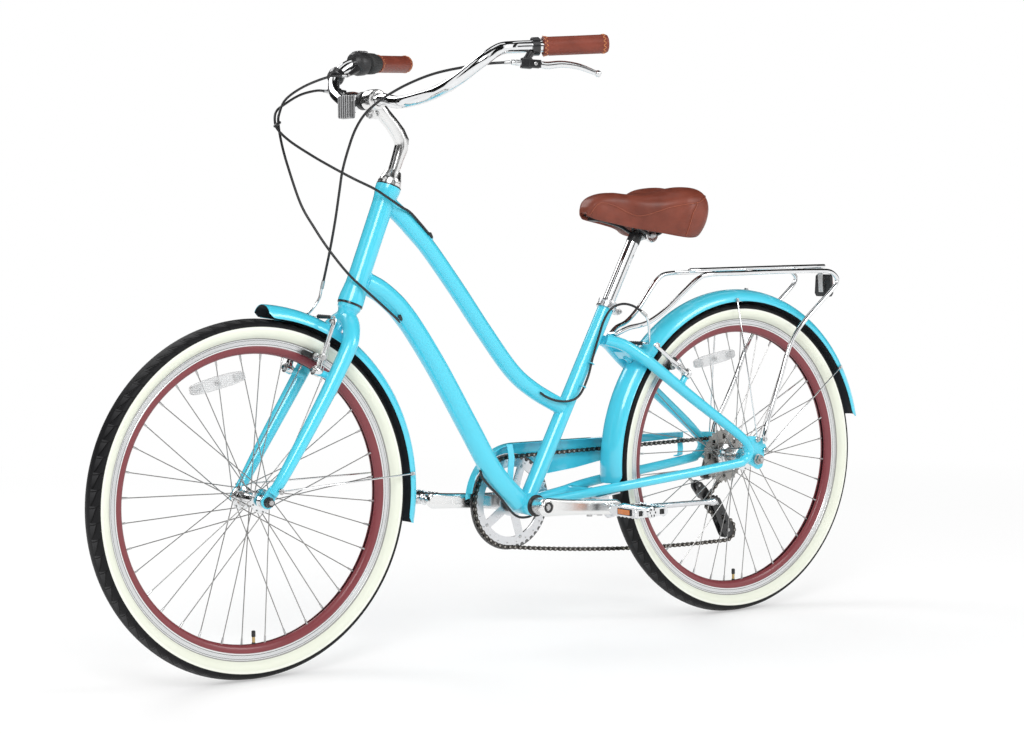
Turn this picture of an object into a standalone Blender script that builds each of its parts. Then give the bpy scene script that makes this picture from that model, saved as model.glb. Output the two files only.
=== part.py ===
"""Step-through hybrid bicycle, built as separate solids at real size.

Metres, +X forward, +Y to the rider's left, +Z up. Points below are measured from the
ground under the rear axle; the empty called bicycle shifts them so that the origin
lies on the ground at the middle of the length.
"""
import math

import bpy
import bmesh
from mathutils import Matrix, Vector

for old in list(bpy.data.objects):
    bpy.data.objects.remove(old, do_unlink=True)

# Driving dimensions
LENGTH_CENTRE = 0.5625
WHEELBASE = 1.1588
WHEEL_RADIUS = 0.323
RIM_RADIUS = 0.286
RIM_DEPTH = 0.0255
SPOKES = 36
WHEEL_STEPS = 32
GAP = 0.0003

REAR_HUB = Vector((0.0, 0.0, WHEEL_RADIUS))
FRONT_HUB = Vector((WHEELBASE, 0.0, WHEEL_RADIUS))
CRANK_CENTRE = Vector((0.546, 0.0, 0.2665))
TO_DRIVE_SIDE = Vector((0.0, -1.0, 0.0))
FORWARD = Vector((1.0, 0.0, 0.0))
LEFT = Vector((0.0, 1.0, 0.0))

HEAD_TOP = Vector((0.859, 0.0, 0.880))
HEAD_LENGTH = 0.230
HEAD_UP = Vector((-0.376, 0.0, 0.9266)).normalized()
HEAD_AHEAD = Vector((HEAD_UP.z, 0.0, -HEAD_UP.x))
HEAD_BOTTOM = HEAD_TOP - HEAD_UP * HEAD_LENGTH
STEERER_RADIUS = 0.0127

SEAT_TUBE_ANGLE = math.radians(61.5)
SEAT_UP = Vector((-math.cos(SEAT_TUBE_ANGLE), 0.0, math.sin(SEAT_TUBE_ANGLE)))
SEAT_TUBE_LENGTH = 0.442
SEAT_TUBE_RADIUS = 0.0159
SEAT_POST_RADIUS = 0.0127
SEAT_POST_TOP = 0.5735
SEAT_POST_INSERTED = 0.115
SADDLE_PIVOT = Vector((0.2430, 0.0, 0.7870))

DOWN_TUBE_RADIUS = 0.021
TOP_TUBE_RADIUS = 0.0163
BRACKET_SHELL_HALF = 0.034

CRANK_LENGTH = 0.170
CRANK_RISE = math.radians(4.4)
CRANK_INNER = 0.060
CRANK_OUTER = 0.0735
CRANK_AHEAD = Vector((math.cos(CRANK_RISE), 0.0, math.sin(CRANK_RISE)))
PEDAL_MIDDLE = 0.140
PEDAL_HALF_WIDTH = 0.041
PEDAL_HALF_LENGTH = 0.035

LINK_PITCH = 0.0127
CHAIN_LINE = 0.045
CHAINRING_TEETH = 44
COG_TEETH = (28, 24, 21, 18, 16, 14, 12)
COG_SPACING = 0.005
FIRST_COG_LINE = 0.030
CHAIN_COG = 3
PULLEY_TEETH = 11
CHAIN_SAG = 0.010
GUIDE_PULLEY = Vector((0.012, 0.0, 0.222))
TENSION_PULLEY = Vector((-0.020, 0.0, 0.163))

BAR_RADIUS = 0.0111
GRIP_RADIUS = 0.0165
CABLE_RADIUS = 0.0024

PAINT = "turquoise_paint"


def pitch_radius(teeth):
    return LINK_PITCH / (2 * math.sin(math.pi / teeth))


# Materials
def make_material(name, colour, metallic, roughness):
    material = bpy.data.materials.new(name)
    material.use_nodes = True
    shader = material.node_tree.nodes["Principled BSDF"]
    shader.inputs["Base Color"].default_value = (*colour, 1.0)
    shader.inputs["Metallic"].default_value = metallic
    shader.inputs["Roughness"].default_value = roughness
    material.diffuse_color = (*colour, 1.0)
    return material


FINISHES = {
    PAINT: ((0.10, 0.66, 0.84), 0.0, 0.22),
    "maroon_rim": ((0.20, 0.035, 0.045), 0.1, 0.35),
    "tyre_rubber": ((0.02, 0.02, 0.02), 0.0, 0.75),
    "tube_rubber": ((0.03, 0.03, 0.03), 0.0, 0.8),
    "chrome": ((0.80, 0.80, 0.80), 1.0, 0.12),
    "satin_alloy": ((0.70, 0.71, 0.72), 1.0, 0.35),
    "grey_steel": ((0.45, 0.45, 0.44), 1.0, 0.38),
    "chain_steel": ((0.16, 0.13, 0.10), 0.9, 0.45),
    "black_plastic": ((0.02, 0.02, 0.022), 0.0, 0.45),
    "brown_leather": ((0.26, 0.075, 0.04), 0.0, 0.5),
    "cable_black": ((0.015, 0.015, 0.015), 0.0, 0.4),
    "clear_lens": ((0.75, 0.76, 0.76), 0.0, 0.15),
    "red_lens": ((0.25, 0.01, 0.01), 0.0, 0.2),
}
MATERIALS = {name: make_material(name, *values) for name, values in FINISHES.items()}


# Mesh tools
def solid(verts, faces):
    """A mesh with its faces pointing out."""
    mesh = bpy.data.meshes.new("shape")
    mesh.from_pydata([tuple(v) for v in verts], [], faces)
    work = bmesh.new()
    work.from_mesh(mesh)
    bmesh.ops.recalc_face_normals(work, faces=work.faces)
    work.to_mesh(mesh)
    work.free()
    return mesh


def across(axis, side=None):
    """Two unit vectors square to an axis and to each other."""
    along = Vector(axis).normalized()
    if side is None:
        side = Vector((0, 0, 1)) if abs(along.z) < 0.9 else FORWARD
    first = (side - along * side.dot(along)).normalized()
    return first, along.cross(first)


def rings_to_solid(rings, closed=False):
    """Join rings of points of one length; an open row of rings is capped."""
    size = len(rings[0])
    verts = [v for ring in rings for v in ring]
    faces = []
    spans = len(rings) if closed else len(rings) - 1
    for k in range(spans):
        here = k * size
        there = ((k + 1) % len(rings)) * size
        for i in range(size):
            j = (i + 1) % size
            faces.append((here + i, here + j, there + j, there + i))
    if not closed:
        faces.append(tuple(reversed(range(size))))
        faces.append(tuple(range(len(verts) - size, len(verts))))
    return solid(verts, faces)


def bar(path, radius, sides=8, flat=1.0, side=LEFT):
    """A round or oval bar along a path; radius is one number or one for each point."""
    points = [Vector(p) for p in path]
    radii = list(radius) if isinstance(radius, (list, tuple)) else [radius] * len(points)
    first = Vector(side)
    rings = []
    for k, point in enumerate(points):
        tangent = (points[min(k + 1, len(points) - 1)] - points[max(k - 1, 0)]).normalized()
        first = (first - tangent * first.dot(tangent)).normalized()
        second = tangent.cross(first)
        ring = []
        for s in range(sides):
            turn = 2 * math.pi * (s + 0.5) / sides
            ring.append(point + (first * math.cos(turn) + second * flat * math.sin(turn)) * radii[k])
        rings.append(ring)
    return rings_to_solid(rings)


def turned(profile, centre, axis, steps, start=0.0, end=360.0, side=FORWARD, grow=None):
    """A closed profile of (radius, height) points turned about an axis, round or part way."""
    first, second = across(axis, side)
    along = Vector(axis).normalized()
    full = end - start >= 360.0
    rings = []
    for k in range(steps if full else steps + 1):
        degrees = start + (end - start) * k / steps
        angle = math.radians(degrees)
        out = first * math.cos(angle) + second * math.sin(angle)
        extra = grow(degrees) if grow else 0.0
        rings.append([centre + out * (r + extra) + along * h for r, h in profile])
    return rings_to_solid(rings, closed=full)


def spindle(profile, centre, axis, sides=12, side=None):
    """A solid of revolution from (radius, height) points, low end first."""
    first, second = across(axis, side)
    along = Vector(axis).normalized()
    rings = []
    for radius, height in profile:
        ring = []
        for s in range(sides):
            turn = 2 * math.pi * (s + 0.5) / sides
            ring.append(centre + along * height + (first * math.cos(turn) + second * math.sin(turn)) * radius)
        rings.append(ring)
    return rings_to_solid(rings)


def prism(outline, origin, first, second, depth):
    """An outline in the plane of two directions, pushed along a depth vector."""
    low = [origin + first * a + second * b for a, b in outline]
    return rings_to_solid([low, [v + depth for v in low]])


def plate(outline, inner, outer):
    """An upright plate: an outline of (x, z) points between two distances along Y."""
    low = [Vector((x, inner, z)) for x, z in outline]
    return rings_to_solid([low, [Vector((v.x, outer, v.z)) for v in low]])


def block(centre, size, first=FORWARD, second=LEFT):
    """A box; its first two sides lie along two directions square to each other."""
    third = first.cross(second)
    half = [s / 2 for s in size]
    low = [centre + first * a * half[0] + second * b * half[1] - third * half[2]
           for a, b in ((-1, -1), (1, -1), (1, 1), (-1, 1))]
    return rings_to_solid([low, [v + third * size[2] for v in low]])


def capsule(start, start_radius, end, end_radius, turns=5):
    """Outline round two circles in (x, z), a taper with round ends."""
    heading = math.atan2(end[1] - start[1], end[0] - start[0])
    points = []
    for centre, radius, base in ((end, end_radius, -90), (start, start_radius, 90)):
        for k in range(turns + 1):
            angle = heading + math.radians(base + 180 * k / turns)
            points.append((centre[0] + radius * math.cos(angle), centre[1] + radius * math.sin(angle)))
    return points


def smooth(points, steps):
    """A round curve through hand-placed points, with a number of steps between each pair."""
    given = [Vector(p) for p in points]
    ends = [given[0] * 2 - given[1]] + given + [given[-1] * 2 - given[-2]]
    result = []
    for k in range(1, len(ends) - 2):
        a, b, c, d = ends[k - 1:k + 3]
        for s in range(steps):
            t = s / steps
            result.append(0.5 * ((2 * b) + (c - a) * t + (2 * a - 5 * b + 4 * c - d) * t * t
                                 + (3 * b - a - 3 * c + d) * t ** 3))
    return result + [given[-1]]


def mirrored(points):
    return [Vector((p[0], -p[1], p[2])) for p in points]


def combine(operation, first, others):
    """Boolean of one mesh with each of the others in turn."""
    body = bpy.data.objects.new("body", first)
    bpy.context.scene.collection.objects.link(body)
    tools = []
    for mesh in others:
        tool = bpy.data.objects.new("tool", mesh)
        bpy.context.scene.collection.objects.link(tool)
        tools.append(tool)
        step = body.modifiers.new("step", "BOOLEAN")
        step.operation = operation
        step.solver = "EXACT"
        step.object = tool
    bpy.context.view_layer.update()
    depsgraph = bpy.context.evaluated_depsgraph_get()
    result = bpy.data.meshes.new_from_object(body.evaluated_get(depsgraph))
    for item in [body] + tools:
        bpy.data.objects.remove(item, do_unlink=True)
    work = bmesh.new()
    work.from_mesh(result)
    bmesh.ops.dissolve_degenerate(work, edges=work.edges, dist=0.00001)
    bmesh.ops.dissolve_limit(work, edges=work.edges, verts=work.verts, angle_limit=math.radians(0.2))
    work.to_mesh(result)
    work.free()
    return result


def weld(first, *others):
    return combine("UNION", first, others)


def cut(first, *others):
    return combine("DIFFERENCE", first, others)


def together(meshes):
    """Separate shapes in one mesh, to be welded in a single step."""
    work = bmesh.new()
    for mesh in meshes:
        work.from_mesh(mesh)
    result = bpy.data.meshes.new("group")
    work.to_mesh(result)
    work.free()
    return result


# Pivots and placing
PIVOTS = {}


def pivot(name, at, parent=None):
    """An empty on a joint's axis; it carries the pieces that turn or slide there."""
    empty = bpy.data.objects.new(name, None)
    bpy.context.scene.collection.objects.link(empty)
    at = Vector(at)
    if parent:
        empty.parent = PIVOTS[parent][0]
        empty.location = at - PIVOTS[parent][1]
    else:
        empty.location = Vector((-LENGTH_CENTRE, 0.0, 0.0))
    PIVOTS[name] = (empty, at)


def place(name, mesh, finish, carrier="bicycle"):
    """Name a mesh as a sub-part, give it its material and hang it on its pivot."""
    empty, at = PIVOTS[carrier]
    mesh.transform(Matrix.Translation(-at))
    mesh.name = name
    mesh.materials.clear()
    mesh.materials.append(MATERIALS[finish])
    mesh.shade_smooth()
    mesh.set_sharp_from_angle(angle=math.radians(35))
    piece = bpy.data.objects.new(name, mesh)
    bpy.context.scene.collection.objects.link(piece)
    piece.parent = empty
    return piece


def at_angle(centre, radius, degrees, across_y=0.0):
    """A point round a wheel: 0 is forward and 90 is up."""
    angle = math.radians(degrees)
    return centre + Vector((radius * math.cos(angle), across_y, radius * math.sin(angle)))


# Frame
DOWN_TUBE = smooth([(0.915, 0, 0.705), (0.884, 0, 0.690), (0.858, 0, 0.6712), (0.837, 0, 0.6521),
                    (0.8047, 0, 0.6138),
                    (0.7507, 0, 0.5365), (0.6773, 0, 0.4187), (0.6234, 0, 0.3345),
                    (0.562, 0, 0.2720)], 1)
TOP_TUBE = smooth([(0.8605, 0, 0.8480), (0.8370, 0, 0.8300), (0.8050, 0, 0.8003), (0.7679, 0, 0.7626),
                   (0.7053, 0, 0.6862), (0.6450, 0, 0.6085), (0.5787, 0, 0.5290),
                   (0.5254, 0, 0.4877), (0.4560, 0, 0.4510)], 1)
STAY_LOOP = [(0.3500, 0.0100, 0.5800), (0.3180, 0.0240, 0.5690), (0.2850, 0.0360, 0.5480),
             (0.2559, 0.0425, 0.5270), (0.1600, 0.0530, 0.4570), (0.0815, 0.0640, 0.4015),
             (0.0470, 0.0700, 0.3755), (0.0300, 0.0725, 0.3600), (0.0215, 0.0735, 0.3450),
             (0.0260, 0.0735, 0.3310), (0.0400, 0.0730, 0.3225), (0.0700, 0.0710, 0.3160),
             (0.3300, 0.0534, 0.2916), (0.4300, 0.0345, 0.2800), (0.5000, 0.0252, 0.2735),
             (0.5400, 0.0200, 0.2690)]
STAY_RADII = [0.0110, 0.0120, 0.0122, 0.0120, 0.0112, 0.0102, 0.0097, 0.0095, 0.0095,
              0.0095, 0.0095, 0.0095, 0.0095, 0.0092, 0.0085, 0.0085]
DROPOUT_OUTLINE = [(0.034, 0.372), (0.006, 0.371), (-0.015, 0.366), (-0.028, 0.345), (-0.020, 0.332),
                   (-0.016, 0.306), (-0.004, 0.301), (0.010, 0.309), (0.030, 0.319)]
DROPOUT_INNER = 0.0670
DROPOUT_OUTER = 0.0720
REAR_BRAKE_SEAT = Vector((0.190, 0.0485, 0.4795))
REAR_STAY_UP = Vector((0.8127, 0.0, 0.5825)).normalized()
REAR_STAY_BACK = Vector((-REAR_STAY_UP.z, 0.0, REAR_STAY_UP.x))
BRAKE_PIVOT_OUT = 0.0315
BRAKE_BOSS_OUT = 0.0240


def brake_boss(seat, out):
    """The stud that a brake arm turns on."""
    return spindle([(0.0065, 0.0), (0.0065, BRAKE_BOSS_OUT), (0.0042, BRAKE_BOSS_OUT),
                    (0.0042, 0.0405)], seat, out, 8)


def build_frame():
    seat_base = CRANK_CENTRE + SEAT_UP * 0.006
    head = turned_head()
    seat_tube = spindle([(SEAT_TUBE_RADIUS, 0.0), (SEAT_TUBE_RADIUS, SEAT_TUBE_LENGTH - 0.006)],
                        seat_base, SEAT_UP, 14)
    shell = spindle([(0.0205, -BRACKET_SHELL_HALF), (0.0205, BRACKET_SHELL_HALF)],
                    CRANK_CENTRE, TO_DRIVE_SIDE, 16)
    pieces = [bar(DOWN_TUBE, DOWN_TUBE_RADIUS, 12), bar(TOP_TUBE, TOP_TUBE_RADIUS, 10), seat_tube, shell]
    for path in (STAY_LOOP, mirrored(STAY_LOOP)):
        pieces.append(bar(path, STAY_RADII, 8))
    for sign in (1, -1):
        pieces.append(plate(DROPOUT_OUTLINE, sign * DROPOUT_INNER, sign * DROPOUT_OUTER))
        seat = Vector((REAR_BRAKE_SEAT.x, sign * REAR_BRAKE_SEAT.y, REAR_BRAKE_SEAT.z))
        pieces.append(brake_boss(seat, REAR_STAY_BACK))
    pieces.append(bar([(0.410, -0.041, 0.2830), (0.410, 0.041, 0.2830)], 0.0080, 8, side=FORWARD))
    pieces.append(block(Vector((0.2960, 0.0, 0.5470)), (0.026, 0.064, 0.004), REAR_STAY_UP, LEFT))
    pieces.append(spindle([(0.0060, 0.3500), (0.0060, 0.3660)], REAR_HUB, at_angle(Vector(), 1.0, 37.1), 8))
    pieces.append(spindle([(0.0080, -0.0040), (0.0080, 0.0160)], Vector((0.3330, 0.0, 0.5725)),
                          REAR_STAY_BACK, 8))
    bores = [spindle([(0.0162, -0.02), (0.0162, HEAD_LENGTH + 0.02)], HEAD_BOTTOM, HEAD_UP, 16),
             spindle([(0.0137, 0.250), (0.0137, 0.50)], CRANK_CENTRE, SEAT_UP, 14),
             spindle([(0.0172, -0.05), (0.0172, 0.05)], CRANK_CENTRE, TO_DRIVE_SIDE, 16),
             spindle([(0.0056, -0.10), (0.0056, 0.10)], REAR_HUB, TO_DRIVE_SIDE, 8)]
    return cut(weld(head, *pieces), *bores)


def turned_head():
    """Head tube, flared where the cups sit."""
    profile = [(0.0240, 0.0), (0.0240, 0.010), (0.0205, 0.018), (0.0200, 0.115), (0.0205, 0.212),
               (0.0235, 0.220), (0.0235, HEAD_LENGTH)]
    return spindle(profile, HEAD_BOTTOM, HEAD_UP, 16)


def build_seat_clamp():
    top = CRANK_CENTRE + SEAT_UP * (SEAT_TUBE_LENGTH - 0.017)
    collar = spindle([(0.0198, 0.0), (0.0198, 0.0165)], top, SEAT_UP, 14)
    back = Vector((-SEAT_UP.z, 0.0, SEAT_UP.x))
    lug = block(top + SEAT_UP * 0.0083 + back * 0.0235, (0.0150, 0.0180, 0.0130), back, LEFT)
    bolt = spindle([(0.0050, -0.0140), (0.0050, 0.0150)], top + SEAT_UP * 0.0083 + back * 0.0265, LEFT, 8)
    bore = spindle([(0.0164, -0.01), (0.0164, 0.03)], top, SEAT_UP, 14)
    slot = block(top + SEAT_UP * 0.0083 + back * 0.0200, (0.0200, 0.0016, 0.0300), back, LEFT)
    return cut(weld(collar, lug, bolt), bore, cut(slot, bolt_hole(top, back)))


def bolt_hole(top, back):
    """The bolt bridges the collar's slot, so the slot is not cut there."""
    return spindle([(0.0055, -0.02), (0.0055, 0.02)], top + SEAT_UP * 0.0083 + back * 0.0265, LEFT, 8)


# Wheels
TYRE_OUTER = [(0.2734, 0.0106), (0.2863, 0.0107), (0.2985, 0.0240), (0.3110, 0.0234), (0.3190, 0.0150)]
TYRE_INNER = [(0.2734, 0.0084), (0.2870, 0.0084), (0.2990, 0.0200)]
TUBE_SECTION = [(0.2872, 0.0080), (0.2988, 0.0193)]
TYRE_INNER_CROWN = 0.3180
RIM_WALL = 0.0128
RIM_WELL = 0.0110
VALVE_ANGLE = -90.0
SPOKE_RADIUS = 0.0011
SPOKE_STAGGER = 0.0013
SPOKE_END = 0.2578


def both_sides(half, crown=None):
    """A section's half mirrored about the wheel's middle plane, with its crown point."""
    middle = [(crown, 0.0)] if crown else []
    return half + middle + [(r, -h) for r, h in reversed(half)]


def build_tyre(hub):
    profile = both_sides(TYRE_OUTER, WHEEL_RADIUS) + list(reversed(both_sides(TYRE_INNER, TYRE_INNER_CROWN)))
    return turned(profile, hub, TO_DRIVE_SIDE, WHEEL_STEPS)


def build_inner_tube(hub):
    ring = turned(both_sides(TUBE_SECTION, TYRE_INNER_CROWN - 0.0006), hub, TO_DRIVE_SIDE, WHEEL_STEPS)
    out = at_angle(Vector(), 1.0, VALVE_ANGLE)
    valve = spindle([(0.0026, 0.2385), (0.0034, 0.2430), (0.0034, 0.2900)], hub, out, 6)
    return weld(ring, valve)


def build_rim(hub):
    inner = RIM_RADIUS - RIM_DEPTH
    profile = [(RIM_RADIUS, RIM_WALL), (RIM_RADIUS, RIM_WELL), (0.2730, RIM_WELL), (0.2730, -RIM_WELL),
               (RIM_RADIUS, -RIM_WELL), (RIM_RADIUS, -RIM_WALL), (0.2665, -0.0118), (inner, -0.0070),
               (inner, 0.0070), (0.2665, 0.0118)]
    hole = spindle([(0.0042, 0.2400), (0.0042, 0.2900)], hub, at_angle(Vector(), 1.0, VALVE_ANGLE), 8)
    return cut(turned(profile, hub, TO_DRIVE_SIDE, WHEEL_STEPS), hole)


def spoke_set(hub, flange_radius, flanges):
    """Three-cross spokes: each flange has as many leading as trailing ones."""
    spokes = []
    per_flange = SPOKES // 4
    step = 360.0 / per_flange
    for side, flange in enumerate(flanges):
        shift = 5.0 + side * 10.0
        lean = 1 if flange > 0 else -1
        for k in range(per_flange):
            for stagger, hub_angle, rim_angle in ((1, step * k, step * k + 60.0),
                                                  (-1, step * k + step / 2, step * k + step / 2 - 60.0)):
                offset = stagger * SPOKE_STAGGER
                start = at_angle(hub, flange_radius, hub_angle + shift, -(flange + offset))
                end = at_angle(hub, SPOKE_END, rim_angle + shift, -(lean * 0.0025 + offset))
                spokes.append(bar([start, end], SPOKE_RADIUS, 3))
    return together(spokes)


def build_front_hub():
    profile = [(0.0056, -0.0440), (0.0105, -0.0440), (0.0105, -0.0365), (0.0220, -0.0350), (0.0220, -0.0320),
               (0.0115, -0.0280), (0.0115, 0.0280), (0.0220, 0.0320), (0.0220, 0.0350), (0.0105, 0.0365),
               (0.0105, 0.0440), (0.0056, 0.0440)]
    shell = turned(profile, FRONT_HUB, TO_DRIVE_SIDE, 14)
    return weld(shell, spoke_set(FRONT_HUB, 0.019, (-0.0335, 0.0335)))


def build_rear_hub():
    profile = [(0.0056, -0.0560), (0.0120, -0.0560), (0.0120, -0.0365), (0.0260, -0.0350), (0.0260, -0.0320),
               (0.0155, -0.0280), (0.0155, 0.0120), (0.0260, 0.0165), (0.0260, 0.0200), (0.0165, 0.0215),
               (0.0165, 0.0600), (0.0056, 0.0600)]
    shell = turned(profile, REAR_HUB, TO_DRIVE_SIDE, 14)
    return weld(shell, spoke_set(REAR_HUB, 0.0225, (-0.0335, 0.0183)))


def build_wheels():
    for end, hub in (("front", FRONT_HUB), ("rear", REAR_HUB)):
        carrier = end + "_wheel_pivot"
        place(end + "_tyre", build_tyre(hub), "tyre_rubber", carrier)
        place(end + "_inner_tube", build_inner_tube(hub), "tube_rubber", carrier)
        place(end + "_rim", build_rim(hub), "maroon_rim", carrier)
    place("front_hub", build_front_hub(), "satin_alloy", "front_wheel_pivot")
    place("rear_hub", build_rear_hub(), "satin_alloy", "rear_wheel_pivot")


def build_front_axle():
    half = [(0.0046, 0.0442), (0.0088, 0.0443), (0.0088, 0.0517), (0.0046, 0.0517), (0.0046, 0.0573),
            (0.0098, 0.0573), (0.0098, 0.0655), (0.0046, 0.0655), (0.0046, 0.0700)]
    profile = [(r, -h) for r, h in reversed(half)] + half
    return spindle(profile, FRONT_HUB, TO_DRIVE_SIDE, 6)


def build_rear_axle():
    outer = [(0.0046, 0.0667), (0.0046, 0.0757), (0.0104, 0.0757), (0.0104, 0.0840), (0.0046, 0.0840),
             (0.0046, 0.0890)]
    drive = [(0.0046, 0.0603), (0.0092, 0.0603), (0.0092, 0.0667)] + outer
    left = [(0.0046, 0.0563), (0.0092, 0.0563), (0.0092, 0.0667)] + outer[:1]
    left += [(0.0046, 0.0723), (0.0112, 0.0723), (0.0112, 0.0757)] + outer[2:]
    profile = [(r, -h) for r, h in reversed(left)] + drive
    return spindle(profile, REAR_HUB, TO_DRIVE_SIDE, 6)


# Mudguards
GUARD_HALF_WIDTH = 0.0285
GUARD_EDGE = 0.3255
GUARD_CROWN = 0.0235
GUARD_SHEET = 0.0014
FRONT_GUARD_ARC = (94.5, 191.5)
REAR_GUARD_ARC = (-5.0, 168.5)


def guard_flare(end):
    """The blade stands a little further off the tyre towards its tail."""
    return lambda degrees: (0.0005 if end > 180 else 0.006) * max(0.0, 1 - abs(end - degrees) / 60.0)


def guard_section(spread=0.0, count=4):
    points = []
    for k in range(count + 1):
        turn = math.radians(-90 + 180 * k / count)
        points.append((GUARD_EDGE + (GUARD_CROWN + spread) * math.cos(turn),
                       (GUARD_HALF_WIDTH + spread) * math.sin(turn)))
    return points


def build_guard(hub, arc, tail):
    profile = guard_section() + list(reversed(guard_section(-GUARD_SHEET)))
    steps = round((arc[1] - arc[0]) / 7.0)
    return turned(profile, hub, TO_DRIVE_SIDE, steps, arc[0], arc[1], grow=guard_flare(tail))


def build_front_guard():
    """The front blade with the boss that bolts up under the fork crown."""
    out = at_angle(Vector(), 1.0, 122.3)
    boss = spindle([(0.0065, 0.3465), (0.0065, 0.3672)], FRONT_HUB, out, 8)
    return weld(build_guard(FRONT_HUB, FRONT_GUARD_ARC, FRONT_GUARD_ARC[1]), boss)


def build_guard_stay(hub, eyelet, degrees, tail):
    """One bent wire: eyelet, over the blade, and down to the other eyelet."""
    wire = 0.0016
    over = []
    for radius, height in reversed(guard_section(wire + 0.0007)):
        over.append(at_angle(hub, radius + guard_flare(tail)(degrees), degrees, height))
    path = [Vector(eyelet)] + over + mirrored([eyelet])
    return bar(path, wire, 6)


# Carrier rack
RACK_SIDE = smooth([(0.3240, 0.0080, 0.5890), (0.2980, 0.0190, 0.6020), (0.2620, 0.0320, 0.6110),
                    (0.2220, 0.0430, 0.6360), (0.1800, 0.0540, 0.6740), (0.1500, 0.0600, 0.6980),
                    (0.1200, 0.0620, 0.7060), (-0.0500, 0.0620, 0.7080), (-0.1900, 0.0620, 0.7075),
                    (-0.2200, 0.0620, 0.7050), (-0.2375, 0.0625, 0.6930), (-0.2370, 0.0630, 0.6800),
                    (-0.2150, 0.0630, 0.6600), (-0.1360, 0.0630, 0.5970), (-0.1000, 0.0640, 0.5520),
                    (-0.0717, 0.0670, 0.4880), (-0.0434, 0.0720, 0.4300), (-0.0200, 0.0780, 0.3860),
                    (-0.0150, 0.0782, 0.3600)], 1)
RACK_TUBE = 0.0048


def build_rack():
    pieces = [bar(mirrored(RACK_SIDE), RACK_TUBE, 6)]
    for x in (0.105, -0.035, -0.175):
        pieces.append(bar([(x, -0.062, 0.7085), (x, 0.062, 0.7085)], 0.0036, 6, side=FORWARD))
    pieces.append(bar([(0.120, 0, 0.7130), (-0.150, 0, 0.7150), (-0.262, 0, 0.7155)], 0.0046, 8))
    pieces.append(plate([(-0.249, 0.712), (-0.253, 0.712), (-0.2565, 0.660), (-0.2525, 0.660)],
                        -0.0065, 0.0065))
    tab = block(Vector((0.3330, 0.0, 0.5725)) + REAR_STAY_BACK * 0.0184, (0.0160, 0.0240, 0.0040),
                REAR_STAY_UP, LEFT)
    return weld(bar(RACK_SIDE, RACK_TUBE, 6), *pieces, tab)


def build_rack_reflector():
    return spindle([(0.0235, 0.0), (0.0260, 0.0030), (0.0260, 0.0090), (0.0220, 0.0120)],
                   Vector((-0.2580, 0.0, 0.6740)), Vector((-1.0, 0.0, 0.05)), 8)


# Drive train
def toothed(teeth, tip, root, thickness, line, centre=CRANK_CENTRE):
    """A toothed disc with two outline points to a tooth."""
    outline = []
    for k in range(teeth * 2):
        radius = tip if k % 2 else root
        angle = math.pi * k / teeth
        outline.append((radius * math.cos(angle), radius * math.sin(angle)))
    origin = centre + TO_DRIVE_SIDE * (line - thickness / 2)
    return prism(outline, origin, FORWARD, Vector((0, 0, 1)), TO_DRIVE_SIDE * thickness)


def build_freewheel():
    core = spindle([(0.0202, 0.0275), (0.0202, 0.0620)], REAR_HUB, TO_DRIVE_SIDE, 14)
    bore = spindle([(0.0174, 0.02), (0.0174, 0.07)], REAR_HUB, TO_DRIVE_SIDE, 14)
    cogs = []
    for k, teeth in enumerate(COG_TEETH):
        pitch = pitch_radius(teeth)
        line = FIRST_COG_LINE + COG_SPACING * k
        cogs.append(toothed(teeth, pitch + 0.0014, pitch - 0.0034, 0.0018, line, REAR_HUB))
    return cut(weld(core, *cogs), bore)


FIRST_ARM_ANGLE = 37.8
RIVET_RADIUS = 0.0730


def build_chainring():
    pitch = pitch_radius(CHAINRING_TEETH)
    disc = toothed(CHAINRING_TEETH, pitch + 0.0014, pitch - 0.0040, 0.0020, CHAIN_LINE)
    windows = []
    arms = 5
    for k in range(arms):
        middle = 360.0 / arms * (k + 0.5) + FIRST_ARM_ANGLE
        outline = []
        for radius, spread, steps in ((0.0690, 28.5, 4), (0.0280, -16.0, 2)):
            for step in range(steps + 1):
                angle = math.radians(middle - spread + 2 * spread * step / steps)
                outline.append((radius * math.cos(angle), radius * math.sin(angle)))
        windows.append(prism(outline, CRANK_CENTRE + TO_DRIVE_SIDE * 0.040, FORWARD, Vector((0, 0, 1)),
                             TO_DRIVE_SIDE * 0.010))
    bore = spindle([(0.0145, 0.03), (0.0145, 0.06)], CRANK_CENTRE, TO_DRIVE_SIDE, 14)
    ring = turned([(0.0700, 0.0500), (0.0948, 0.0500), (0.0948, 0.0518), (0.0700, 0.0518)],
                  CRANK_CENTRE, TO_DRIVE_SIDE, 24)
    rivets = []
    for k in range(arms):
        angle = math.radians(360.0 / arms * k + FIRST_ARM_ANGLE)
        seat = CRANK_CENTRE + Vector((RIVET_RADIUS * math.cos(angle), 0.0, RIVET_RADIUS * math.sin(angle)))
        rivets.append(spindle([(0.0032, 0.0434), (0.0032, 0.0524)], seat, TO_DRIVE_SIDE, 5))
    return weld(cut(disc, bore, *windows), ring, *rivets)


def tangent(first, second):
    """Points where a straight run leaves one circle and meets the next.

    A circle is (x, z, radius, sense); sense 1 turns anticlockwise seen with x right and z up.
    """
    span = Vector((second[0] - first[0], second[1] - first[1]))
    length = span.length
    reach = first[3] * first[2] - second[3] * second[2]
    heading = math.atan2(span.y, span.x) + math.asin(reach / length)
    normal = Vector((math.sin(heading), -math.cos(heading)))
    leave = Vector(first[:2]) + normal * first[2] * first[3]
    meet = Vector(second[:2]) + normal * second[2] * second[3]
    return leave, meet


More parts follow.
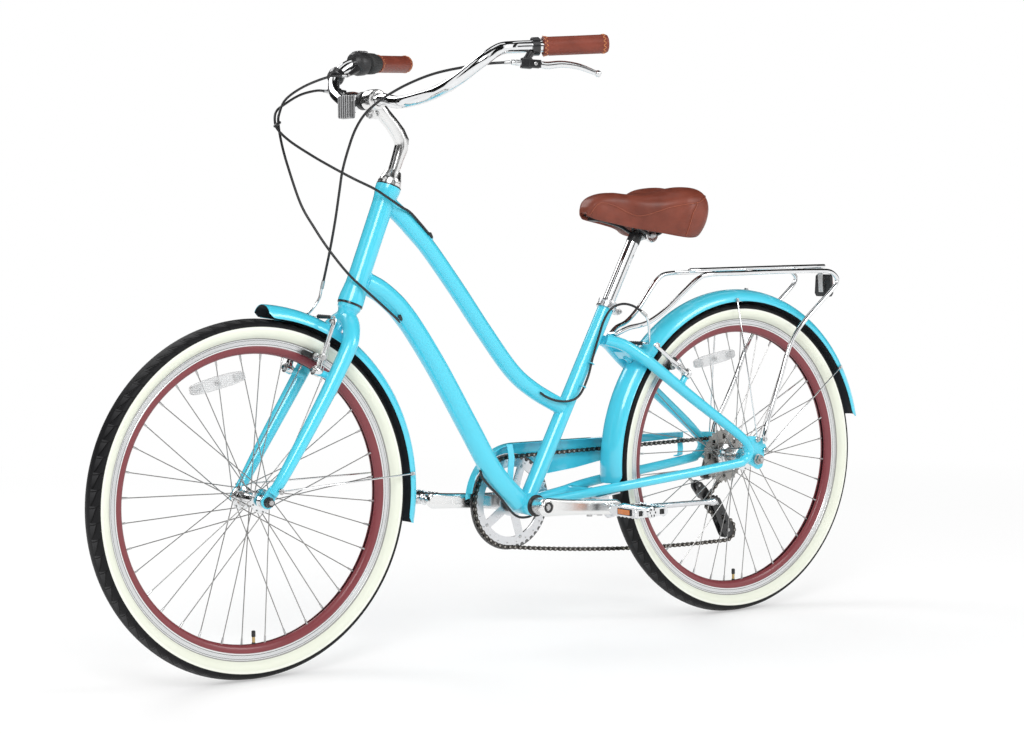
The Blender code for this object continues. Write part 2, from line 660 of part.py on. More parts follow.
def chain_path():
    """Closed path of the chain's pins in (x, z); the lower run sags a little."""
    circles = [(CRANK_CENTRE.x, CRANK_CENTRE.z, pitch_radius(CHAINRING_TEETH), 1),
               (REAR_HUB.x, REAR_HUB.z, pitch_radius(COG_TEETH[CHAIN_COG]), 1),
               (GUIDE_PULLEY.x, GUIDE_PULLEY.z, pitch_radius(PULLEY_TEETH), -1),
               (TENSION_PULLEY.x, TENSION_PULLEY.z, pitch_radius(PULLEY_TEETH), 1)]
    runs = [tangent(circles[k], circles[(k + 1) % 4]) for k in range(4)]
    points = []
    for k, circle in enumerate(circles):
        arrive = runs[k - 1][1]
        leave = runs[k][0]
        middle = Vector(circle[:2])
        start = math.atan2(arrive.y - middle.y, arrive.x - middle.x)
        finish = math.atan2(leave.y - middle.y, leave.x - middle.x)
        swing = (finish - start) * circle[3] % (2 * math.pi) * circle[3]
        steps = max(2, round(abs(swing) / math.radians(15 if k == 0 else 21)))
        for s in range(steps + 1):
            angle = start + swing * s / steps
            points.append(middle + Vector((math.cos(angle), math.sin(angle))) * circle[2])
    start, finish = runs[3]
    for s in range(1, 8):
        t = s / 8
        points.append(start.lerp(finish, t) - Vector((0.0, CHAIN_SAG * 4 * t * (1 - t))))
    return points


def build_chain():
    """Side plates joined along the pins' outer side, open to the sprocket teeth."""
    half_height = 0.0040
    web = 0.0030
    section = [(-0.0031, -half_height), (-0.0019, -half_height), (-0.0019, web), (0.0019, web),
               (0.0019, -half_height), (0.0031, -half_height), (0.0031, half_height),
               (-0.0031, half_height)]
    points = chain_path()
    rings = []
    for k, point in enumerate(points):
        before = (point - points[k - 1]).normalized()
        after = (points[(k + 1) % len(points)] - point).normalized()
        heading = (before + after).normalized()
        outward = Vector((heading.y, -heading.x)) / max(0.5, heading.dot(after))
        rings.append([Vector((point.x + outward.x * up, -CHAIN_LINE - wide, point.y + outward.y * up))
                      for wide, up in section])
    return rings_to_solid(rings, closed=True)


def crank_arm(sign):
    """A tapered arm; sign is 1 on the drive side and points forward there."""
    end = CRANK_AHEAD * CRANK_LENGTH * sign
    outline = capsule((0, 0), 0.0175, (end.x, end.z), 0.0148, 4)
    side = TO_DRIVE_SIDE * sign
    arm = prism(outline, CRANK_CENTRE + side * CRANK_INNER, FORWARD, Vector((0, 0, 1)),
                side * (CRANK_OUTER - CRANK_INNER))
    neck = [(0.0138, 0.0400), (0.0138, 0.0530)] if sign > 0 else [(0.0166, 0.0382), (0.0172, 0.0450)]
    boss = spindle(neck + [(0.0172, 0.0615)], CRANK_CENTRE, side, 14)
    cap = spindle([(0.0105, 0.0700), (0.0095, 0.0755)], CRANK_CENTRE, side, 10)
    socket = spindle([(0.0075, 0.0350), (0.0075, 0.0600)], CRANK_CENTRE, side, 8)
    eye = spindle([(0.0074, 0.0500), (0.0074, 0.0900)], CRANK_CENTRE + end, side, 10)
    return cut(weld(arm, boss, cap), socket, eye)


def build_pedal(sign):
    """Cage, barrel and axle; sign is 1 on the drive side."""
    side = TO_DRIVE_SIDE * sign
    centre = CRANK_CENTRE + CRANK_AHEAD * CRANK_LENGTH * sign
    middle = centre + side * PEDAL_MIDDLE
    cage = block(middle, (2 * PEDAL_HALF_LENGTH, 2 * PEDAL_HALF_WIDTH, 0.024))
    inside = block(middle, (2 * PEDAL_HALF_LENGTH - 0.005, 2 * PEDAL_HALF_WIDTH - 0.005, 0.05))
    barrel = spindle([(0.0062, 0.0615), (0.0062, 0.0920), (0.0110, 0.0950), (0.0110, 0.1780),
                      (0.0090, 0.1830)], centre, side, 8)
    webs = block(middle, (2 * PEDAL_HALF_LENGTH - 0.001, 0.010, 0.012))
    lens = [block(middle + FORWARD * way * (PEDAL_HALF_LENGTH + 0.001), (0.006, 0.036, 0.016))
            for way in (1, -1)]
    return weld(cut(cage, inside), barrel, webs, *lens)


def build_bottom_bracket():
    profile = [(0.0090, -0.0375), (0.0212, -0.0375), (0.0212, -0.0343), (0.0168, -0.0343), (0.0168, 0.0343),
               (0.0200, 0.0343), (0.0200, 0.0365), (0.0090, 0.0365)]
    return turned(profile, CRANK_CENTRE, TO_DRIVE_SIDE, 12)


def build_crank_spindle():
    return spindle([(0.0068, -0.0590), (0.0068, 0.0590)], CRANK_CENTRE, TO_DRIVE_SIDE, 8)


CHAIN_GUARD_LINE = 0.0528
CHAIN_GUARD_SHEET = 0.0015


def build_chain_guard():
    """Side plate over the top run, hooked round the front of the ring, with a lip and two straps."""
    outline = [(0.092, 0.3650), (0.092, 0.3777), (0.308, 0.3800)]
    for k in range(8):
        degrees = 92 - 86 * k / 7
        point = at_angle(CRANK_CENTRE, 0.1155 - 0.010 * k / 7, degrees)
        outline.append((point.x, point.z))
    for k in range(8):
        point = at_angle(CRANK_CENTRE, 0.0950, 8 + 100 * k / 7)
        outline.append((point.x, point.z))
    outline += [(0.450, 0.3150), (0.308, 0.3325), (0.205, 0.3620)]
    inner = -CHAIN_GUARD_LINE
    side = plate(outline, inner, inner - CHAIN_GUARD_SHEET)
    rim = outline[1:11]
    centre = Vector((0.40, 0.0, 0.30))
    lip_rings = []
    for x, z in rim:
        out = (Vector((x, 0.0, z)) - centre).normalized()
        edge = Vector((x, 0.0, z))
        lip_rings.append([edge + LEFT * y - out * d for y, d in
                          ((-0.0350, 0.0), (inner - CHAIN_GUARD_SHEET, 0.0),
                           (inner - CHAIN_GUARD_SHEET, CHAIN_GUARD_SHEET), (-0.0350, CHAIN_GUARD_SHEET))])
    lip = rings_to_solid(lip_rings)
    strap = rings_to_solid([[Vector((x + dx, y + dy, z)) for dx, dy in
                             ((-0.007, -0.001), (0.007, -0.001), (0.007, 0.001), (-0.007, 0.001))]
                            for x, y, z in ((0.5560, -0.0370, 0.3815), (0.5560, -0.0300, 0.3550),
                                            (0.5660, -0.0217, 0.3150), (0.5700, -0.0217, 0.2990))])
    tail = rings_to_solid([[Vector((x + dx, y - dy, z + dy * lean)) for dx, dy in
                            ((-0.007, -0.0008), (0.007, -0.0008), (0.007, 0.0008), (-0.007, 0.0008))]
                           for x, y, z, lean in ((0.1020, -0.0535, 0.3680, 0.0), (0.0990, -0.0535, 0.3420, 0.0),
                                                 (0.0970, -0.0580, 0.3290, 0.6), (0.0970, -0.0700, 0.3256, 1.5))])
    return weld(side, lip, strap, tail)


# Derailleur
def build_derailleur_hanger():
    claw = plate(capsule((0.0, 0.3230), 0.0130, (0.0150, 0.2860), 0.0095), -0.0753, -0.0723)
    knuckle = spindle([(0.0105, 0.0600), (0.0105, 0.0750)], Vector((0.0170, 0.0, 0.2810)),
                      TO_DRIVE_SIDE, 10)
    hole = spindle([(0.0056, 0.05), (0.0056, 0.10)], REAR_HUB, TO_DRIVE_SIDE, 8)
    return cut(weld(claw, knuckle), hole)


def build_derailleur_body():
    """Link and lower knuckle, outboard of the cage."""
    link = plate(capsule((0.0440, 0.2600), 0.0110, (0.0280, 0.2420), 0.0120), -0.0720, -0.0560)
    knuckle = plate(capsule((0.0360, 0.2500), 0.0110, (0.0120, 0.2220), 0.0125), -0.0650, -0.0535)
    stub = spindle([(0.0042, 0.0500), (0.0042, 0.0560)], GUIDE_PULLEY, TO_DRIVE_SIDE, 8)
    return weld(link, knuckle, stub)


def build_derailleur_cage():
    outer = plate(capsule((GUIDE_PULLEY.x, GUIDE_PULLEY.z), 0.0150, (TENSION_PULLEY.x, TENSION_PULLEY.z),
                          0.0170), -0.0528, -0.0510)
    inner = plate(capsule((GUIDE_PULLEY.x, GUIDE_PULLEY.z), 0.0130, (TENSION_PULLEY.x, TENSION_PULLEY.z),
                          0.0150), -0.0390, -0.0372)
    tail = plate([(-0.030, 0.170), (-0.052, 0.160), (-0.050, 0.143), (-0.028, 0.150)], -0.0528, -0.0510)
    pins = [spindle([(0.0030, 0.0380), (0.0030, end)], at, TO_DRIVE_SIDE, 8)
            for at, end in ((GUIDE_PULLEY, 0.0495), (TENSION_PULLEY, 0.0520))]
    hole = spindle([(0.0050, 0.0500), (0.0050, 0.0560)], GUIDE_PULLEY, TO_DRIVE_SIDE, 10)
    return weld(cut(outer, hole), inner, tail, *pins)


def build_pulley(centre):
    disc = toothed(PULLEY_TEETH, 0.0174, 0.0150, 0.0028, CHAIN_LINE, centre)
    return cut(disc, spindle([(0.0038, 0.04), (0.0038, 0.05)], centre, TO_DRIVE_SIDE, 8))


# Kickstand
KICKSTAND_PIVOT = Vector((0.3560, 0.0470, 0.2440))
KICKSTAND_AXIS = Vector((-0.143, 0.952, 0.270)).normalized()


def build_kickstand_bracket():
    top = block(Vector((0.375, 0.0, 0.2750)), (0.056, 0.100, 0.003), Vector((1, 0, -0.11)).normalized())
    body = block(Vector((0.376, 0.010, 0.2545)), (0.040, 0.034, 0.040))
    socket = spindle([(0.0120, -0.0240), (0.0120, -0.0105)], KICKSTAND_PIVOT, KICKSTAND_AXIS, 10)
    bolts = [spindle([(0.0060, 0.0), (0.0060, 0.010)], Vector((x, 0.005, 0.2290)), Vector((0, 0, 1)), 8)
             for x in (0.364, 0.390)]
    return weld(top, body, socket, *bolts)


def build_kickstand_leg():
    boss = spindle([(0.0110, -0.0100), (0.0110, 0.0070)], KICKSTAND_PIVOT, KICKSTAND_AXIS, 10)
    path = [KICKSTAND_PIVOT, (0.3300, 0.0480, 0.2440), (0.2300, 0.0460, 0.2425), (0.1050, 0.0430, 0.2400)]
    rod = bar(path, [0.0085, 0.0065, 0.0058, 0.0055], 8)
    foot = bar([(0.1080, 0.0430, 0.2400), (0.0950, 0.0427, 0.2397), (0.0880, 0.0425, 0.2396)],
               [0.0070, 0.0085, 0.0060], 8)
    return weld(boss, rod, foot)


# Seat post and saddle
def build_seat_post():
    foot = SEAT_TUBE_LENGTH - SEAT_POST_INSERTED
    shaft = spindle([(SEAT_POST_RADIUS, foot), (SEAT_POST_RADIUS, SEAT_POST_TOP), (0.0155, SEAT_POST_TOP + 0.0005),
                     (0.0155, SEAT_POST_TOP + 0.0225)], CRANK_CENTRE, SEAT_UP, 12)
    barrel = spindle([(0.0105, -0.0190), (0.0105, 0.0190)], SADDLE_PIVOT, LEFT, 10)
    arm = bar([CRANK_CENTRE + SEAT_UP * (SEAT_POST_TOP + 0.012), SADDLE_PIVOT], 0.0095, 8)
    return weld(shaft, barrel, arm)


SADDLE_REAR = 0.1300
SADDLE_LENGTH = 0.2680
SADDLE_REAR_CUT = 0.026
SADDLE_STATIONS = ((0.000, 0.056, 0.8040, 0.8570, 0.000, 0.8150), (0.030, 0.080, 0.7930, 0.8690, 0.003, 0.8070),
                   (0.100, 0.097, 0.7850, 0.8760, 0.006, 0.8060), (0.200, 0.102, 0.7835, 0.8765, 0.008, 0.8070),
                   (0.320, 0.099, 0.7865, 0.8735, 0.008, 0.8080), (0.430, 0.083, 0.7915, 0.8700, 0.004, 0.8090),
                   (0.530, 0.059, 0.7970, 0.8680, 0.001, 0.8110), (0.640, 0.039, 0.8030, 0.8695, 0.000, 0.8145),
                   (0.760, 0.032, 0.8095, 0.8705, 0.000, 0.8200), (0.870, 0.029, 0.8150, 0.8670, 0.000, 0.8245),
                   (0.950, 0.025, 0.8195, 0.8580, 0.000, 0.8280), (1.000, 0.013, 0.8260, 0.8420, 0.000, 0.8320))


def saddle_cut(share, rise):
    """How far the skirt's rear draws in towards its lower edge."""
    return SADDLE_REAR_CUT * max(0.0, 1.0 - share / 0.5) * max(0.0, 1.0 - rise / 0.8) ** 2


def saddle_tuck(share, rise):
    """How much narrower the skirt is towards its lower edge at the rear."""
    return 1.0 - 0.1 * max(0.0, 1.0 - share / 0.35) * max(0.0, 1.0 - rise / 0.5)


def saddle_ring(share, half, low, high, hump, recess):
    """One cross-section: hollow underside, drawn-in skirt cut away at the rear, and two crowns."""
    x = SADDLE_REAR + SADDLE_LENGTH * share
    rise = high - low
    side = [(-0.70, (recess - low) / rise), (-0.76, 0.0), (-0.88, 0.0), (-0.98, 0.24), (-1.0, 0.52),
            (-0.90, 0.80), (-0.66, 0.97), (-0.33, 1.0)]
    ring = [Vector((x + saddle_cut(share, b), half * a * saddle_tuck(share, b),
                    low + rise * b + hump * max(0.0, b - 0.6) / 0.4 * abs(a) * 1.5)) for a, b in side]
    crown = [Vector((x, 0.0, high))]
    left = [Vector((x, -v.y, v.z)) for v in reversed(ring)]
    return ring + crown + left


def build_saddle_cover():
    return rings_to_solid([saddle_ring(*station) for station in SADDLE_STATIONS])


def build_saddle_rails():
    """Base plate under the cover, two rails and the clamp's cheeks."""
    base_rings = []
    for share, half, low, high, hump, recess in SADDLE_STATIONS[3:-1]:
        x = SADDLE_REAR + SADDLE_LENGTH * share + saddle_cut(share, (recess - low) / (high - low))
        wide = half * 0.50
        base_rings.append([Vector((x, -wide, recess - 0.0034)), Vector((x, wide, recess - 0.0034)),
                           Vector((x, wide, recess - 0.0005)), Vector((x, -wide, recess - 0.0005))])
    base = rings_to_solid(base_rings)
    pieces = []
    for sign in (1, -1):
        rail = [(0.3750, 0.006 * sign, 0.8200), (0.3580, 0.014 * sign, 0.8160),
                (0.3200, 0.0215 * sign, 0.8080), (0.2850, 0.0240 * sign, 0.8005),
                (0.2650, 0.0245 * sign, 0.7925), (0.2450, 0.0260 * sign, 0.7860), (0.2290, 0.0290 * sign, 0.7885),
                (0.2190, 0.0310 * sign, 0.7955), (0.2160, 0.0320 * sign, 0.8045)]
        pieces.append(bar(rail, 0.0035, 6))
        pieces.append(spindle([(0.0155, 0.0198), (0.0155, 0.0275)], SADDLE_PIVOT, LEFT * sign, 10))
        pieces.append(spindle([(0.0060, 0.0260), (0.0060, 0.0330)], SADDLE_PIVOT, LEFT * sign, 6))
    return weld(base, *pieces)


# Steering parts
FORK_BLADE = [(0.9535, 0.0170, 0.6465), (0.9590, 0.0350, 0.6385), (0.9690, 0.0485, 0.6220),
              (0.9835, 0.0552, 0.5960), (1.0150, 0.0592, 0.5420), (1.0427, 0.0611, 0.4980),
              (1.0938, 0.0618, 0.4200), (1.1324, 0.0600, 0.3610), (1.1500, 0.0565, 0.3360)]
FORK_BLADE_RADII = [0.0165, 0.0160, 0.0155, 0.0150, 0.0142, 0.0135, 0.0120, 0.0105, 0.0095]
CROWN_CENTRE = (0.9532, 0.0, 0.6480)
FORK_DROPOUT_INNER = 0.0520
FORK_DROPOUT_OUTER = 0.0570
FRONT_BRAKE_SEAT = Vector((1.0215, 0.0490, 0.5380))


def build_fork():
    path = mirrored(reversed(FORK_BLADE)) + [Vector(CROWN_CENTRE)] + [Vector(p) for p in FORK_BLADE]
    radii = list(reversed(FORK_BLADE_RADII)) + [0.0168] + FORK_BLADE_RADII
    blades = bar(path, radii, 8, side=FORWARD)
    steerer = spindle([(0.0180, -0.0160), (0.0218, -0.0110), (0.0218, -0.0006), (STEERER_RADIUS, -0.0004),
                       (STEERER_RADIUS, HEAD_LENGTH + 0.026)], HEAD_BOTTOM, HEAD_UP, 14)
    pieces = []
    for sign in (1, -1):
        pieces.append(plate(capsule((1.1480, 0.3420), 0.0090, (WHEELBASE, WHEEL_RADIUS), 0.0125),
                            sign * FORK_DROPOUT_INNER, sign * FORK_DROPOUT_OUTER))
        seat = Vector((FRONT_BRAKE_SEAT.x, sign * FRONT_BRAKE_SEAT.y, FRONT_BRAKE_SEAT.z))
        pieces.append(brake_boss(seat, HEAD_AHEAD))
    bores = [spindle([(0.0113, 0.110), (0.0113, 0.300)], HEAD_BOTTOM, HEAD_UP, 14),
             spindle([(0.0056, -0.10), (0.0056, 0.10)], FRONT_HUB, TO_DRIVE_SIDE, 8)]
    return cut(weld(blades, steerer, *pieces), *bores)


def build_locknut():
    """Upper race, lock nut and tapered cover, all turning with the steerer."""
    return turned([(0.0132, 0.0005), (0.0222, 0.0005), (0.0222, 0.0060), (0.0205, 0.0090), (0.0205, 0.0160),
                   (0.0150, 0.0310), (0.0132, 0.0310)], HEAD_TOP, HEAD_UP, 16)


STEM_CLAMP = Vector((0.890, 0.0, 1.0385))


def build_stem():
    path = smooth([HEAD_TOP - HEAD_UP * 0.090, HEAD_TOP + HEAD_UP * 0.033, HEAD_TOP + HEAD_UP * 0.070,
                   (0.8285, 0, 0.9710), (0.8440, 0, 0.9900), (0.8780, 0, 1.0255)], 2)
    radii = [0.0108] * 3 + [0.0118, 0.0122, 0.0125, 0.0128, 0.0130, 0.0132, 0.0134, 0.0134]
    arm = bar(path, radii, 10)
    clamp = spindle([(0.0190, -0.0210), (0.0190, 0.0210)], STEM_CLAMP, LEFT, 12)
    down = (Vector((0.882, 0.0, 1.012)) - STEM_CLAMP).normalized()
    lug = block(Vector((0.8870, 0.0, 1.0170)), (0.0240, 0.0170, 0.0180), down, LEFT)
    bolt = spindle([(0.0058, -0.0120), (0.0058, 0.0200)], Vector((0.8830, 0.0, 1.0120)), FORWARD, 8)
    bore = spindle([(0.0119, -0.03), (0.0119, 0.03)], STEM_CLAMP, LEFT, 12)
    return cut(weld(arm, clamp, lug, bolt), bore)


GRIP_START = Vector((0.7062, 0.2685, 1.1270))
GRIP_END = Vector((0.5965, 0.3200, 1.1330))
GRIP_HEADING = (GRIP_END - GRIP_START).normalized()
BAR_SIDE = smooth([(0.8900, 0.0350, 1.0385), (0.8885, 0.0900, 1.0310), (0.8620, 0.1450, 1.0435),
                   (0.8470, 0.2000, 1.0650), (0.8200, 0.2360, 1.0965), (0.7850, 0.2440, 1.1195),
                   (0.7515, 0.2472, 1.1250), GRIP_START], 2)


def build_handlebar():
    side = BAR_SIDE + [GRIP_END - GRIP_HEADING * 0.004]
    path = mirrored(reversed(side)) + [STEM_CLAMP] + side
    return bar(path, BAR_RADIUS, 10, side=Vector((0, 0, 1)))


def grip_line(sign):
    start = Vector((GRIP_START.x, GRIP_START.y * sign, GRIP_START.z))
    heading = Vector((GRIP_HEADING.x, GRIP_HEADING.y * sign, GRIP_HEADING.z))
    return start, heading


def build_grip(sign):
    start, heading = grip_line(sign)
    length = (GRIP_END - GRIP_START).length
    body = spindle([(0.0175, 0.0010), (0.0182, 0.0030), (0.0175, 0.0060), (GRIP_RADIUS, 0.0070),
                    (GRIP_RADIUS, length - 0.0070), (0.0182, length - 0.0045), (0.0175, length)],
                   start, heading, 12)
    bore = spindle([(0.0118, -0.01), (0.0118, length - 0.0030)], start, heading, 12)
    return cut(body, bore)


def bar_bore(sign, first, last):
    """The handlebar's own path a little larger, to cut its clamps with."""
    side = [v for v in BAR_SIDE if first - 0.02 <= v.x <= last + 0.02]
    if first < 0.72:
        side = side + [GRIP_START + GRIP_HEADING * 0.02]
    path = side if sign > 0 else mirrored(side)
    return bar(path, BAR_RADIUS + 0.0007, 10, side=Vector((0, 0, 1)))


LEVER_SWEEP = math.radians(24.0)
LEVER_LENGTH = 0.122


def lever_parts(sign, clamp_at, clamp_heading, housing):
    """Clamp band with its housing and cable barrel, and the lever that turns in it."""
    heading = Vector((-math.cos(LEVER_SWEEP), math.sin(LEVER_SWEEP) * sign, -0.06)).normalized()
    turn_axis = Vector((math.sin(LEVER_SWEEP), math.cos(LEVER_SWEEP) * sign, 0.0))
    band = spindle([(0.0165, -0.0070), (0.0165, 0.0070)], clamp_at, clamp_heading, 12)
    arm = bar([clamp_at + (housing - clamp_at) * 0.30, housing], 0.0070, 8)
    box = block(housing + heading * 0.0045, (0.020, 0.0150, 0.0200), heading, turn_axis)
    barrel = bar([housing - heading * 0.0030, housing - heading * 0.0190, housing - heading * 0.0225],
                 [0.0050, 0.0050, 0.0035], 8)
    hinge = housing + heading * 0.0200
    ears = block(housing + heading * 0.0190, (0.0200, 0.0170, 0.0150), heading, turn_axis)
    slot = block(housing + heading * 0.0250, (0.0260, 0.0086, 0.0300), heading, turn_axis)
    pin = spindle([(0.0022, -0.0084), (0.0022, 0.0084)], hinge, turn_axis, 8)
    clamp = weld(cut(weld(band, arm, box, barrel, ears), slot), pin)
    reach = [0.0, 0.024, 0.050, 0.080, 0.108]
    drop = [0.0, -0.001, 0.003, 0.001, -0.007]
    path = [hinge + heading * r + Vector((0, 0, 1)) * d for r, d in zip(reach, drop)]
    path.append(hinge + heading * (LEVER_LENGTH - 0.020) * 1.14 + Vector((0, 0, -0.0095)))
    blade = bar(path, [0.0066, 0.0062, 0.0058, 0.0055, 0.0045, 0.0040], 8, flat=0.60, side=turn_axis)
    root = spindle([(0.0068, -0.0038), (0.0068, 0.0038)], hinge, turn_axis, 10)
    eye = spindle([(0.0030, -0.02), (0.0030, 0.02)], hinge, turn_axis, 8)
    ball = bar([path[-1] - heading * 0.005, path[-1], path[-1] + heading * 0.005],
               [0.0040, 0.0064, 0.0040], 8)
    waist = cut(blade, block(hinge + turn_axis * 0.0090, (0.034, 0.0104, 0.03), heading, turn_axis),
                block(hinge - turn_axis * 0.0090, (0.034, 0.0104, 0.03), heading, turn_axis))
    lever = cut(weld(waist, root, ball), eye)
    return clamp, lever, hinge, turn_axis


LEFT_CLAMP_AT = Vector((0.7176, 0.2628, 1.1264))
LEFT_HOUSING = Vector((0.7440, 0.2640, 1.0960))
RIGHT_CLAMP_AT = Vector((0.8200, -0.2360, 1.0965))
RIGHT_HOUSING = Vector((0.8200, -0.2420, 1.0660))


def build_shifter():
    start, heading = grip_line(-1)
    sleeve = spindle([(0.0175, -0.0380), (0.0205, -0.0350), (0.0205, -0.0120), (0.0180, -0.0010)],
                     start, heading, 14)
    sleeve = cut(sleeve, spindle([(0.0128, -0.05), (0.0128, 0.01)], start, heading, 14))
    body_path = [v for v in mirrored(BAR_SIDE) if 0.7480 < v.x < 0.7800]
    housing = bar(body_path, 0.0240, 12, side=Vector((0, 0, 1)))
    window = block(Vector((0.7540, -0.2480, 1.1430)), (0.0210, 0.0260, 0.0100))
    trim = spindle([(0.0300, -0.0385), (0.0300, 0.0300)], start, heading, 12)
    snout = bar([(0.7640, -0.2400, 1.1160), (0.7840, -0.2240, 1.1080), (0.8020, -0.2110, 1.1020),
                 (0.8180, -0.2020, 1.0970)], [0.0080, 0.0065, 0.0042, 0.0036], 8)
    return sleeve, weld(housing, window), trim, snout


def build_front_reflector():
    lens = block(Vector((0.9350, -0.0220, 1.0260)), (0.012, 0.044, 0.044))
    frame_ring = spindle([(0.0170, -0.0062), (0.0170, 0.0062)], Vector((0.890, -0.0310, 1.0385)), LEFT, 12)
    neck = bar([(0.8990, -0.0310, 1.0350), (0.9320, -0.0290, 1.0280)], 0.0050, 8)
    bore = spindle([(0.0119, -0.03), (0.0119, 0.03)], Vector((0.890, -0.0310, 1.0385)), LEFT, 12)
    return cut(weld(lens, frame_ring, neck), bore)


# Brakes
FRONT_ARM_LENGTH = 0.0955
REAR_ARM_LENGTH = 0.103
WIRE_ABOVE_ARM = 0.0075
PAD_REACH = 0.027


def build_brake_arm(seat, up, out, hub, length, sign):
    """Arm, pad holder and pad on one side of a wheel; sign is 1 on the left."""
    hinge = Vector((seat.x, seat.y * sign, seat.z)) + out * BRAKE_PIVOT_OUT
    top = hinge + up * length - LEFT * sign * 0.003
    middle = hinge + up * 0.05 - LEFT * sign * 0.001
    stem = bar([hinge, middle, top], [0.0068, 0.0056, 0.0046], 6, flat=0.9)
    eye = spindle([(0.0090, -0.0070), (0.0090, 0.0068)], hinge, out, 8)
    bore = spindle([(0.0052, -0.02), (0.0052, 0.02)], hinge, out, 8)
    seat_of_pad = hinge + up * PAD_REACH
    radial = Vector((seat_of_pad.x - hub.x, 0.0, seat_of_pad.z - hub.z)).normalized()
    along = Vector((radial.z, 0.0, -radial.x))
    face = Vector((seat_of_pad.x, 0.0157 * sign, seat_of_pad.z))
    pad = block(face + LEFT * sign * 0.0042, (0.046, 0.0084, 0.0098), along, LEFT)
    post_start = Vector((face.x, 0.0200 * sign, face.z))
    post = bar([post_start, Vector((face.x, (seat.y + 0.012) * sign, face.z))], 0.0034, 6, side=FORWARD)
    washer = spindle([(0.0062, 0.0), (0.0074, 0.0040), (0.0062, 0.0080)],
                     Vector((face.x, 0.0330 * sign, face.z)), LEFT * sign, 6)
    return weld(cut(weld(stem, eye), bore), pad, post, washer)


# Cables
def cable_top(seat, up, out, reach):
    """Where the brake wire crosses between the arms."""
    return Vector((seat.x, 0.0, seat.z)) + out * BRAKE_PIVOT_OUT + up * reach


FRONT_WIRE = cable_top(FRONT_BRAKE_SEAT, HEAD_UP, HEAD_AHEAD, FRONT_ARM_LENGTH + WIRE_ABOVE_ARM)
REAR_WIRE = cable_top(REAR_BRAKE_SEAT, REAR_STAY_UP, REAR_STAY_BACK, REAR_ARM_LENGTH + WIRE_ABOVE_ARM)


def cable(points, radius=CABLE_RADIUS, steps=1, sides=5):
    return bar(smooth(points, steps), radius, sides, side=Vector((0.3, 0.2, 1.0)).normalized())


def across_wheel(wire, from_y, to_y, boot_start, boot_end):
    """Thin wire with its rubber boot between the two arms."""
    way = 0.0015 if to_y > from_y else -0.0015
    path = [Vector((wire.x, y, wire.z))
            for y in (from_y, boot_start - way, boot_start, boot_end, boot_end + way, to_y)]
    return bar(path, [0.0014, 0.0014, 0.0040, 0.0036, 0.0014, 0.0014], 6, side=FORWARD)


FRONT_BRAKE_ROUTE = [(0.7667, 0.2539, 1.0975), (0.8060, 0.2230, 1.0940), (0.8478, 0.1520, 1.0829),
                     (0.8829, 0.1080, 1.0645), (0.9171, 0.0780, 1.0399), (0.9423, 0.0560, 1.0134),
                     (0.9573, 0.0420, 0.9831), (0.9650, 0.0280, 0.9457), (0.9685, 0.0140, 0.9081),
                     (0.9680, 0.0030, 0.8740), (0.9665, -0.0160, 0.8160), (0.9675, -0.0360, 0.7557),
                     (0.9709, -0.0565, 0.6935)]
REAR_BRAKE_ROUTE = [(0.5222, 0.0194, 0.4834), (0.5083, 0.0210, 0.4743), (0.4832, 0.0225, 0.4657),
                    (0.4524, 0.0235, 0.4642), (0.4265, 0.0225, 0.4752), (0.4047, 0.0205, 0.5089),
                    (0.3920, 0.0200, 0.5460), (0.3787, 0.0215, 0.5855), (0.3666, 0.0250, 0.6204),
                    (0.3537, 0.0330, 0.6428), (0.3350, 0.0420, 0.6510), (0.3159, 0.0500, 0.6477),
                    (0.2974, 0.0555, 0.6367), (0.2848, 0.0575, 0.6263)]
SHIFT_ROUTE = [(0.6560, 0.0020, 0.3400), (0.6460, 0.0030, 0.3200),
               (0.6110, 0.0045, 0.2852), (0.5760, 0.0060, 0.2480), (0.5440, 0.0040, 0.2410),
               (0.5050, -0.0120, 0.2480), (0.4400, -0.0320, 0.2630), (0.3780, -0.0430, 0.2665),
               (0.3300, -0.0520, 0.2745), (0.2000, -0.0600, 0.2850), (0.1000, -0.0680, 0.2920),
               (0.0740, -0.0680, 0.2850), (0.0550, -0.0645, 0.2680)]
STEER_BRAKE_ROUTE = [(0.8427, -0.2319, 1.0675), (0.8750, -0.2205, 1.0670), (0.9212, -0.2050, 1.0568),
                     (0.9721, -0.1800, 1.0361), (1.0018, -0.1600, 1.0210), (1.0163, -0.1400, 1.0005),
                     (1.0194, -0.1220, 0.9845), (1.0098, -0.0950, 0.9632), (0.9888, -0.0600, 0.9387),
                     (0.9704, -0.0280, 0.9190), (0.9398, 0.0040, 0.8953), (0.9041, 0.0220, 0.8757),
                     (0.8744, 0.0285, 0.8570), (0.8480, 0.0250, 0.8430), (0.8230, 0.0175, 0.8330),
                     (0.7990, 0.0142, 0.8130), (0.7830, 0.0137, 0.7975),
                     (0.7710, 0.0137, 0.7858)]
STEER_SHIFT_ROUTE = [(0.8192, -0.2011, 1.0966), (0.8600, -0.1960, 1.0930), (0.9212, -0.1890, 1.0724),
                     (0.9715, -0.1740, 1.0460), (0.9968, -0.1560, 1.0190), (1.0090, -0.1400, 0.9990),
                     (1.0180, -0.1150, 0.9619), (1.0211, -0.0880, 0.9172), (1.0170, -0.0520, 0.8491),
                     (1.0033, -0.0280, 0.8053), (0.9868, -0.0060, 0.7660), (0.9620, 0.0190, 0.7223),
                     (0.9274, 0.0290, 0.6890), (0.8899, 0.0280, 0.6598), (0.8650, 0.0215, 0.6430),
                     (0.8450, 0.0124, 0.6308)]


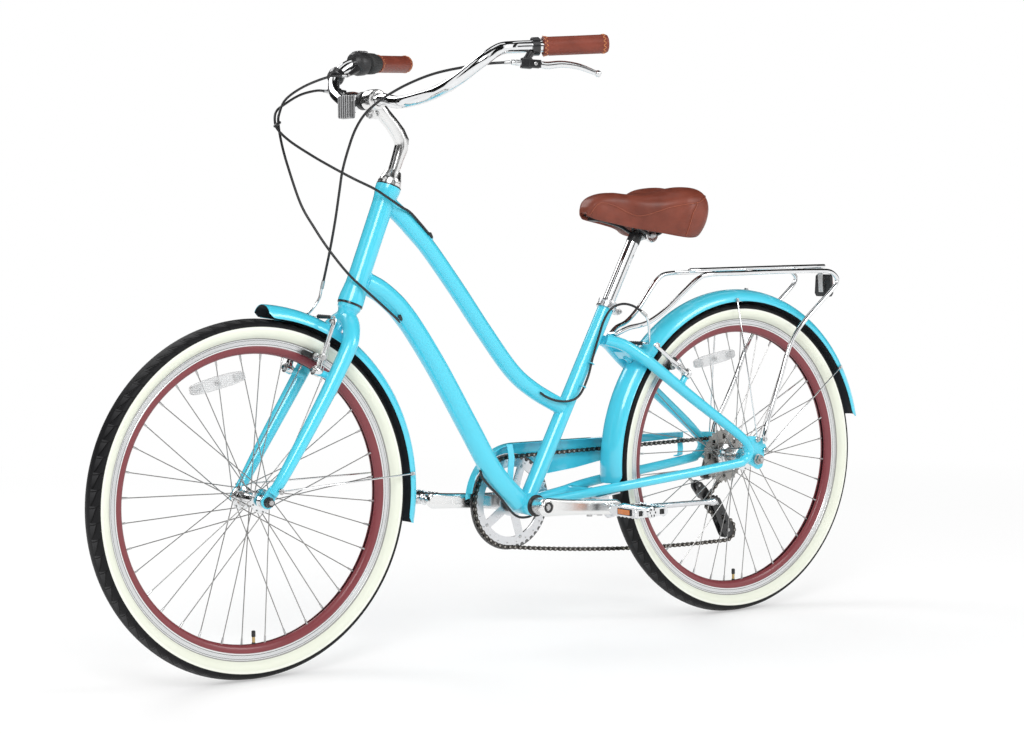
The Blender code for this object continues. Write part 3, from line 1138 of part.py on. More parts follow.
def build_front_brake_cable():
    outer = cable(FRONT_BRAKE_ROUTE)
    noodle = bar(smooth([(0.9712, -0.0562, 0.6960), (0.9745, -0.0595, 0.6760), (0.9850, -0.0620, 0.6600),
                         (0.9990, -0.0600, 0.6480), (FRONT_WIRE.x - 0.0010, -0.0520, FRONT_WIRE.z),
                         (FRONT_WIRE.x, -0.0420, FRONT_WIRE.z), (FRONT_WIRE.x, -0.0300, FRONT_WIRE.z)], 1),
                 0.0030, 6, side=FORWARD)
    return weld(outer, noodle, across_wheel(FRONT_WIRE, -0.0310, 0.0500, -0.0030, 0.0340))


def build_rear_brake_cable():
    outer = cable(REAR_BRAKE_ROUTE)
    noodle = bar(smooth([(0.2860, 0.0574, 0.6275), (0.2785, 0.0560, 0.6135), (0.2710, 0.0490, 0.5910),
                         (0.2640, 0.0400, 0.5740), (REAR_WIRE.x, 0.0310, REAR_WIRE.z),
                         (REAR_WIRE.x, 0.0200, REAR_WIRE.z)], 1), 0.0030, 6, side=FORWARD)
    return weld(outer, noodle, across_wheel(REAR_WIRE, 0.0210, -0.0500, 0.0160, -0.0250))


def build_steering_cables():
    """Brake and shift housings, held side by side by a small tie."""
    brake = cable(STEER_BRAKE_ROUTE)
    shift = cable(STEER_SHIFT_ROUTE)
    tie = bar([(1.0190, -0.1330, 0.9940), (1.0080, -0.1400, 1.0000)], 0.0050, 6)
    return weld(brake, shift, tie)


# Assembly
pivot("bicycle", (0, 0, 0))
pivot("rear_wheel_pivot", REAR_HUB, "bicycle")
pivot("freewheel_pivot", REAR_HUB, "bicycle")
pivot("crank_pivot", CRANK_CENTRE, "bicycle")
pivot("kickstand_pivot", KICKSTAND_PIVOT, "bicycle")
pivot("seat_post_slide", CRANK_CENTRE + SEAT_UP * SEAT_TUBE_LENGTH, "bicycle")
pivot("saddle_pivot", SADDLE_PIVOT, "seat_post_slide")
pivot("steering_pivot", HEAD_TOP, "bicycle")
pivot("front_wheel_pivot", FRONT_HUB, "steering_pivot")
pivot("derailleur_slide", GUIDE_PULLEY, "bicycle")
pivot("cage_pivot", GUIDE_PULLEY, "derailleur_slide")
pivot("guide_pulley_pivot", GUIDE_PULLEY, "cage_pivot")
pivot("tension_pulley_pivot", TENSION_PULLEY, "cage_pivot")

place("frame", build_frame(), PAINT)
place("seat_clamp", build_seat_clamp(), "satin_alloy")
place("bottom_bracket", build_bottom_bracket(), "black_plastic")
place("rear_axle", build_rear_axle(), "grey_steel")
place("rear_fender", build_guard(REAR_HUB, REAR_GUARD_ARC, REAR_GUARD_ARC[1]), PAINT)
place("rear_fender_stay_upper", build_guard_stay(REAR_HUB, (0.0000, 0.0748, 0.3640), 87.0,
                                                 REAR_GUARD_ARC[1]), "chrome")
place("rear_fender_stay_lower", build_guard_stay(REAR_HUB, (-0.0225, 0.0748, 0.3400), 148.0,
                                                 REAR_GUARD_ARC[1]), "chrome")
place("rear_rack", build_rack(), "chrome")
place("rack_reflector", build_rack_reflector(), "red_lens")
place("chain_guard", build_chain_guard(), PAINT)
place("chain", build_chain(), "chain_steel")
place("kickstand_bracket", build_kickstand_bracket(), "satin_alloy")
place("kickstand_leg", build_kickstand_leg(), "satin_alloy", "kickstand_pivot")
place("derailleur_hanger", build_derailleur_hanger(), "grey_steel")
place("derailleur_body", build_derailleur_body(), "black_plastic", "derailleur_slide")
place("derailleur_cage", build_derailleur_cage(), "black_plastic", "cage_pivot")
place("guide_pulley", build_pulley(GUIDE_PULLEY), "black_plastic", "guide_pulley_pivot")
place("tension_pulley", build_pulley(TENSION_PULLEY), "black_plastic", "tension_pulley_pivot")
place("rear_brake_cable", build_rear_brake_cable(), "cable_black")
place("shift_cable", cable(SHIFT_ROUTE, steps=2), "cable_black")
place("steering_cables", build_steering_cables(), "cable_black")

place("seat_post", build_seat_post(), "chrome", "seat_post_slide")
place("saddle_rails", build_saddle_rails(), "black_plastic", "saddle_pivot")
place("saddle_cover", build_saddle_cover(), "brown_leather", "saddle_pivot")

build_wheels()
place("freewheel", build_freewheel(), "grey_steel", "freewheel_pivot")
place("crank_spindle", build_crank_spindle(), "grey_steel", "crank_pivot")
place("chainring", build_chainring(), "satin_alloy", "crank_pivot")
for side_name, side_sign in (("right", 1), ("left", -1)):
    pedal_at = CRANK_CENTRE + CRANK_AHEAD * CRANK_LENGTH * side_sign
    pivot(side_name + "_pedal_pivot", pedal_at, "crank_pivot")
    place(side_name + "_crank", crank_arm(side_sign), "satin_alloy", "crank_pivot")
    place(side_name + "_pedal", build_pedal(side_sign), "satin_alloy", side_name + "_pedal_pivot")

place("fork", build_fork(), PAINT, "steering_pivot")
place("headset_locknut", build_locknut(), "satin_alloy", "steering_pivot")
place("stem", build_stem(), "satin_alloy", "steering_pivot")
place("handlebar", build_handlebar(), "chrome", "steering_pivot")
place("left_grip", build_grip(1), "brown_leather", "steering_pivot")
place("right_grip", build_grip(-1), "brown_leather", "steering_pivot")
place("front_axle", build_front_axle(), "grey_steel", "steering_pivot")
place("front_fender", build_front_guard(), PAINT, "steering_pivot")
place("front_fender_stay", build_guard_stay(FRONT_HUB, (1.1420, 0.0750, 0.3420), 175.5,
                                            FRONT_GUARD_ARC[1]), "chrome", "steering_pivot")
place("front_reflector", build_front_reflector(), "clear_lens", "steering_pivot")
place("front_brake_cable", build_front_brake_cable(), "cable_black", "steering_pivot")

left_heading = (GRIP_START - Vector((0.7515, 0.2472, 1.1250))).normalized()
right_heading = Vector((-0.663, -0.470, 0.583)).normalized()
for side_name, side_sign, clamp_at, band_heading, housing_at in (
        ("left", 1, LEFT_CLAMP_AT, left_heading, LEFT_HOUSING),
        ("right", -1, RIGHT_CLAMP_AT, right_heading, RIGHT_HOUSING)):
    clamp_mesh, lever_mesh, hinge_at, hinge_axis = lever_parts(side_sign, clamp_at, band_heading, housing_at)
    clamp_mesh = cut(clamp_mesh, bar_bore(side_sign, clamp_at.x - 0.02, clamp_at.x + 0.02))
    pivot(side_name + "_lever_pivot", hinge_at, "steering_pivot")
    place(side_name + "_lever_clamp", clamp_mesh, "black_plastic", "steering_pivot")
    place(side_name + "_brake_lever", lever_mesh, "satin_alloy", side_name + "_lever_pivot")

shift_sleeve, shift_housing, shift_trim, shift_snout = build_shifter()
pivot("shifter_pivot", grip_line(-1)[0], "steering_pivot")
place("shifter_grip", shift_sleeve, "black_plastic", "shifter_pivot")
shift_housing = cut(weld(shift_housing, shift_snout), shift_trim, bar_bore(-1, 0.74, 0.80))
place("shifter_housing", shift_housing, "black_plastic", "steering_pivot")

for end_name, brake_seat, arm_up, arm_out, wheel_hub, arm_length, carrier_name in (
        ("front", FRONT_BRAKE_SEAT, HEAD_UP, HEAD_AHEAD, FRONT_HUB, FRONT_ARM_LENGTH, "steering_pivot"),
        ("rear", REAR_BRAKE_SEAT, REAR_STAY_UP, REAR_STAY_BACK, REAR_HUB, REAR_ARM_LENGTH, "bicycle")):
    for side_name, side_sign in (("left", 1), ("right", -1)):
        arm_at = Vector((brake_seat.x, brake_seat.y * side_sign, brake_seat.z)) + arm_out * BRAKE_PIVOT_OUT
        arm_name = end_name + "_brake_arm_" + side_name
        pivot(arm_name + "_pivot", arm_at, carrier_name)
        place(arm_name, build_brake_arm(brake_seat, arm_up, arm_out, wheel_hub, arm_length, side_sign),
              "satin_alloy", arm_name + "_pivot")
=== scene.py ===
import math

import bmesh
import bpy
from mathutils import Matrix, Vector


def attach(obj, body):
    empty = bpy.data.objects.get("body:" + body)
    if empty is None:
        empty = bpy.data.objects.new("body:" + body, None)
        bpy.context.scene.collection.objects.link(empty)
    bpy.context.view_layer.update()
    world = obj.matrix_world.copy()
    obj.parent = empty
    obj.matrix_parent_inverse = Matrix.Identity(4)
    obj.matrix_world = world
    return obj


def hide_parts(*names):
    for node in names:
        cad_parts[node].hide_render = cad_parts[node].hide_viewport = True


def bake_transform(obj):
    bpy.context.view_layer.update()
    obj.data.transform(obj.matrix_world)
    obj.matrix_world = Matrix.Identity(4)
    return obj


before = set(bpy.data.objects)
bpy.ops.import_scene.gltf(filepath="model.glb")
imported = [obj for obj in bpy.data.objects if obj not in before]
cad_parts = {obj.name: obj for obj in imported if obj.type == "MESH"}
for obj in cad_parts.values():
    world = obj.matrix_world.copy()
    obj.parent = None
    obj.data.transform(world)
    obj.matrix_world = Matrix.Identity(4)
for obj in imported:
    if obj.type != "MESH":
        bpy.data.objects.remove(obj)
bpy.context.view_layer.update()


def xyz(x, y, z):
    return Vector((x, y, z))


# Lengths in metres, +X forward, +Y to the rider's left, from the ground under the rear axle.
LENGTH_CENTRE = 0.5625
WHEEL_RADIUS = 0.323
REAR_HUB = xyz(0.0, 0.0, WHEEL_RADIUS)
FRONT_HUB = xyz(1.1588, 0.0, WHEEL_RADIUS)
CRANK_CENTRE = xyz(0.546, 0.0, 0.2665)
DRIVE_SIDE = xyz(0.0, -1.0, 0.0)
LEFT = xyz(0.0, 1.0, 0.0)
AHEAD = xyz(1.0, 0.0, 0.0)
UP = xyz(0.0, 0.0, 1.0)
SIDES = (("left", 1), ("right", -1))
HEAD_TOP = xyz(0.859, 0.0, 0.88)
HEAD_LENGTH = 0.23
HEAD_UP = xyz(-0.376, 0.0, 0.9266).normalized()
HEAD_AHEAD = xyz(HEAD_UP.z, 0.0, -HEAD_UP.x)
HEAD_BOTTOM = HEAD_TOP - HEAD_UP * HEAD_LENGTH
SEAT_ANGLE = math.radians(61.5)
SEAT_UP = xyz(-math.cos(SEAT_ANGLE), 0.0, math.sin(SEAT_ANGLE))
SEAT_BACK = xyz(-SEAT_UP.z, 0.0, SEAT_UP.x)
SADDLE_PIVOT = xyz(0.243, 0.0, 0.787)
CRANK_LENGTH = 0.17
CRANK_TURN = math.radians(4.4)
CRANK_AHEAD = xyz(math.cos(CRANK_TURN), 0.0, math.sin(CRANK_TURN))
SPIDER_TURN = 37.8
TREAD_BLOCKS = 70
LINK_PITCH = 0.0127
CHAIN_LINE = 0.045
CHAINRING_TEETH = 44
COG_TEETH = (28, 24, 21, 18, 16, 14, 12)
PULLEY_TEETH = 11
GUIDE_PULLEY = xyz(0.012, 0.0, 0.222)
TENSION_PULLEY = xyz(-0.02, 0.0, 0.163)
STEM_CLAMP = xyz(0.89, 0.0, 1.0385)
BAR_BORE = 0.0119
GRIP_START = xyz(0.7062, 0.2685, 1.127)
GRIP_END = xyz(0.5965, 0.32, 1.133)


# Finishes
class Value:
    """A shader socket that takes part in ordinary sums."""

    def __init__(self, finish, socket):
        self.finish = finish
        self.socket = socket

    def maths(self, operation, *others):
        return self.finish.node("ShaderNodeMath", {"operation": operation}, dict(enumerate((self, *others))))

    def __add__(self, other):
        return self.maths("ADD", other)

    def __mul__(self, other):
        return self.maths("MULTIPLY", other)

    def __sub__(self, other):
        return self.maths("SUBTRACT", other)

    def __rsub__(self, other):
        return self.maths("MULTIPLY", -1.0) + other

    def __truediv__(self, other):
        return self.maths("DIVIDE", other)

    def __gt__(self, other):
        return self.maths("GREATER_THAN", other)

    def __lt__(self, other):
        return self.maths("LESS_THAN", other)

    def __abs__(self):
        return self.maths("ABSOLUTE")

    __radd__ = __add__
    __rmul__ = __mul__

    def between(self, low, high):
        """0 below low, 1 above high, straight between them."""
        return self.finish.node("ShaderNodeMapRange", {}, {0: self, 1: low, 2: high, 3: 0.0, 4: 1.0})


class Nodes:
    """A tree of shader nodes, all made by one method."""

    def __init__(self, tree):
        self.tree = tree

    def feed(self, socket, value):
        if isinstance(value, Value):
            self.tree.links.new(value.socket, socket)
        elif isinstance(value, tuple) and socket.type == "RGBA":
            socket.default_value = (*value[:3], 1.0)
        else:
            socket.default_value = value

    def node(self, kind, settings, sockets, output=0):
        node = self.tree.nodes.new(kind)
        for key, value in settings.items():
            setattr(node, key, value)
        for key, value in sockets.items():
            self.feed(node.inputs[key], value)
        return Value(self, node.outputs[output])

    def seen(self):
        """1 for rays that show the background: straight from the camera, or in metal or glass."""
        straight, glossy, through = [self.node("ShaderNodeLightPath", {}, {}, f"Is {ray} Ray")
                                     for ray in ("Camera", "Glossy", "Transmission")]
        return straight.maths("MAXIMUM", glossy).maths("MAXIMUM", through)


class Finish(Nodes):
    """A material with its shader's plain values."""

    def __init__(self, name, **plain):
        self.material = bpy.data.materials.new(name)
        self.material.use_nodes = True
        super().__init__(self.material.node_tree)
        self.shader = self.tree.nodes["Principled BSDF"]
        self.apply(plain)

    def apply(self, values):
        for key, value in values.items():
            self.feed(self.shader.inputs[key.replace("_", " ").title().replace("Ior", "IOR")], value)

    def place(self, stretch=(1.0, 1.0, 1.0)):
        at = self.node("ShaderNodeTexCoord", {}, {}, "Object")
        return self.node("ShaderNodeVectorMath", {"operation": "MULTIPLY_ADD"},
                         {0: at, 1: stretch, 2: (0.0, 0.0, 0.0)})

    def axes(self, at):
        return [self.node("ShaderNodeSeparateXYZ", {}, {0: at}, k) for k in range(3)]

    def grain(self, scale, detail=2.0, at=None):
        return self.node("ShaderNodeTexNoise", {}, {"Vector": at or self.place(), "Scale": scale, "Detail": detail})

    def cells(self, scale, feature):
        return self.node("ShaderNodeTexVoronoi", {"feature": feature}, {"Vector": self.place(), "Scale": scale})

    def tint(self, factor, low, high):
        return self.node("ShaderNodeMix", {"data_type": "RGBA"}, {0: factor, 6: low, 7: high}, 2)

    def relief(self, height, depth, strength):
        bump = self.node("ShaderNodeBump", {}, {"Height": height, "Distance": depth, "Strength": strength})
        self.feed(self.shader.inputs["Normal"], bump)


def gloss_paint(name, colour, deep):
    finish = Finish(name, coat_weight=1.0, coat_roughness=0.03, roughness=0.32)
    finish.apply({"base_color": finish.tint(finish.grain(7.0, 3.0), deep, colour)})
    finish.relief(finish.grain(60.0), 0.00025, 0.05)
    return finish.material


def bright_metal(name, colour, roughness, spread, stretch=(1.0, 1.0, 1.0), scale=90.0, pits=0.0):
    """Polished or brushed metal; stretch draws the grain out along one direction."""
    finish = Finish(name, metallic=1.0)
    streaks = finish.grain(scale, 4.0, finish.place(stretch))
    dull = tuple(c * 0.86 for c in colour)
    finish.apply({"base_color": finish.tint(streaks, dull, colour), "roughness": streaks * spread + roughness})
    if pits:
        finish.relief(finish.grain(1400.0, 3.0), 0.0002, pits)
    return finish.material


def moulded(name, colour, roughness, texture=0.15, scale=1300.0, **plain):
    finish = Finish(name, **plain)
    speck = finish.grain(scale, 3.0)
    finish.apply({"base_color": finish.tint(finish.grain(25.0), colour, tuple(c * 1.5 + 0.004 for c in colour)),
                  "roughness": finish.grain(60.0, 3.0) * 0.18 + roughness})
    finish.relief(speck, 0.0003, texture)
    return finish.material


def grained_leather(name, colour, worn):
    finish = Finish(name, coat_weight=0.22, coat_roughness=0.28, specular_ior_level=0.3)
    cloud = finish.grain(26.0, 5.0)
    pores = finish.cells(850.0, "DISTANCE_TO_EDGE")
    finish.apply({"base_color": finish.tint(cloud.between(0.32, 0.72), worn, colour),
                  "roughness": cloud * 0.22 + 0.34})
    finish.relief(pores.between(0.0, 0.16) + finish.grain(1900.0) * 0.4, 0.00022, 0.35)
    return finish.material


def ring_place(finish, hub):
    """Distance from a wheel's axis, angle round it and height across the wheel."""
    x, y, z = finish.axes(finish.place())
    x = x - (hub.x - LENGTH_CENTRE)
    z = z - hub.z
    return (x * x + z * z).maths("SQRT"), z.maths("ARCTAN2", x), y


def tyre_rubber(name, hub):
    """Black tread with a row of leaf-shaped blocks on each shoulder, and a cream band on each wall; the blocks and
    the lip are painted lighter as painted highlight, the grooves near-black as painted shade.
    """
    finish = Finish(name, specular_ior_level=0.2)
    radius, angle, height = ring_place(finish, hub)
    left = height > 0.0
    turn = angle * (TREAD_BLOCKS / (2 * math.pi)) + left * 0.5 + 100.0
    step = turn.maths("FRACT")
    down = (WHEEL_RADIUS - radius) / 0.014
    below_leaf = down - (step * 0.4 + 0.14)
    hook = (turn - down.maths("POWER", 1.5) * 0.32 + 0.16).maths("FRACT")
    groove = abs(below_leaf).between(0.055, 0.015) * (step < 0.9)
    groove = groove.maths("MAXIMUM", abs(hook - 0.5).between(0.462, 0.485) * (down > 0.1) * (down < 0.86))
    leaf = (below_leaf < 0.0) * step.between(0.1, 0.9) * (down > 0.1)
    lip = abs(down - 0.97).between(0.05, 0.02)
    tread = 1.0 - (down > 1.03)
    band = radius.between(0.2884, 0.2887) * (1.0 - radius.between(0.3086, 0.309))
    pale = radius.between(0.3035, 0.3045)
    cloud = finish.grain(9.0, 3.0)
    # Painted highlight: the leaf blocks and the lip are lighter, as light falls on their facets.
    rubber = finish.tint(tread * (leaf * 0.8 + lip * 0.5), (0.008, 0.008, 0.009), (0.042, 0.042, 0.044))
    # Painted shade: the grooves are near-black.
    rubber = finish.tint(groove * tread, rubber, (0.002, 0.002, 0.002))
    cream = finish.tint(cloud * 0.6 + pale * 0.5, (0.74, 0.765, 0.64), (0.86, 0.875, 0.8))
    bead = finish.tint(radius.between(0.2868, 0.287), (0.1, 0.1, 0.1), (0.34, 0.34, 0.32))
    wall = finish.tint(radius > 0.299, bead, rubber)
    finish.apply({"base_color": finish.tint(band, wall, cream), "roughness": cloud * 0.2 + 0.48})
    ring = abs(radius - 0.304).between(0.0007, 0.0002) + abs(radius - 0.2915).between(0.0007, 0.0002)
    finish.relief(tread * (leaf * 0.5 - groove * 0.9 + lip * 0.3) - ring * 0.12 * band, 0.0012, 0.9)
    return finish.material


def rim_finish(name, hub):
    """Painted inner band and a turned brake track between two fine grooves, darkened as painted shade."""
    finish = Finish(name, specular_ior_level=0.35)
    radius, angle, _ = ring_place(finish, hub)
    track = radius.between(0.2741, 0.2744)
    cloud = finish.grain(14.0, 3.0)
    paint = finish.tint(cloud, (0.185, 0.036, 0.043), (0.225, 0.046, 0.054))
    pads = (radius > 0.2778) * (radius < 0.2842)
    hatch = ((angle * (900 / math.pi) + radius * 2400.0).maths("SINE") * 0.5 + 0.5) * pads
    metal = finish.tint(hatch * 0.8 + pads * 0.2, (0.88, 0.885, 0.89), (0.6, 0.61, 0.62))
    # Painted shade: the two fine grooves in the track are darkened.
    line = abs(radius - 0.2773).between(0.0006, 0.0003) + abs(radius - 0.2845).between(0.0005, 0.0002)
    metal = finish.tint(line, metal, (0.16, 0.16, 0.16))
    finish.apply({"base_color": finish.tint(track, paint, metal), "metallic": track * 0.8,
                  "roughness": cloud * 0.06 + 0.32, "coat_weight": 0.25 - track * 0.25})
    finish.relief(hatch * track, 0.00008, 0.2)
    return finish.material


def lens(name, colour, pitch, alpha, across, deep=0.55, crossed=True):
    """Prismatic plastic: fine crossed ribs under a smooth skin, tinted darker and lighter in step with the ribs as
    painted shade and painted glints of the prism faces.
    """
    finish = Finish(name, coat_weight=1.0, coat_roughness=0.03, roughness=0.16, alpha=alpha)
    at = finish.axes(finish.place())
    ribs = (at[across] * (2 * math.pi / pitch)).maths("SINE") * (1.0 if crossed else 2.0)
    if crossed:
        ribs = ribs + (at[2] * (2 * math.pi / pitch)).maths("SINE")
    # Painted shade and painted glints: the colour darkens and lightens with the ribs.
    finish.apply({"base_color": finish.tint(ribs * 0.25 + 0.5, tuple(c * deep for c in colour), colour)})
    finish.relief(ribs, pitch * 0.2, 0.7)
    return finish.material


def smoked_plastic(name, colour, deep):
    finish = Finish(name, coat_weight=1.0, coat_roughness=0.05, roughness=0.2, alpha=0.72)
    finish.apply({"base_color": finish.tint(finish.grain(12.0), deep, colour)})
    return finish.material


PAINT = gloss_paint("turquoise", (0.07, 0.64, 0.82), (0.06, 0.59, 0.77))
CHROME = bright_metal("chrome_plate", (0.9, 0.91, 0.92), 0.045, 0.05)
ALLOY = bright_metal("satin_aluminium", (0.8, 0.81, 0.83), 0.22, 0.14, pits=0.1)
BRIGHT = bright_metal("polished_aluminium", (0.88, 0.89, 0.9), 0.1, 0.1, (1.0, 8.0, 8.0))
FORGED = bright_metal("forged_aluminium", (0.92, 0.92, 0.915), 0.17, 0.1, (1.0, 8.0, 8.0))
STEEL = bright_metal("zinc_steel", (0.6, 0.6, 0.6), 0.26, 0.18, pits=0.15)
SPOKE_STEEL = bright_metal("spoke_wire", (0.36, 0.355, 0.35), 0.3, 0.12)
COG_STEEL = bright_metal("cog_steel", (0.42, 0.41, 0.39), 0.28, 0.2)
CHAIN_STEEL = bright_metal("oiled_chain", (0.085, 0.078, 0.072), 0.32, 0.25, scale=300.0, pits=0.2)
PIN_STEEL = bright_metal("worn_pins", (0.42, 0.4, 0.37), 0.25, 0.2, scale=300.0)
BLACK = moulded("black_plastic_moulding", (0.014, 0.014, 0.015), 0.32)
SATIN_BLACK = moulded("black_enamel", (0.012, 0.012, 0.013), 0.2, 0.06, coat_weight=0.4)
RUBBER = moulded("soft_rubber", (0.018, 0.018, 0.018), 0.55, 0.3, 700.0)
CABLE = moulded("cable_sleeve", (0.01, 0.01, 0.011), 0.28, 0.05)
LEATHER = grained_leather("brown_cover", (0.225, 0.05, 0.027), (0.15, 0.03, 0.015))
GRIP_LEATHER = grained_leather("grip_cover", (0.235, 0.048, 0.027), (0.165, 0.032, 0.017))
THREAD = moulded("tan_thread", (0.52, 0.2, 0.075), 0.6, 0.5, 2600.0)
SEAM = grained_leather("seam_fold", (0.31, 0.08, 0.041), (0.25, 0.06, 0.03))
CLEAR = lens("clear_lens_moulding", (0.93, 0.94, 0.95), 0.0032, 0.42, 0)
RIBBED = lens("silver_lens_moulding", (0.56, 0.56, 0.57), 0.0072, 1.0, 1, 0.14, False)
RED = lens("red_lens_moulding", (0.3, 0.008, 0.008), 0.0026, 1.0, 1)
AMBER = lens("amber_lens_moulding", (0.95, 0.24, 0.012), 0.0024, 1.0, 1)
# Painted shade: the mudguards' inner skin is the same turquoise in shadow, given a dark teal.
UNDERSIDE_PAINTED_SHADE = moulded("guard_underside_painted_shade", (0.01, 0.016, 0.022), 0.45, 0.1)
SMOKE = smoked_plastic("smoked_guard", (0.055, 0.055, 0.055), (0.03, 0.03, 0.03))
BRASS = bright_metal("brass_valve", (0.62, 0.45, 0.2), 0.25, 0.15)


# Shapes
def reworked(mesh, job):
    """Run one edit on a mesh."""
    work = bmesh.new()
    work.from_mesh(mesh)
    job(work)
    work.to_mesh(mesh)
    work.free()
    return mesh


def as_mesh(work):
    mesh = bpy.data.meshes.new("shape")
    work.to_mesh(mesh)
    work.free()
    return mesh


def skin(verts, faces):
    mesh = bpy.data.meshes.new("shape")
    mesh.from_pydata([tuple(v) for v in verts], [], faces)
    return mesh


def solid(verts, faces):
    return reworked(skin(verts, faces), lambda work: bmesh.ops.recalc_face_normals(work, faces=work.faces))


def across(axis, side):
    """Two unit vectors square to an axis and to each other."""
    along = Vector(axis).normalized()
    if side is None:
        side = UP if abs(along.z) < 0.9 else AHEAD
    first = (side - along * side.dot(along)).normalized()
    return first, along.cross(first)


def swung(first, second, angle):
    """The direction at an angle from the first towards the second."""
    return first * math.cos(angle) + second * math.sin(angle)


def half_steps(sides):
    """Angles round a full turn, half a step off zero."""
    return [2 * math.pi * (s + 0.5) / sides for s in range(sides)]


def loft(rings, closed=False):
    """A skin over rings of points of one length; an open row of rings is capped."""
    size = len(rings[0])
    verts = [v for ring in rings for v in ring]
    faces = []
    for k in range(len(rings) if closed else len(rings) - 1):
        here = k * size
        there = ((k + 1) % len(rings)) * size
        for i in range(size):
            j = (i + 1) % size
            faces.append((here + i, here + j, there + j, there + i))
    if not closed:
        faces += [tuple(reversed(range(size))), tuple(range(len(verts) - size, len(verts)))]
    return solid(verts, faces)


def curve_at(points, t):
    """A point at position t along a round curve through points one apart."""
    k = min(int(t), len(points) - 2)
    t -= k
    b, c = points[k], points[k + 1]
    a = points[k - 1] if k else b * 2 - c
    d = points[k + 2] if k + 2 < len(points) else c * 2 - b
    return 0.5 * ((2 * b) + (c - a) * t + (2 * a - 5 * b + 4 * c - d) * t * t + (3 * b - a - 3 * c + d) * t ** 3)


def smooth(points, steps):
    """A round curve through given points; a fourth number is the radius there."""
    given = [Vector(p) for p in points]
    return [curve_at(given, k + s / steps) for k in range(len(given) - 1) for s in range(steps)] + [given[-1]]


def with_radii(points, radii):
    return [(*p, r) for p, r in zip(points, radii)]


def tube(path, radius=0.0, sides=24, flat=1.0, side=LEFT, dome=0.0):
    """A round or oval rod along a path; dome rounds its ends by that share of the radius."""
    points = [Vector(p[:3]) for p in path]
    radii = [p[3] if len(p) == 4 else radius for p in path]
    if dome:
        for end, inner in ((0, points[1]), (-1, points[-2])):
            point, size = points[end], radii[end]
            way = (point - inner).normalized()
            for turn in (30, 60, 82):
                angle = math.radians(turn)
                place = len(points) if end else 0
                points.insert(place, point + way * size * dome * math.sin(angle))
                radii.insert(place, size * math.cos(angle))
    first = Vector(side)
    rings = []
    for k, point in enumerate(points):
        heading = (points[min(k + 1, len(points) - 1)] - points[max(k - 1, 0)]).normalized()
        first = (first - heading * first.dot(heading)).normalized()
        second = heading.cross(first) * flat
        rings.append([point + swung(first, second, turn) * radii[k] for turn in half_steps(sides)])
    return loft(rings)


def turned(profile, centre, axis, steps=48):
    """A closed profile of (radius, height) points turned about an axis."""
    first, second = across(axis, AHEAD)
    along = Vector(axis).normalized()
    outs = [swung(first, second, 2 * math.pi * k / steps) for k in range(steps)]
    return loft([[centre + out * r + along * h for r, h in profile] for out in outs], closed=True)


def spindle(profile, centre, axis, sides=32):
    """A solid of revolution from (radius, height) points, low end first."""
    first, second = across(axis, None)
    along = Vector(axis).normalized()
    return loft([[centre + along * height + swung(first, second, turn) * radius for turn in half_steps(sides)]
                 for radius, height in profile])


def knob(radius, low, high, centre, axis, sides=24, edge=0.0006):
    """A short cylinder with rounded rims."""
    rim = [(radius - edge, 0.0), (radius - edge * 0.3, edge * 0.3), (radius, edge)]
    return spindle([(r, low + h) for r, h in rim] + [(r, high - h) for r, h in reversed(rim)], centre, axis, sides)


def rod(at, radius, low, high, sides=20):
    """A plain round rod along the axles, also to cut a hole with."""
    return spindle([(radius, low), (radius, high)], at, DRIVE_SIDE, sides)


def both(half, crown=None):
    """Half a profile and its mirror image, with a point on the middle line between them."""
    return half + ([(crown, 0.0)] if crown is not None else []) + [(r, -h) for r, h in reversed(half)]


def scaled(outline, size):
    return [(a * size, b * size) for a, b in outline]


def prism(outline, origin, first, second, depth):
    low = [origin + first * a + second * b for a, b in outline]
    return loft([low, [v + depth for v in low]])


def plate(outline, inner, outer):
    """An upright plate: an outline of (x, z) points between two distances along Y."""
    return loft([[xyz(x, y, z) for x, z in outline] for y in (inner, outer)])


def block(centre, size, first=AHEAD, second=LEFT, edge=0.0):
    third = first.cross(second)
    half = [s / 2 for s in size]
    low = [centre + first * a * half[0] + second * b * half[1] - third * half[2]
           for a, b in ((-1, -1), (1, -1), (1, 1), (-1, 1))]
    mesh = loft([low, [v + third * size[2] for v in low]])
    return soften(mesh, edge) if edge else mesh


def capsule(start, start_radius, end, end_radius):
    """Outline round two circles in (x, z), a taper with round ends."""
    heading = math.degrees(math.atan2(end[1] - start[1], end[0] - start[0]))
    return (arc(end, end_radius, heading - 90, heading + 90, 12)
            + arc(start, start_radius, heading + 90, heading + 270, 12))


def soften(mesh, width, steps=2, angle=28):
    """Round every edge sharper than an angle."""
    def bevel(work):
        edges = [e for e in work.edges if len(e.link_faces) == 2 and e.calc_face_angle(0.0) > math.radians(angle)]
        bmesh.ops.bevel(work, geom=edges, offset=width, segments=steps, profile=0.6, affect="EDGES",
                        clamp_overlap=True)
    return reworked(mesh, bevel)


def mirrored(points):
    return [Vector((p[0], -p[1], *p[2:])) for p in points]


def to_side(point, sign):
    """The same place on the left side (1) or the right (-1)."""
    return xyz(point.x, point.y * sign, point.z)


def added(name, data):
    """Put an object into the scene."""
    made = bpy.data.objects.new(name, data)
    bpy.context.scene.collection.objects.link(made)
    return made


def combine(operation, first, others):
    """Join meshes into the first, or take them away from it."""
    body = added("body", first)
    tools = [added("tool", mesh) for mesh in others]
    for tool in tools:
        step = body.modifiers.new("step", "BOOLEAN")
        step.operation = operation
        step.solver = "EXACT"
        step.object = tool
    bpy.context.view_layer.update()
    result = bpy.data.meshes.new_from_object(body.evaluated_get(bpy.context.evaluated_depsgraph_get()))
    for item in [body] + tools:
        bpy.data.objects.remove(item, do_unlink=True)
    return result


def weld(first, *others):
    return combine("UNION", first, others)


def cut(first, *others):
    return combine("DIFFERENCE", first, others)


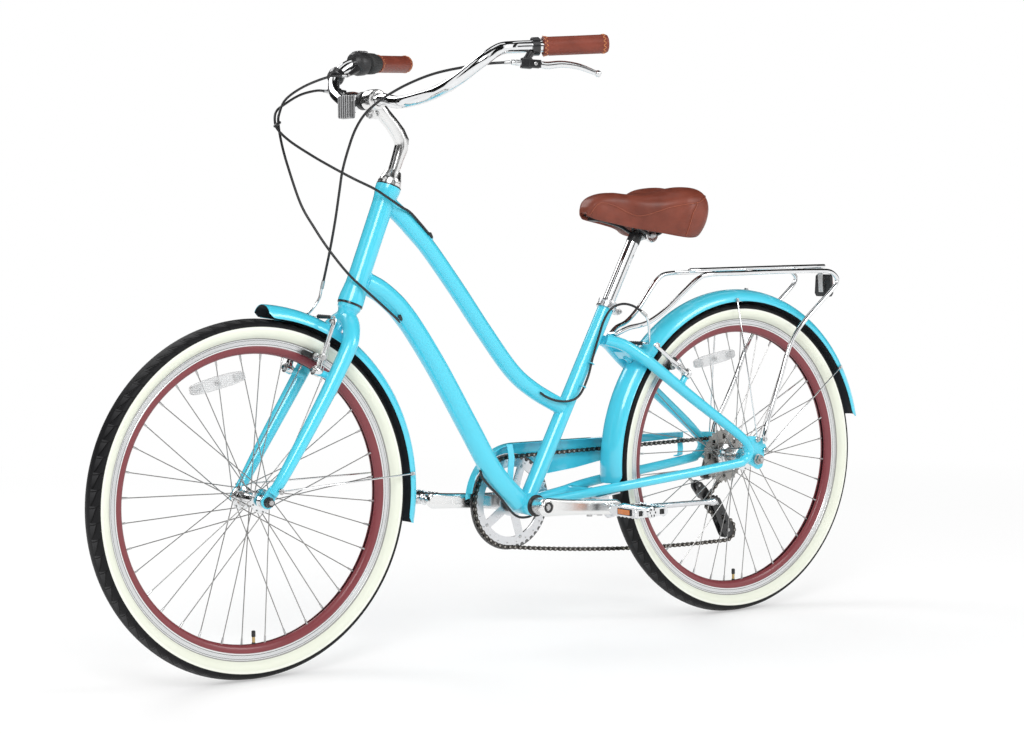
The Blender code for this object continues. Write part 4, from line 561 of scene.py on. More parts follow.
def of(finish, *meshes):
    """Meshes paired with one finish."""
    return [(mesh, finish) for mesh in meshes]


def group(*parts):
    """One mesh from (mesh, finish) pairs, each keeping its own finish."""
    work = bmesh.new()
    finishes = []
    for mesh, finish in parts:
        if finish not in finishes:
            finishes.append(finish)
        first = len(work.faces)
        work.from_mesh(mesh)
        work.faces.ensure_lookup_table()
        for face in work.faces[first:]:
            face.material_index = finishes.index(finish)
    result = as_mesh(work)
    for finish in finishes:
        result.materials.append(finish)
    return result


def piece(name, mesh, body, slot, *nodes, angle=32):
    """Name a mesh, shade it, and let it ride on a body in place of its nodes."""
    mesh.transform(Matrix.Translation((-LENGTH_CENTRE, 0.0, 0.0)))
    mesh.shade_smooth()
    mesh.set_sharp_from_angle(angle=math.radians(angle))
    made = added(name, mesh)
    if body:
        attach(made, body)
    if nodes:
        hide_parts(*nodes)
    return made


def at_angle(centre, radius, degrees, across_y=0.0):
    """A point round a wheel: 0 is forward and 90 is up."""
    angle = math.radians(degrees)
    return centre + xyz(radius * math.cos(angle), across_y, radius * math.sin(angle))


def outward_at(degrees):
    return at_angle(Vector(), 1.0, degrees)


def arc(centre, radius, start, end, steps):
    """Points of (x, z) round a centre, between two angles in degrees."""
    angles = [math.radians(start + (end - start) * k / steps) for k in range(steps + 1)]
    return [(centre[0] + radius * math.cos(angle), centre[1] + radius * math.sin(angle)) for angle in angles]


def bolt(at, axis, radius, height, washer=True):
    """A socket-head screw on its washer."""
    axis = Vector(axis).normalized()
    socket = spindle([(radius * 0.5, height * 0.45), (radius * 0.5, height * 2)], at, axis, 6)
    parts = of(STEEL, cut(knob(radius, 0.0, height, at, axis, 20, 0.0005), socket))
    if washer:
        parts += of(STEEL, knob(radius * 1.35, -0.0004, 0.0006, at, axis, 20, 0.0003))
    return parts


def nut(at, axis, radius, low, high, finish=STEEL):
    return (soften(spindle([(radius, low), (radius, high)], at, axis, 6), radius * 0.08), finish)


# Frame
DOWN_TUBE = [(0.915, 0, 0.705), (0.884, 0, 0.69), (0.858, 0, 0.6712), (0.837, 0, 0.6521), (0.8047, 0, 0.6138),
             (0.7507, 0, 0.5365), (0.6773, 0, 0.4187), (0.6234, 0, 0.3345), (0.562, 0, 0.272)]
TOP_TUBE = [(0.8605, 0, 0.848), (0.837, 0, 0.83), (0.805, 0, 0.8003), (0.7679, 0, 0.7626),
            (0.7053, 0, 0.6862), (0.645, 0, 0.6085), (0.5787, 0, 0.529), (0.5254, 0, 0.4877),
            (0.456, 0, 0.451)]
STAY_LOOP = [(0.35, 0.01, 0.58), (0.318, 0.024, 0.569), (0.285, 0.036, 0.548),
             (0.2559, 0.0425, 0.527), (0.16, 0.053, 0.457), (0.0815, 0.064, 0.4015),
             (0.047, 0.07, 0.3755), (0.03, 0.0725, 0.36), (0.0215, 0.0735, 0.345),
             (0.026, 0.0735, 0.331), (0.04, 0.073, 0.3225), (0.07, 0.071, 0.316),
             (0.33, 0.0534, 0.2916), (0.43, 0.0345, 0.28), (0.5, 0.0252, 0.2735),
             (0.54, 0.02, 0.269)]
STAY_RADII = [0.011, 0.012, 0.0122, 0.012, 0.0112, 0.0102, 0.0097, 0.0095, 0.0095,
              0.0095, 0.0095, 0.0095, 0.0095, 0.0092, 0.0085, 0.0085]
DROPOUT = [(0.034, 0.372), (0.006, 0.371), (-0.015, 0.366), (-0.028, 0.345), (-0.02, 0.332),
           (-0.016, 0.306), (-0.004, 0.301), (0.01, 0.309), (0.03, 0.319)]
REAR_BRAKE_SEAT = xyz(0.19, 0.0485, 0.4795)
FRONT_BRAKE_SEAT = xyz(1.0215, 0.049, 0.538)
STAY_UP = xyz(0.8127, 0.0, 0.5825).normalized()
STAY_BACK = xyz(-STAY_UP.z, 0.0, STAY_UP.x)
STAY_BRIDGE_TURN = 37.1
RACK_TAB = xyz(0.333, 0.0, 0.5725)


def rounded(outline, steps=3):
    """An outline with its corners drawn round."""
    points = [xyz(x, 0.0, z) for x, z in outline]
    result = []
    for k, point in enumerate(points):
        before = points[k - 1]
        after = points[(k + 1) % len(points)]
        reach = min((before - point).length, (after - point).length) * 0.32
        start = point + (before - point).normalized() * reach
        end = point + (after - point).normalized() * reach
        for s in range(steps + 1):
            t = s / steps
            spot = start * (1 - t) ** 2 + point * 2 * t * (1 - t) + end * t * t
            result.append((spot.x, spot.z))
    return result


def brake_boss(seat, out):
    return spindle([(0.0075, -0.004), (0.0068, 0.004), (0.0064, 0.0215), (0.007, 0.0236), (0.006, 0.0243),
                    (0.004, 0.0245), (0.004, 0.04)], seat, out, 24)


def seam_loops(mesh):
    """The runs of inward corners of a welded shape, each as a row of points."""
    sharper, shortest = math.radians(24.0), 0.018
    work = bmesh.new()
    work.from_mesh(mesh)
    links = {}
    for edge in work.edges:
        if len(edge.link_faces) == 2 and edge.calc_face_angle_signed(0.0) < -sharper:
            a, b = edge.verts
            links.setdefault(a.index, set()).add(b.index)
            links.setdefault(b.index, set()).add(a.index)
    spots = {v.index: v.co.copy() for v in work.verts}
    work.free()
    runs = []
    while links:
        start = min(links, key=lambda k: (len(links[k]) != 1, k))
        run = [start]
        while links.get(run[-1]):
            here = run[-1]
            there = min(links[here])
            links[here].discard(there)
            links[there].discard(here)
            run.append(there)
        for k in [k for k in links if not links[k]]:
            del links[k]
        path = [spots[k] for k in run]
        if sum((b - a).length for a, b in zip(path, path[1:])) > shortest:
            runs.append(path)
    return runs


def even(path, step):
    """Points a fixed distance apart along a path."""
    result = [path[0]]
    left = step
    for a, b in zip(path, path[1:]):
        span = (b - a).length
        while span > left:
            a = a + (b - a).normalized() * left
            span -= left
            result.append(a)
            left = step
        left -= span
    return result


def weld_bead(path, radius=0.0017):
    """A run of laid weld: even ripples on a thin roll."""
    points = even(path, 0.0011)
    for _ in range(3):
        softer = [(a + b * 2 + c) / 4 for a, b, c in zip(points, points[1:], points[2:])]
        points = [points[0], *softer, points[-1]]
    return tube([(*p, radius * (1.0 + 0.13 * math.cos(k * math.pi / 1.5))) for k, p in enumerate(points)], sides=8)


def grommet(at, heading, out, length):
    """Raised oval rim with its dark sleeve, where a cable goes into a tube."""
    heading = heading.normalized()
    side = heading.cross(out).normalized()
    ring = [at + swung(heading * length, side * 0.0036, 2 * math.pi * k / 24) for k in range(25)]
    sleeve_path = [at + out * 0.0004 - heading * length * 0.2, at + out * 0.0022 + heading * length * 0.9]
    return [(tube(ring, 0.0009, 8, side=out), PAINT), (tube(sleeve_path, 0.0036, 16, side=side, dome=0.5), RUBBER)]


def frame_piece():
    """Every tube, lug and boss welded into one, its beads, the holes through it and the cable guides."""
    head = spindle([(0.024, 0.0), (0.0241, 0.006), (0.0236, 0.014), (0.0222, 0.025), (0.0208, 0.037),
                    (0.0201, 0.055), (0.02, 0.115), (0.0203, 0.196), (0.0212, 0.209), (0.0229, 0.218),
                    (0.0235, 0.222), (0.0235, HEAD_LENGTH)], HEAD_BOTTOM, HEAD_UP, 48)
    stay = with_radii(STAY_LOOP, STAY_RADII)
    parts = [tube(smooth(DOWN_TUBE, 6), 0.021, 40), tube(smooth(TOP_TUBE, 6), 0.0163, 36),
             spindle([(0.0159, 0.0), (0.0159, 0.436)], CRANK_CENTRE + SEAT_UP * 0.006, SEAT_UP, 40),
             knob(0.0205, -0.034, 0.034, CRANK_CENTRE, DRIVE_SIDE, 44, 0.0008),
             *[tube(smooth(path, 5), sides=24) for path in (stay, mirrored(stay))]]
    for sign in (1, -1):
        parts += [soften(plate(rounded(DROPOUT), sign * 0.067, sign * 0.072), 0.0006),
                  brake_boss(to_side(REAR_BRAKE_SEAT, sign), STAY_BACK)]
    parts += [tube([(0.41, -0.041, 0.283), (0.41, 0.041, 0.283)], 0.008, 24, side=AHEAD),
              block(xyz(0.296, 0.0, 0.547), (0.026, 0.064, 0.004), STAY_UP, LEFT, 0.0008),
              spindle([(0.006, 0.35), (0.006, 0.366)], REAR_HUB, outward_at(STAY_BRIDGE_TURN), 20),
              knob(0.008, -0.004, 0.016, RACK_TAB, STAY_BACK)]
    whole = weld(head, *parts)
    beads = [weld_bead(path) for path in seam_loops(whole)]
    whole = cut(whole, spindle([(0.0162, -0.02), (0.0162, HEAD_LENGTH + 0.02)], HEAD_BOTTOM, HEAD_UP),
                spindle([(0.0137, 0.25), (0.0137, 0.5)], CRANK_CENTRE, SEAT_UP),
                spindle([(0.0172, -0.05), (0.0172, 0.05)], CRANK_CENTRE, DRIVE_SIDE))
    guides = []
    for x, z in ((0.396, 0.535), (0.417, 0.49)):
        loop = [xyz(x, 0.02, z) + swung(SEAT_BACK, LEFT, math.radians(15 * k - 60)) * 0.0044 for k in range(21)]
        guides.append(tube(loop, 0.0012, 8, side=SEAT_UP, flat=2.4))
    return group(*of(PAINT, whole, *beads),
                 *grommet(xyz(0.774, 0.0128, 0.788), xyz(0.66, 0.06, 0.75), xyz(-0.3, 0.9, 0.3), 0.0072),
                 *grommet(xyz(0.8452, 0.0145, 0.636), xyz(0.62, 0.12, 0.77), xyz(-0.2, 0.95, 0.25), 0.0075),
                 *of(PAINT, *guides))


piece("frame_tubes", frame_piece(), "frame_body", "turquoise_paint", "frame")

collar_at = CRANK_CENTRE + SEAT_UP * 0.425
screw_at = collar_at + SEAT_UP * 0.0083 + SEAT_BACK * 0.0265
piece("seat_collar", group(
    *of(ALLOY, turned([(0.0164, 0.0), (0.0196, 0.0), (0.0199, 0.0006), (0.0199, 0.0045), (0.0189, 0.0055),
                       (0.0189, 0.011), (0.0199, 0.012), (0.0199, 0.0159), (0.0196, 0.0165), (0.0164, 0.0165)],
                      collar_at, SEAT_UP),
        *[block(screw_at - SEAT_BACK * 0.002 + LEFT * beside, (0.013, 0.0075, 0.013), SEAT_BACK, LEFT, 0.0012)
          for beside in (0.0052, -0.0052)]),
    (knob(0.0026, -0.012, 0.012, screw_at, LEFT), STEEL), *bolt(screw_at + LEFT * 0.0092, LEFT, 0.0046, 0.0052),
    nut(screw_at, -LEFT, 0.0046, 0.0092, 0.013)), "frame_body", "satin_alloy", "seat_clamp")

piece("bracket_cups", group(
    (turned([(0.009, -0.0375), (0.0207, -0.0375), (0.0212, -0.037), (0.0212, -0.0347), (0.0207, -0.0343),
             (0.0168, -0.0343), (0.0168, 0.0343), (0.02, 0.0343), (0.02, 0.0362), (0.0195, 0.0365),
             (0.009, 0.0365)], CRANK_CENTRE, DRIVE_SIDE), BLACK)), "frame_body", "black_plastic", "bottom_bracket")


# Wheels
TYRE_HALF = [(0.2734, 0.0104), (0.28, 0.0106), (0.2856, 0.011), (0.2872, 0.013), (0.2905, 0.0182),
             (0.2945, 0.0224), (0.299, 0.0241), (0.304, 0.0243), (0.3078, 0.0238), (0.309, 0.0242),
             (0.3125, 0.0236), (0.316, 0.0208), (0.319, 0.0158), (0.3213, 0.009)]
TUBE_HALF = [(0.2874, 0.0078), (0.293, 0.014), (0.2988, 0.019), (0.306, 0.0178), (0.313, 0.011)]
TYRE_INSIDE = [(0.2734, 0.0084), (0.287, 0.0086), (0.293, 0.015), (0.299, 0.0205), (0.306, 0.0195),
               (0.313, 0.012)]
RIM_HALF = [(0.2868, 0.0128), (0.2868, 0.0119), (0.2855, 0.0112), (0.273, 0.011)]
RIM_OUTSIDE = [(0.26, 0.003), (0.2606, 0.006), (0.2622, 0.0086), (0.2648, 0.0106), (0.269, 0.0118),
               (0.2728, 0.0122), (0.2736, 0.0119), (0.2742, 0.0119), (0.2748, 0.0127), (0.2764, 0.0128),
               (0.2768, 0.0125), (0.2778, 0.0125), (0.2782, 0.0129), (0.2838, 0.0129), (0.2842, 0.0126),
               (0.2848, 0.0126), (0.2852, 0.013), (0.2866, 0.0129)]


def spoke_parts(hub, flange_radius, flanges):
    """Three-cross wires with their elbows and nipples."""
    parts = []
    step = 40.0
    for side, flange in enumerate(flanges):
        shift = 5.0 + side * 10.0
        lean = 0.0025 if flange > 0 else -0.0025
        for k in range(9):
            for way, start_angle, end_angle in ((0.0013, step * k, step * k + 60.0),
                                                (-0.0013, step * k + 20.0, step * k - 40.0)):
                start = at_angle(hub, flange_radius, start_angle + shift, -(flange + way))
                end, rim_end = (at_angle(hub, radius, end_angle + shift, -(lean + way))
                                for radius in (0.2578, 0.2607))
                inward = (start - end).normalized()
                nipple = [(*(rim_end + inward * 0.0005), 0.0021), (*(end + inward * 0.0085), 0.0017)]
                elbow = [start - LEFT * 0.0022, start + LEFT * 0.0022]
                parts += [(tube([start, end], 0.00095, 8), SPOKE_STEEL), (tube(nipple, sides=10), STEEL),
                          (tube(elbow, 0.0016, 10, side=AHEAD, dome=0.6), SPOKE_STEEL)]
    return parts


def ring_of(outside, inside, hub, steps):
    """A ring turned round a hub, from its outside and inside profiles."""
    return turned(outside + inside[::-1], hub, DRIVE_SIDE, steps)


def wheel(end, hub, shell_profile, flange_radius, flanges, body):
    piece(end + "_tyre_rubber", group(
        (ring_of(both(TYRE_HALF, WHEEL_RADIUS), both(TYRE_INSIDE, 0.318), hub, 200),
         tyre_rubber(end + "_tread", hub))), body, "tyre_rubber", end + "_tyre", angle=50)
    stem = [(0.0029, 0.257), (0.0036, 0.259), (0.0036, 0.276), (0.0038, 0.288)]
    cap = [(0.002, 0.236), (0.0034, 0.2366), (0.0037, 0.238), (0.0037, 0.246), (0.0033, 0.2472)]
    piece(end + "_tube_and_valve", group(
        *of(RUBBER, turned(both(TUBE_HALF, 0.3174), hub, DRIVE_SIDE, 96), spindle(stem, hub, -UP, 20)),
        (spindle([(0.0028, 0.244), (0.0028, 0.26)], hub, -UP, 20), BRASS), (spindle(cap, hub, -UP, 24), BLACK)),
        body, "tube_rubber", end + "_inner_tube")
    piece(end + "_rim_band", group((ring_of(both(RIM_OUTSIDE), both(RIM_HALF[::-1]), hub, 200),
                                    rim_finish(end + "_rim_paint", hub))), body, "maroon_rim", end + "_rim", angle=25)
    piece(end + "_hub_and_spokes", group(
        (turned(shell_profile, hub, DRIVE_SIDE, 56), BRIGHT), *spoke_parts(hub, flange_radius, flanges)), body,
        "satin_alloy", end + "_hub", angle=25)


wheel("front", FRONT_HUB, both([
    (0.0056, -0.044), (0.0098, -0.044), (0.0105, -0.0432), (0.0105, -0.038), (0.0122, -0.0366), (0.0215, -0.0353),
    (0.0222, -0.0346), (0.0222, -0.0326), (0.0212, -0.0318), (0.014, -0.03), (0.0117, -0.027),
    (0.011, -0.012)]), 0.019, (-0.0335, 0.0335), "front_wheel")
wheel("rear", REAR_HUB, [
    (0.0056, -0.056), (0.0112, -0.056), (0.012, -0.055), (0.012, -0.0385), (0.015, -0.0366), (0.0252, -0.0353),
    (0.0262, -0.0345), (0.0262, -0.0326), (0.025, -0.0318), (0.018, -0.03), (0.0157, -0.027), (0.015, 0.0),
    (0.0157, 0.011), (0.018, 0.014), (0.025, 0.016), (0.0262, 0.017), (0.0262, 0.019), (0.0252, 0.02),
    (0.017, 0.0212), (0.0165, 0.023), (0.0165, 0.059), (0.016, 0.06), (0.0056, 0.06)],
      0.0225, (-0.0335, 0.0183), "rear_wheel")


def wheel_reflector(name, centre, heading, body):
    """A clear bar between the spokes with ribbed ends and a clip in its middle."""
    heading = heading.normalized()
    outline = [(a * 0.056, b * 0.0115) for a, b in (
        (-1.0, -0.45), (-0.92, -0.75), (-0.55, -0.98), (0.0, -1.06), (0.55, -0.98), (0.92, -0.75), (1.0, -0.45),
        (1.0, 0.45), (0.92, 0.75), (0.55, 0.95), (0.0, 1.0), (-0.55, 0.95), (-0.92, 0.75), (-1.0, 0.45))]
    bar = soften(prism(outline, centre - LEFT * 0.0035, heading, heading.cross(LEFT), LEFT * 0.007), 0.0012)
    ends = [block(centre + heading * 0.044 * sign + LEFT * 0.0006, (0.02, 0.0078, 0.013), heading, LEFT, 0.0008)
            for sign in (1, -1)]
    piece(name, group(*of(CLEAR, bar, *ends, knob(0.0055, -0.0045, 0.0052, centre, LEFT)),
                      (knob(0.0022, -0.005, 0.006, centre, LEFT), STEEL)), body, "clear_lens")


wheel_reflector("front_spoke_reflector", xyz(1.231, 0.01, 0.535), xyz(-0.977, 0.0, 0.212), "front_wheel")
wheel_reflector("rear_spoke_reflector", xyz(0.0621, 0.01, 0.5303), xyz(-0.985, 0.0, 0.17), "rear_wheel")


def axle(profile, hub, nut_radius, nut_low, nut_high, nut_finish, washer_radius, washers, washer_finish):
    """An axle with a nut and a washer on each end; the left side's washer comes first."""
    parts = of(STEEL, spindle(profile, hub, DRIVE_SIDE))
    for sign, (low, high) in zip((1, -1), washers):
        parts.append(nut(hub, LEFT * sign, nut_radius, nut_low, nut_high, nut_finish))
        parts += of(washer_finish, knob(washer_radius, low, high, hub, LEFT * sign, 32, 0.0004))
    return group(*parts)


front_half = [(0.0046, 0.0442), (0.008, 0.0443), (0.0088, 0.045), (0.0088, 0.051), (0.008, 0.0517),
              (0.0046, 0.0517), (0.0046, 0.0573)]
front_tip = [(0.0046, 0.065), (0.0046, 0.0692), (0.004, 0.07)]
piece("front_axle_nuts", axle(
    [(r, -h) for r, h in reversed(front_half + front_tip)] + front_half + front_tip, FRONT_HUB, 0.0094, 0.059, 0.0652,
    SATIN_BLACK, 0.0098, [(0.0574, 0.0592)] * 2, SATIN_BLACK), "fork_body", "grey_steel", "front_axle")
piece("rear_axle_nuts", axle(
    [(0.004, -0.089), (0.0046, -0.0882), (0.0046, -0.0723), (0.0046, -0.0667), (0.0088, -0.0667), (0.0092, -0.066),
     (0.0092, -0.057), (0.0088, -0.0563), (0.0046, -0.0563), (0.0046, 0.0603), (0.0088, 0.0603), (0.0092, 0.061),
     (0.0092, 0.066), (0.0088, 0.0667), (0.0046, 0.0667), (0.0046, 0.0882), (0.004, 0.089)], REAR_HUB, 0.0102,
    0.0768, 0.084, COG_STEEL, 0.011, [(0.0724, 0.077), (0.0754, 0.077)], STEEL), "frame_body", "grey_steel",
    "rear_axle")


# Mudguards
FRONT_GUARD_ARC = (94.5, 191.5)
REAR_GUARD_ARC = (-5.0, 168.5)
GUARD_RADIUS = 0.3255
GUARD_RISE = 0.0235
GUARD_HALF = 0.0285
GUARD_TOP = GUARD_RADIUS + GUARD_RISE


def guard_flare(end, degrees):
    """How much wider a mudguard's radius gets towards its tail."""
    return (0.0005 if end > 180 else 0.006) * max(0.0, 1 - abs(end - degrees) / 60.0)


def guard_section(shrink):
    return [swung(AHEAD * (GUARD_RISE - shrink), UP * (GUARD_HALF - shrink), math.radians(-90 + 10 * k)).xz
            for k in range(19)]


def guard_blade(hub, arc_ends):
    """Rolled blade with a bead along both edges, narrowed to round corners at its ends; its inner skin is dark teal
    as painted shade.
    """
    first, last = arc_ends
    parts = []
    steps = round((last - first) / 1.6)
    # The inner skin takes the dark teal of painted shade.
    for outside, inside, finish in ((0.0, 0.0008, PAINT), (0.0008, 0.0013, UNDERSIDE_PAINTED_SHADE)):
        section = guard_section(outside) + guard_section(inside)[::-1]
        rings = []
        for k in range(steps + 1):
            degrees = first + (last - first) * k / steps
            from_end = min(degrees - first, last - degrees)
            corner = math.sqrt(max(0.0, 1.0 - max(0.0, 1.0 - (from_end + 0.15) / 2.2) ** 2))
            ring = []
            for rise, height in section:
                turn = math.atan2(height, rise) * (0.66 + 0.34 * corner)
                size = math.hypot(height / GUARD_HALF, rise / GUARD_RISE)
                ring.append(at_angle(hub, GUARD_RADIUS + GUARD_RISE * size * math.cos(turn)
                                     + guard_flare(last, degrees), degrees, -GUARD_HALF * size * math.sin(turn)))
            rings.append(ring)
        parts += of(finish, loft(rings))
    for sign in (1, -1):
        edge = [at_angle(hub, GUARD_RADIUS + 0.0002 + guard_flare(last, d), d, sign * 0.028)
                for d in (first + 2.4 + (last - first - 4.8) * k / 90 for k in range(91))]
        parts += of(PAINT, tube(edge, 0.001, 8))
    return parts


def guard_wire(hub, eyelet, degrees, tail):
    """Two wires: an eye round each eyelet bolt, and a flattened foot under a clip on the blade's edge."""
    flare = guard_flare(tail, degrees)
    parts = []
    for sign in (1, -1):
        side = LEFT * sign
        eye = to_side(Vector(eyelet), sign)
        edge = at_angle(hub, 0.329 + flare, degrees, sign * 0.0312)
        clip = at_angle(hub, 0.3275 + flare, degrees, sign * 0.0312)
        loop = [eye + swung(AHEAD, UP, math.pi * k / 10) * 0.0046 for k in range(21)]
        parts += of(CHROME, tube([eye, eye.lerp(edge, 0.5), edge], 0.0016, 12, dome=0.6), tube(loop, 0.0015, 8))
        parts += bolt(eye + side * 0.0014, side, 0.004, 0.0034)
        parts += of(STEEL, knob(0.0022, -0.006, 0.0016, eye, side),
                    block(clip, (0.009, 0.0042, 0.0066), outward_at(degrees), LEFT, 0.001),
                    knob(0.0026, -0.003, 0.0042, clip, side, 16, 0.0005))
    return group(*parts)


rear_blade = guard_blade(REAR_HUB, REAR_GUARD_ARC)
for degrees in (96.0, STAY_BRIDGE_TURN, 150.0):
    seat = at_angle(REAR_HUB, GUARD_TOP + guard_flare(REAR_GUARD_ARC[1], degrees), degrees)
    rear_blade += bolt(seat, outward_at(degrees), 0.0038, 0.0034)
piece("rear_mudguard", group(*rear_blade), "frame_body", "turquoise_paint", "rear_fender")
piece("front_mudguard",
      group(*guard_blade(FRONT_HUB, FRONT_GUARD_ARC),
            *of(PAINT, knob(0.0065, 0.3465, 0.3668, FRONT_HUB, outward_at(122.3)))), "fork_body", "turquoise_paint",
      "front_fender")
for name, hub, eyelet, degrees, tail, body, node in (
        ("rear_guard_wire_upper", REAR_HUB, (0.0, 0.0748, 0.364), 87.0, REAR_GUARD_ARC[1], "frame_body",
         "rear_fender_stay_upper"),
        ("rear_guard_wire_lower", REAR_HUB, (-0.0225, 0.0748, 0.34), 148.0, REAR_GUARD_ARC[1], "frame_body",
         "rear_fender_stay_lower"),
        ("front_guard_wire", FRONT_HUB, (1.142, 0.075, 0.342), 175.5, FRONT_GUARD_ARC[1], "fork_body",
         "front_fender_stay")):
    piece(name, guard_wire(hub, eyelet, degrees, tail), body, "chrome", node)


# Carrier
RACK_SIDE = [(0.324, 0.008, 0.589), (0.298, 0.019, 0.602), (0.262, 0.032, 0.611),
             (0.222, 0.043, 0.636), (0.18, 0.054, 0.674), (0.15, 0.06, 0.698),
             (0.12, 0.062, 0.706), (0.04, 0.062, 0.7068), (-0.05, 0.062, 0.708),
             (-0.12, 0.062, 0.708), (-0.19, 0.062, 0.7075),
             (-0.22, 0.062, 0.705), (-0.2375, 0.0625, 0.693), (-0.237, 0.063, 0.68),
             (-0.215, 0.063, 0.66), (-0.136, 0.063, 0.597), (-0.1, 0.064, 0.552),
             (-0.0717, 0.067, 0.488), (-0.0434, 0.072, 0.43), (-0.02, 0.078, 0.386),
             (-0.015, 0.0782, 0.36)]


def carrier():
    rails = [tube(smooth(path, 5), 0.0048, 18) for path in (RACK_SIDE, mirrored(RACK_SIDE))]
    rungs = [tube([(x, -0.0612, 0.7085), (x, 0.0612, 0.7085)], 0.0036, 16, side=AHEAD)
             for x in (0.105, -0.035, -0.175)]
    spine = smooth([(0.12, 0, 0.713), (0.0, 0, 0.714), (-0.15, 0, 0.715), (-0.262, 0, 0.7155)], 4)
    parts = of(CHROME, *rails, *rungs, tube(spine, 0.0046, 18, dome=0.6))
    parts += of(STEEL, soften(plate([(-0.249, 0.712), (-0.2525, 0.712), (-0.2565, 0.66), (-0.2535, 0.66)], -0.0065,
                                    0.0065), 0.0004))
    tab_at = RACK_TAB + STAY_BACK * 0.0184
    parts += of(CHROME, block(tab_at, (0.016, 0.024, 0.0034), STAY_UP, LEFT, 0.0006))
    parts += bolt(tab_at + STAY_BACK * 0.0018, STAY_BACK, 0.005, 0.0042)
    for sign in (1, -1):
        foot = xyz(-0.015, 0.0782 * sign, 0.364)
        parts += of(CHROME, block(foot, (0.011, 0.0034, 0.019), edge=0.0008))
        parts += bolt(foot + LEFT * sign * 0.0018, LEFT * sign, 0.0042, 0.0036)
    return group(*parts)


piece("carrier_rack", carrier(), "frame_body", "chrome", "rear_rack")
lamp_at = xyz(-0.263, 0.0, 0.674)
lamp_outline = [(-0.025, -0.017), (-0.02, -0.0235), (0.02, -0.0235), (0.025, -0.017), (0.0225, 0.0205),
                (0.018, 0.024), (-0.018, 0.024), (-0.0225, 0.0205)]
piece("carrier_reflector", group(
    (soften(prism(lamp_outline, lamp_at + AHEAD * 0.004, LEFT, UP, -AHEAD * 0.0075), 0.0016), BLACK),
    (soften(prism(scaled(lamp_outline, 0.86), lamp_at - AHEAD * 0.003, LEFT, UP, -AHEAD * 0.004), 0.0008), RED),
    (block(lamp_at + AHEAD * 0.0052 + UP * 0.003, (0.0014, 0.012, 0.034), edge=0.0004), STEEL),
    *bolt(lamp_at + AHEAD * 0.0062 - UP * 0.008, AHEAD, 0.0032, 0.0024)), "frame_body", "red_lens", "rack_reflector")


# Drive train
def pitch_radius(teeth):
    return LINK_PITCH / (2 * math.sin(math.pi / teeth))


def toothed(teeth, tip, root, thickness, line, centre=CRANK_CENTRE):
    """A toothed disc; each tooth rises from a round seat for a roller."""
    outline = []
    for k in range(teeth):
        for share, level in ((-0.5, 1.0), (-0.4, 0.82), (-0.26, 0.16), (-0.12, 0.0), (0.12, 0.0), (0.26, 0.16),
                             (0.4, 0.82)):
            radius = root + (tip - root) * level
            angle = 2 * math.pi * (k + share) / teeth
            outline.append((radius * math.cos(angle), radius * math.sin(angle)))
    return prism(outline, centre + DRIVE_SIDE * (line - thickness / 2), AHEAD, UP, DRIVE_SIDE * thickness)


def freewheel():
    parts = of(STEEL, turned([(0.0174, 0.0272), (0.0202, 0.0272), (0.0202, 0.061), (0.0196, 0.062),
                              (0.0174, 0.062)], REAR_HUB, DRIVE_SIDE))
    for k, teeth in enumerate(COG_TEETH):
        pitch = pitch_radius(teeth)
        holes = [rod(REAR_HUB, 0.0175, 0.02, 0.07, 32)]
        if k < 3:
            ring = pitch * 0.72
            holes += [rod(at_angle(REAR_HUB, ring, h * 45.0 + k * 15.0), ring * 0.15, 0.02, 0.07, 16)
                      for h in range(8)]
        disc = toothed(teeth, pitch + 0.0014, pitch - 0.0036, 0.0018, 0.03 + 0.005 * k, REAR_HUB)
        parts += of(COG_STEEL, cut(disc, *holes))
    return group(*parts)


piece("seven_cogs", freewheel(), "sprockets", "grey_steel", "freewheel", angle=28)


def chainring():
    """Toothed ring with five windows, the smoked ring outside it, and its rivets."""
    pitch = pitch_radius(CHAINRING_TEETH)
    windows = []
    for k in range(5):
        middle = 72.0 * (k + 0.5) + SPIDER_TURN
        outline = arc((0.0, 0.0), 0.069, middle - 28.5, middle + 28.5, 12)
        outline += arc((0.0, 0.0), 0.028, middle + 16.0, middle - 16.0, 6)
        windows.append(prism(rounded(outline, 2), CRANK_CENTRE + DRIVE_SIDE * 0.04, AHEAD, UP, DRIVE_SIDE * 0.01))
    disc = toothed(CHAINRING_TEETH, pitch + 0.0014, pitch - 0.004, 0.002, CHAIN_LINE)
    parts = [(cut(disc, rod(CRANK_CENTRE, 0.0145, 0.03, 0.06, 32), *windows), ALLOY),
             (turned([(0.07, 0.05), (0.0942, 0.05), (0.0948, 0.0506), (0.0948, 0.0514), (0.094, 0.0518),
                      (0.07, 0.0518)], CRANK_CENTRE, DRIVE_SIDE, 96), SMOKE)]
    for k in range(5):
        seat = at_angle(CRANK_CENTRE, 0.073, 72.0 * k + SPIDER_TURN)
        parts += of(STEEL, knob(0.0032, -0.0441, -0.0425, seat, LEFT, 16, 0.0004),
                    knob(0.0034, 0.0434, 0.0526, seat, DRIVE_SIDE, 16, 0.0005))
    return group(*parts, *of(STEEL, *[
        knob(0.0016, 0.0432, 0.0441, at_angle(CRANK_CENTRE, pitch - 0.0085, 360.0 / 22 * k), DRIVE_SIDE, 8, 0.0002)
        for k in range(22)]))


piece("chain_wheel", chainring(), "cranks", "satin_alloy", "chainring", angle=28)


def tangent(first, second):
    """Points where a straight run leaves one circle (middle, radius, sense) and meets the next."""
    span = second[0] - first[0]
    heading = math.atan2(span.y, span.x) + math.asin((first[2] * first[1] - second[2] * second[1]) / span.length)
    normal = Vector((math.sin(heading), -math.cos(heading)))
    return first[0] + normal * first[1] * first[2], second[0] + normal * second[1] * second[2]


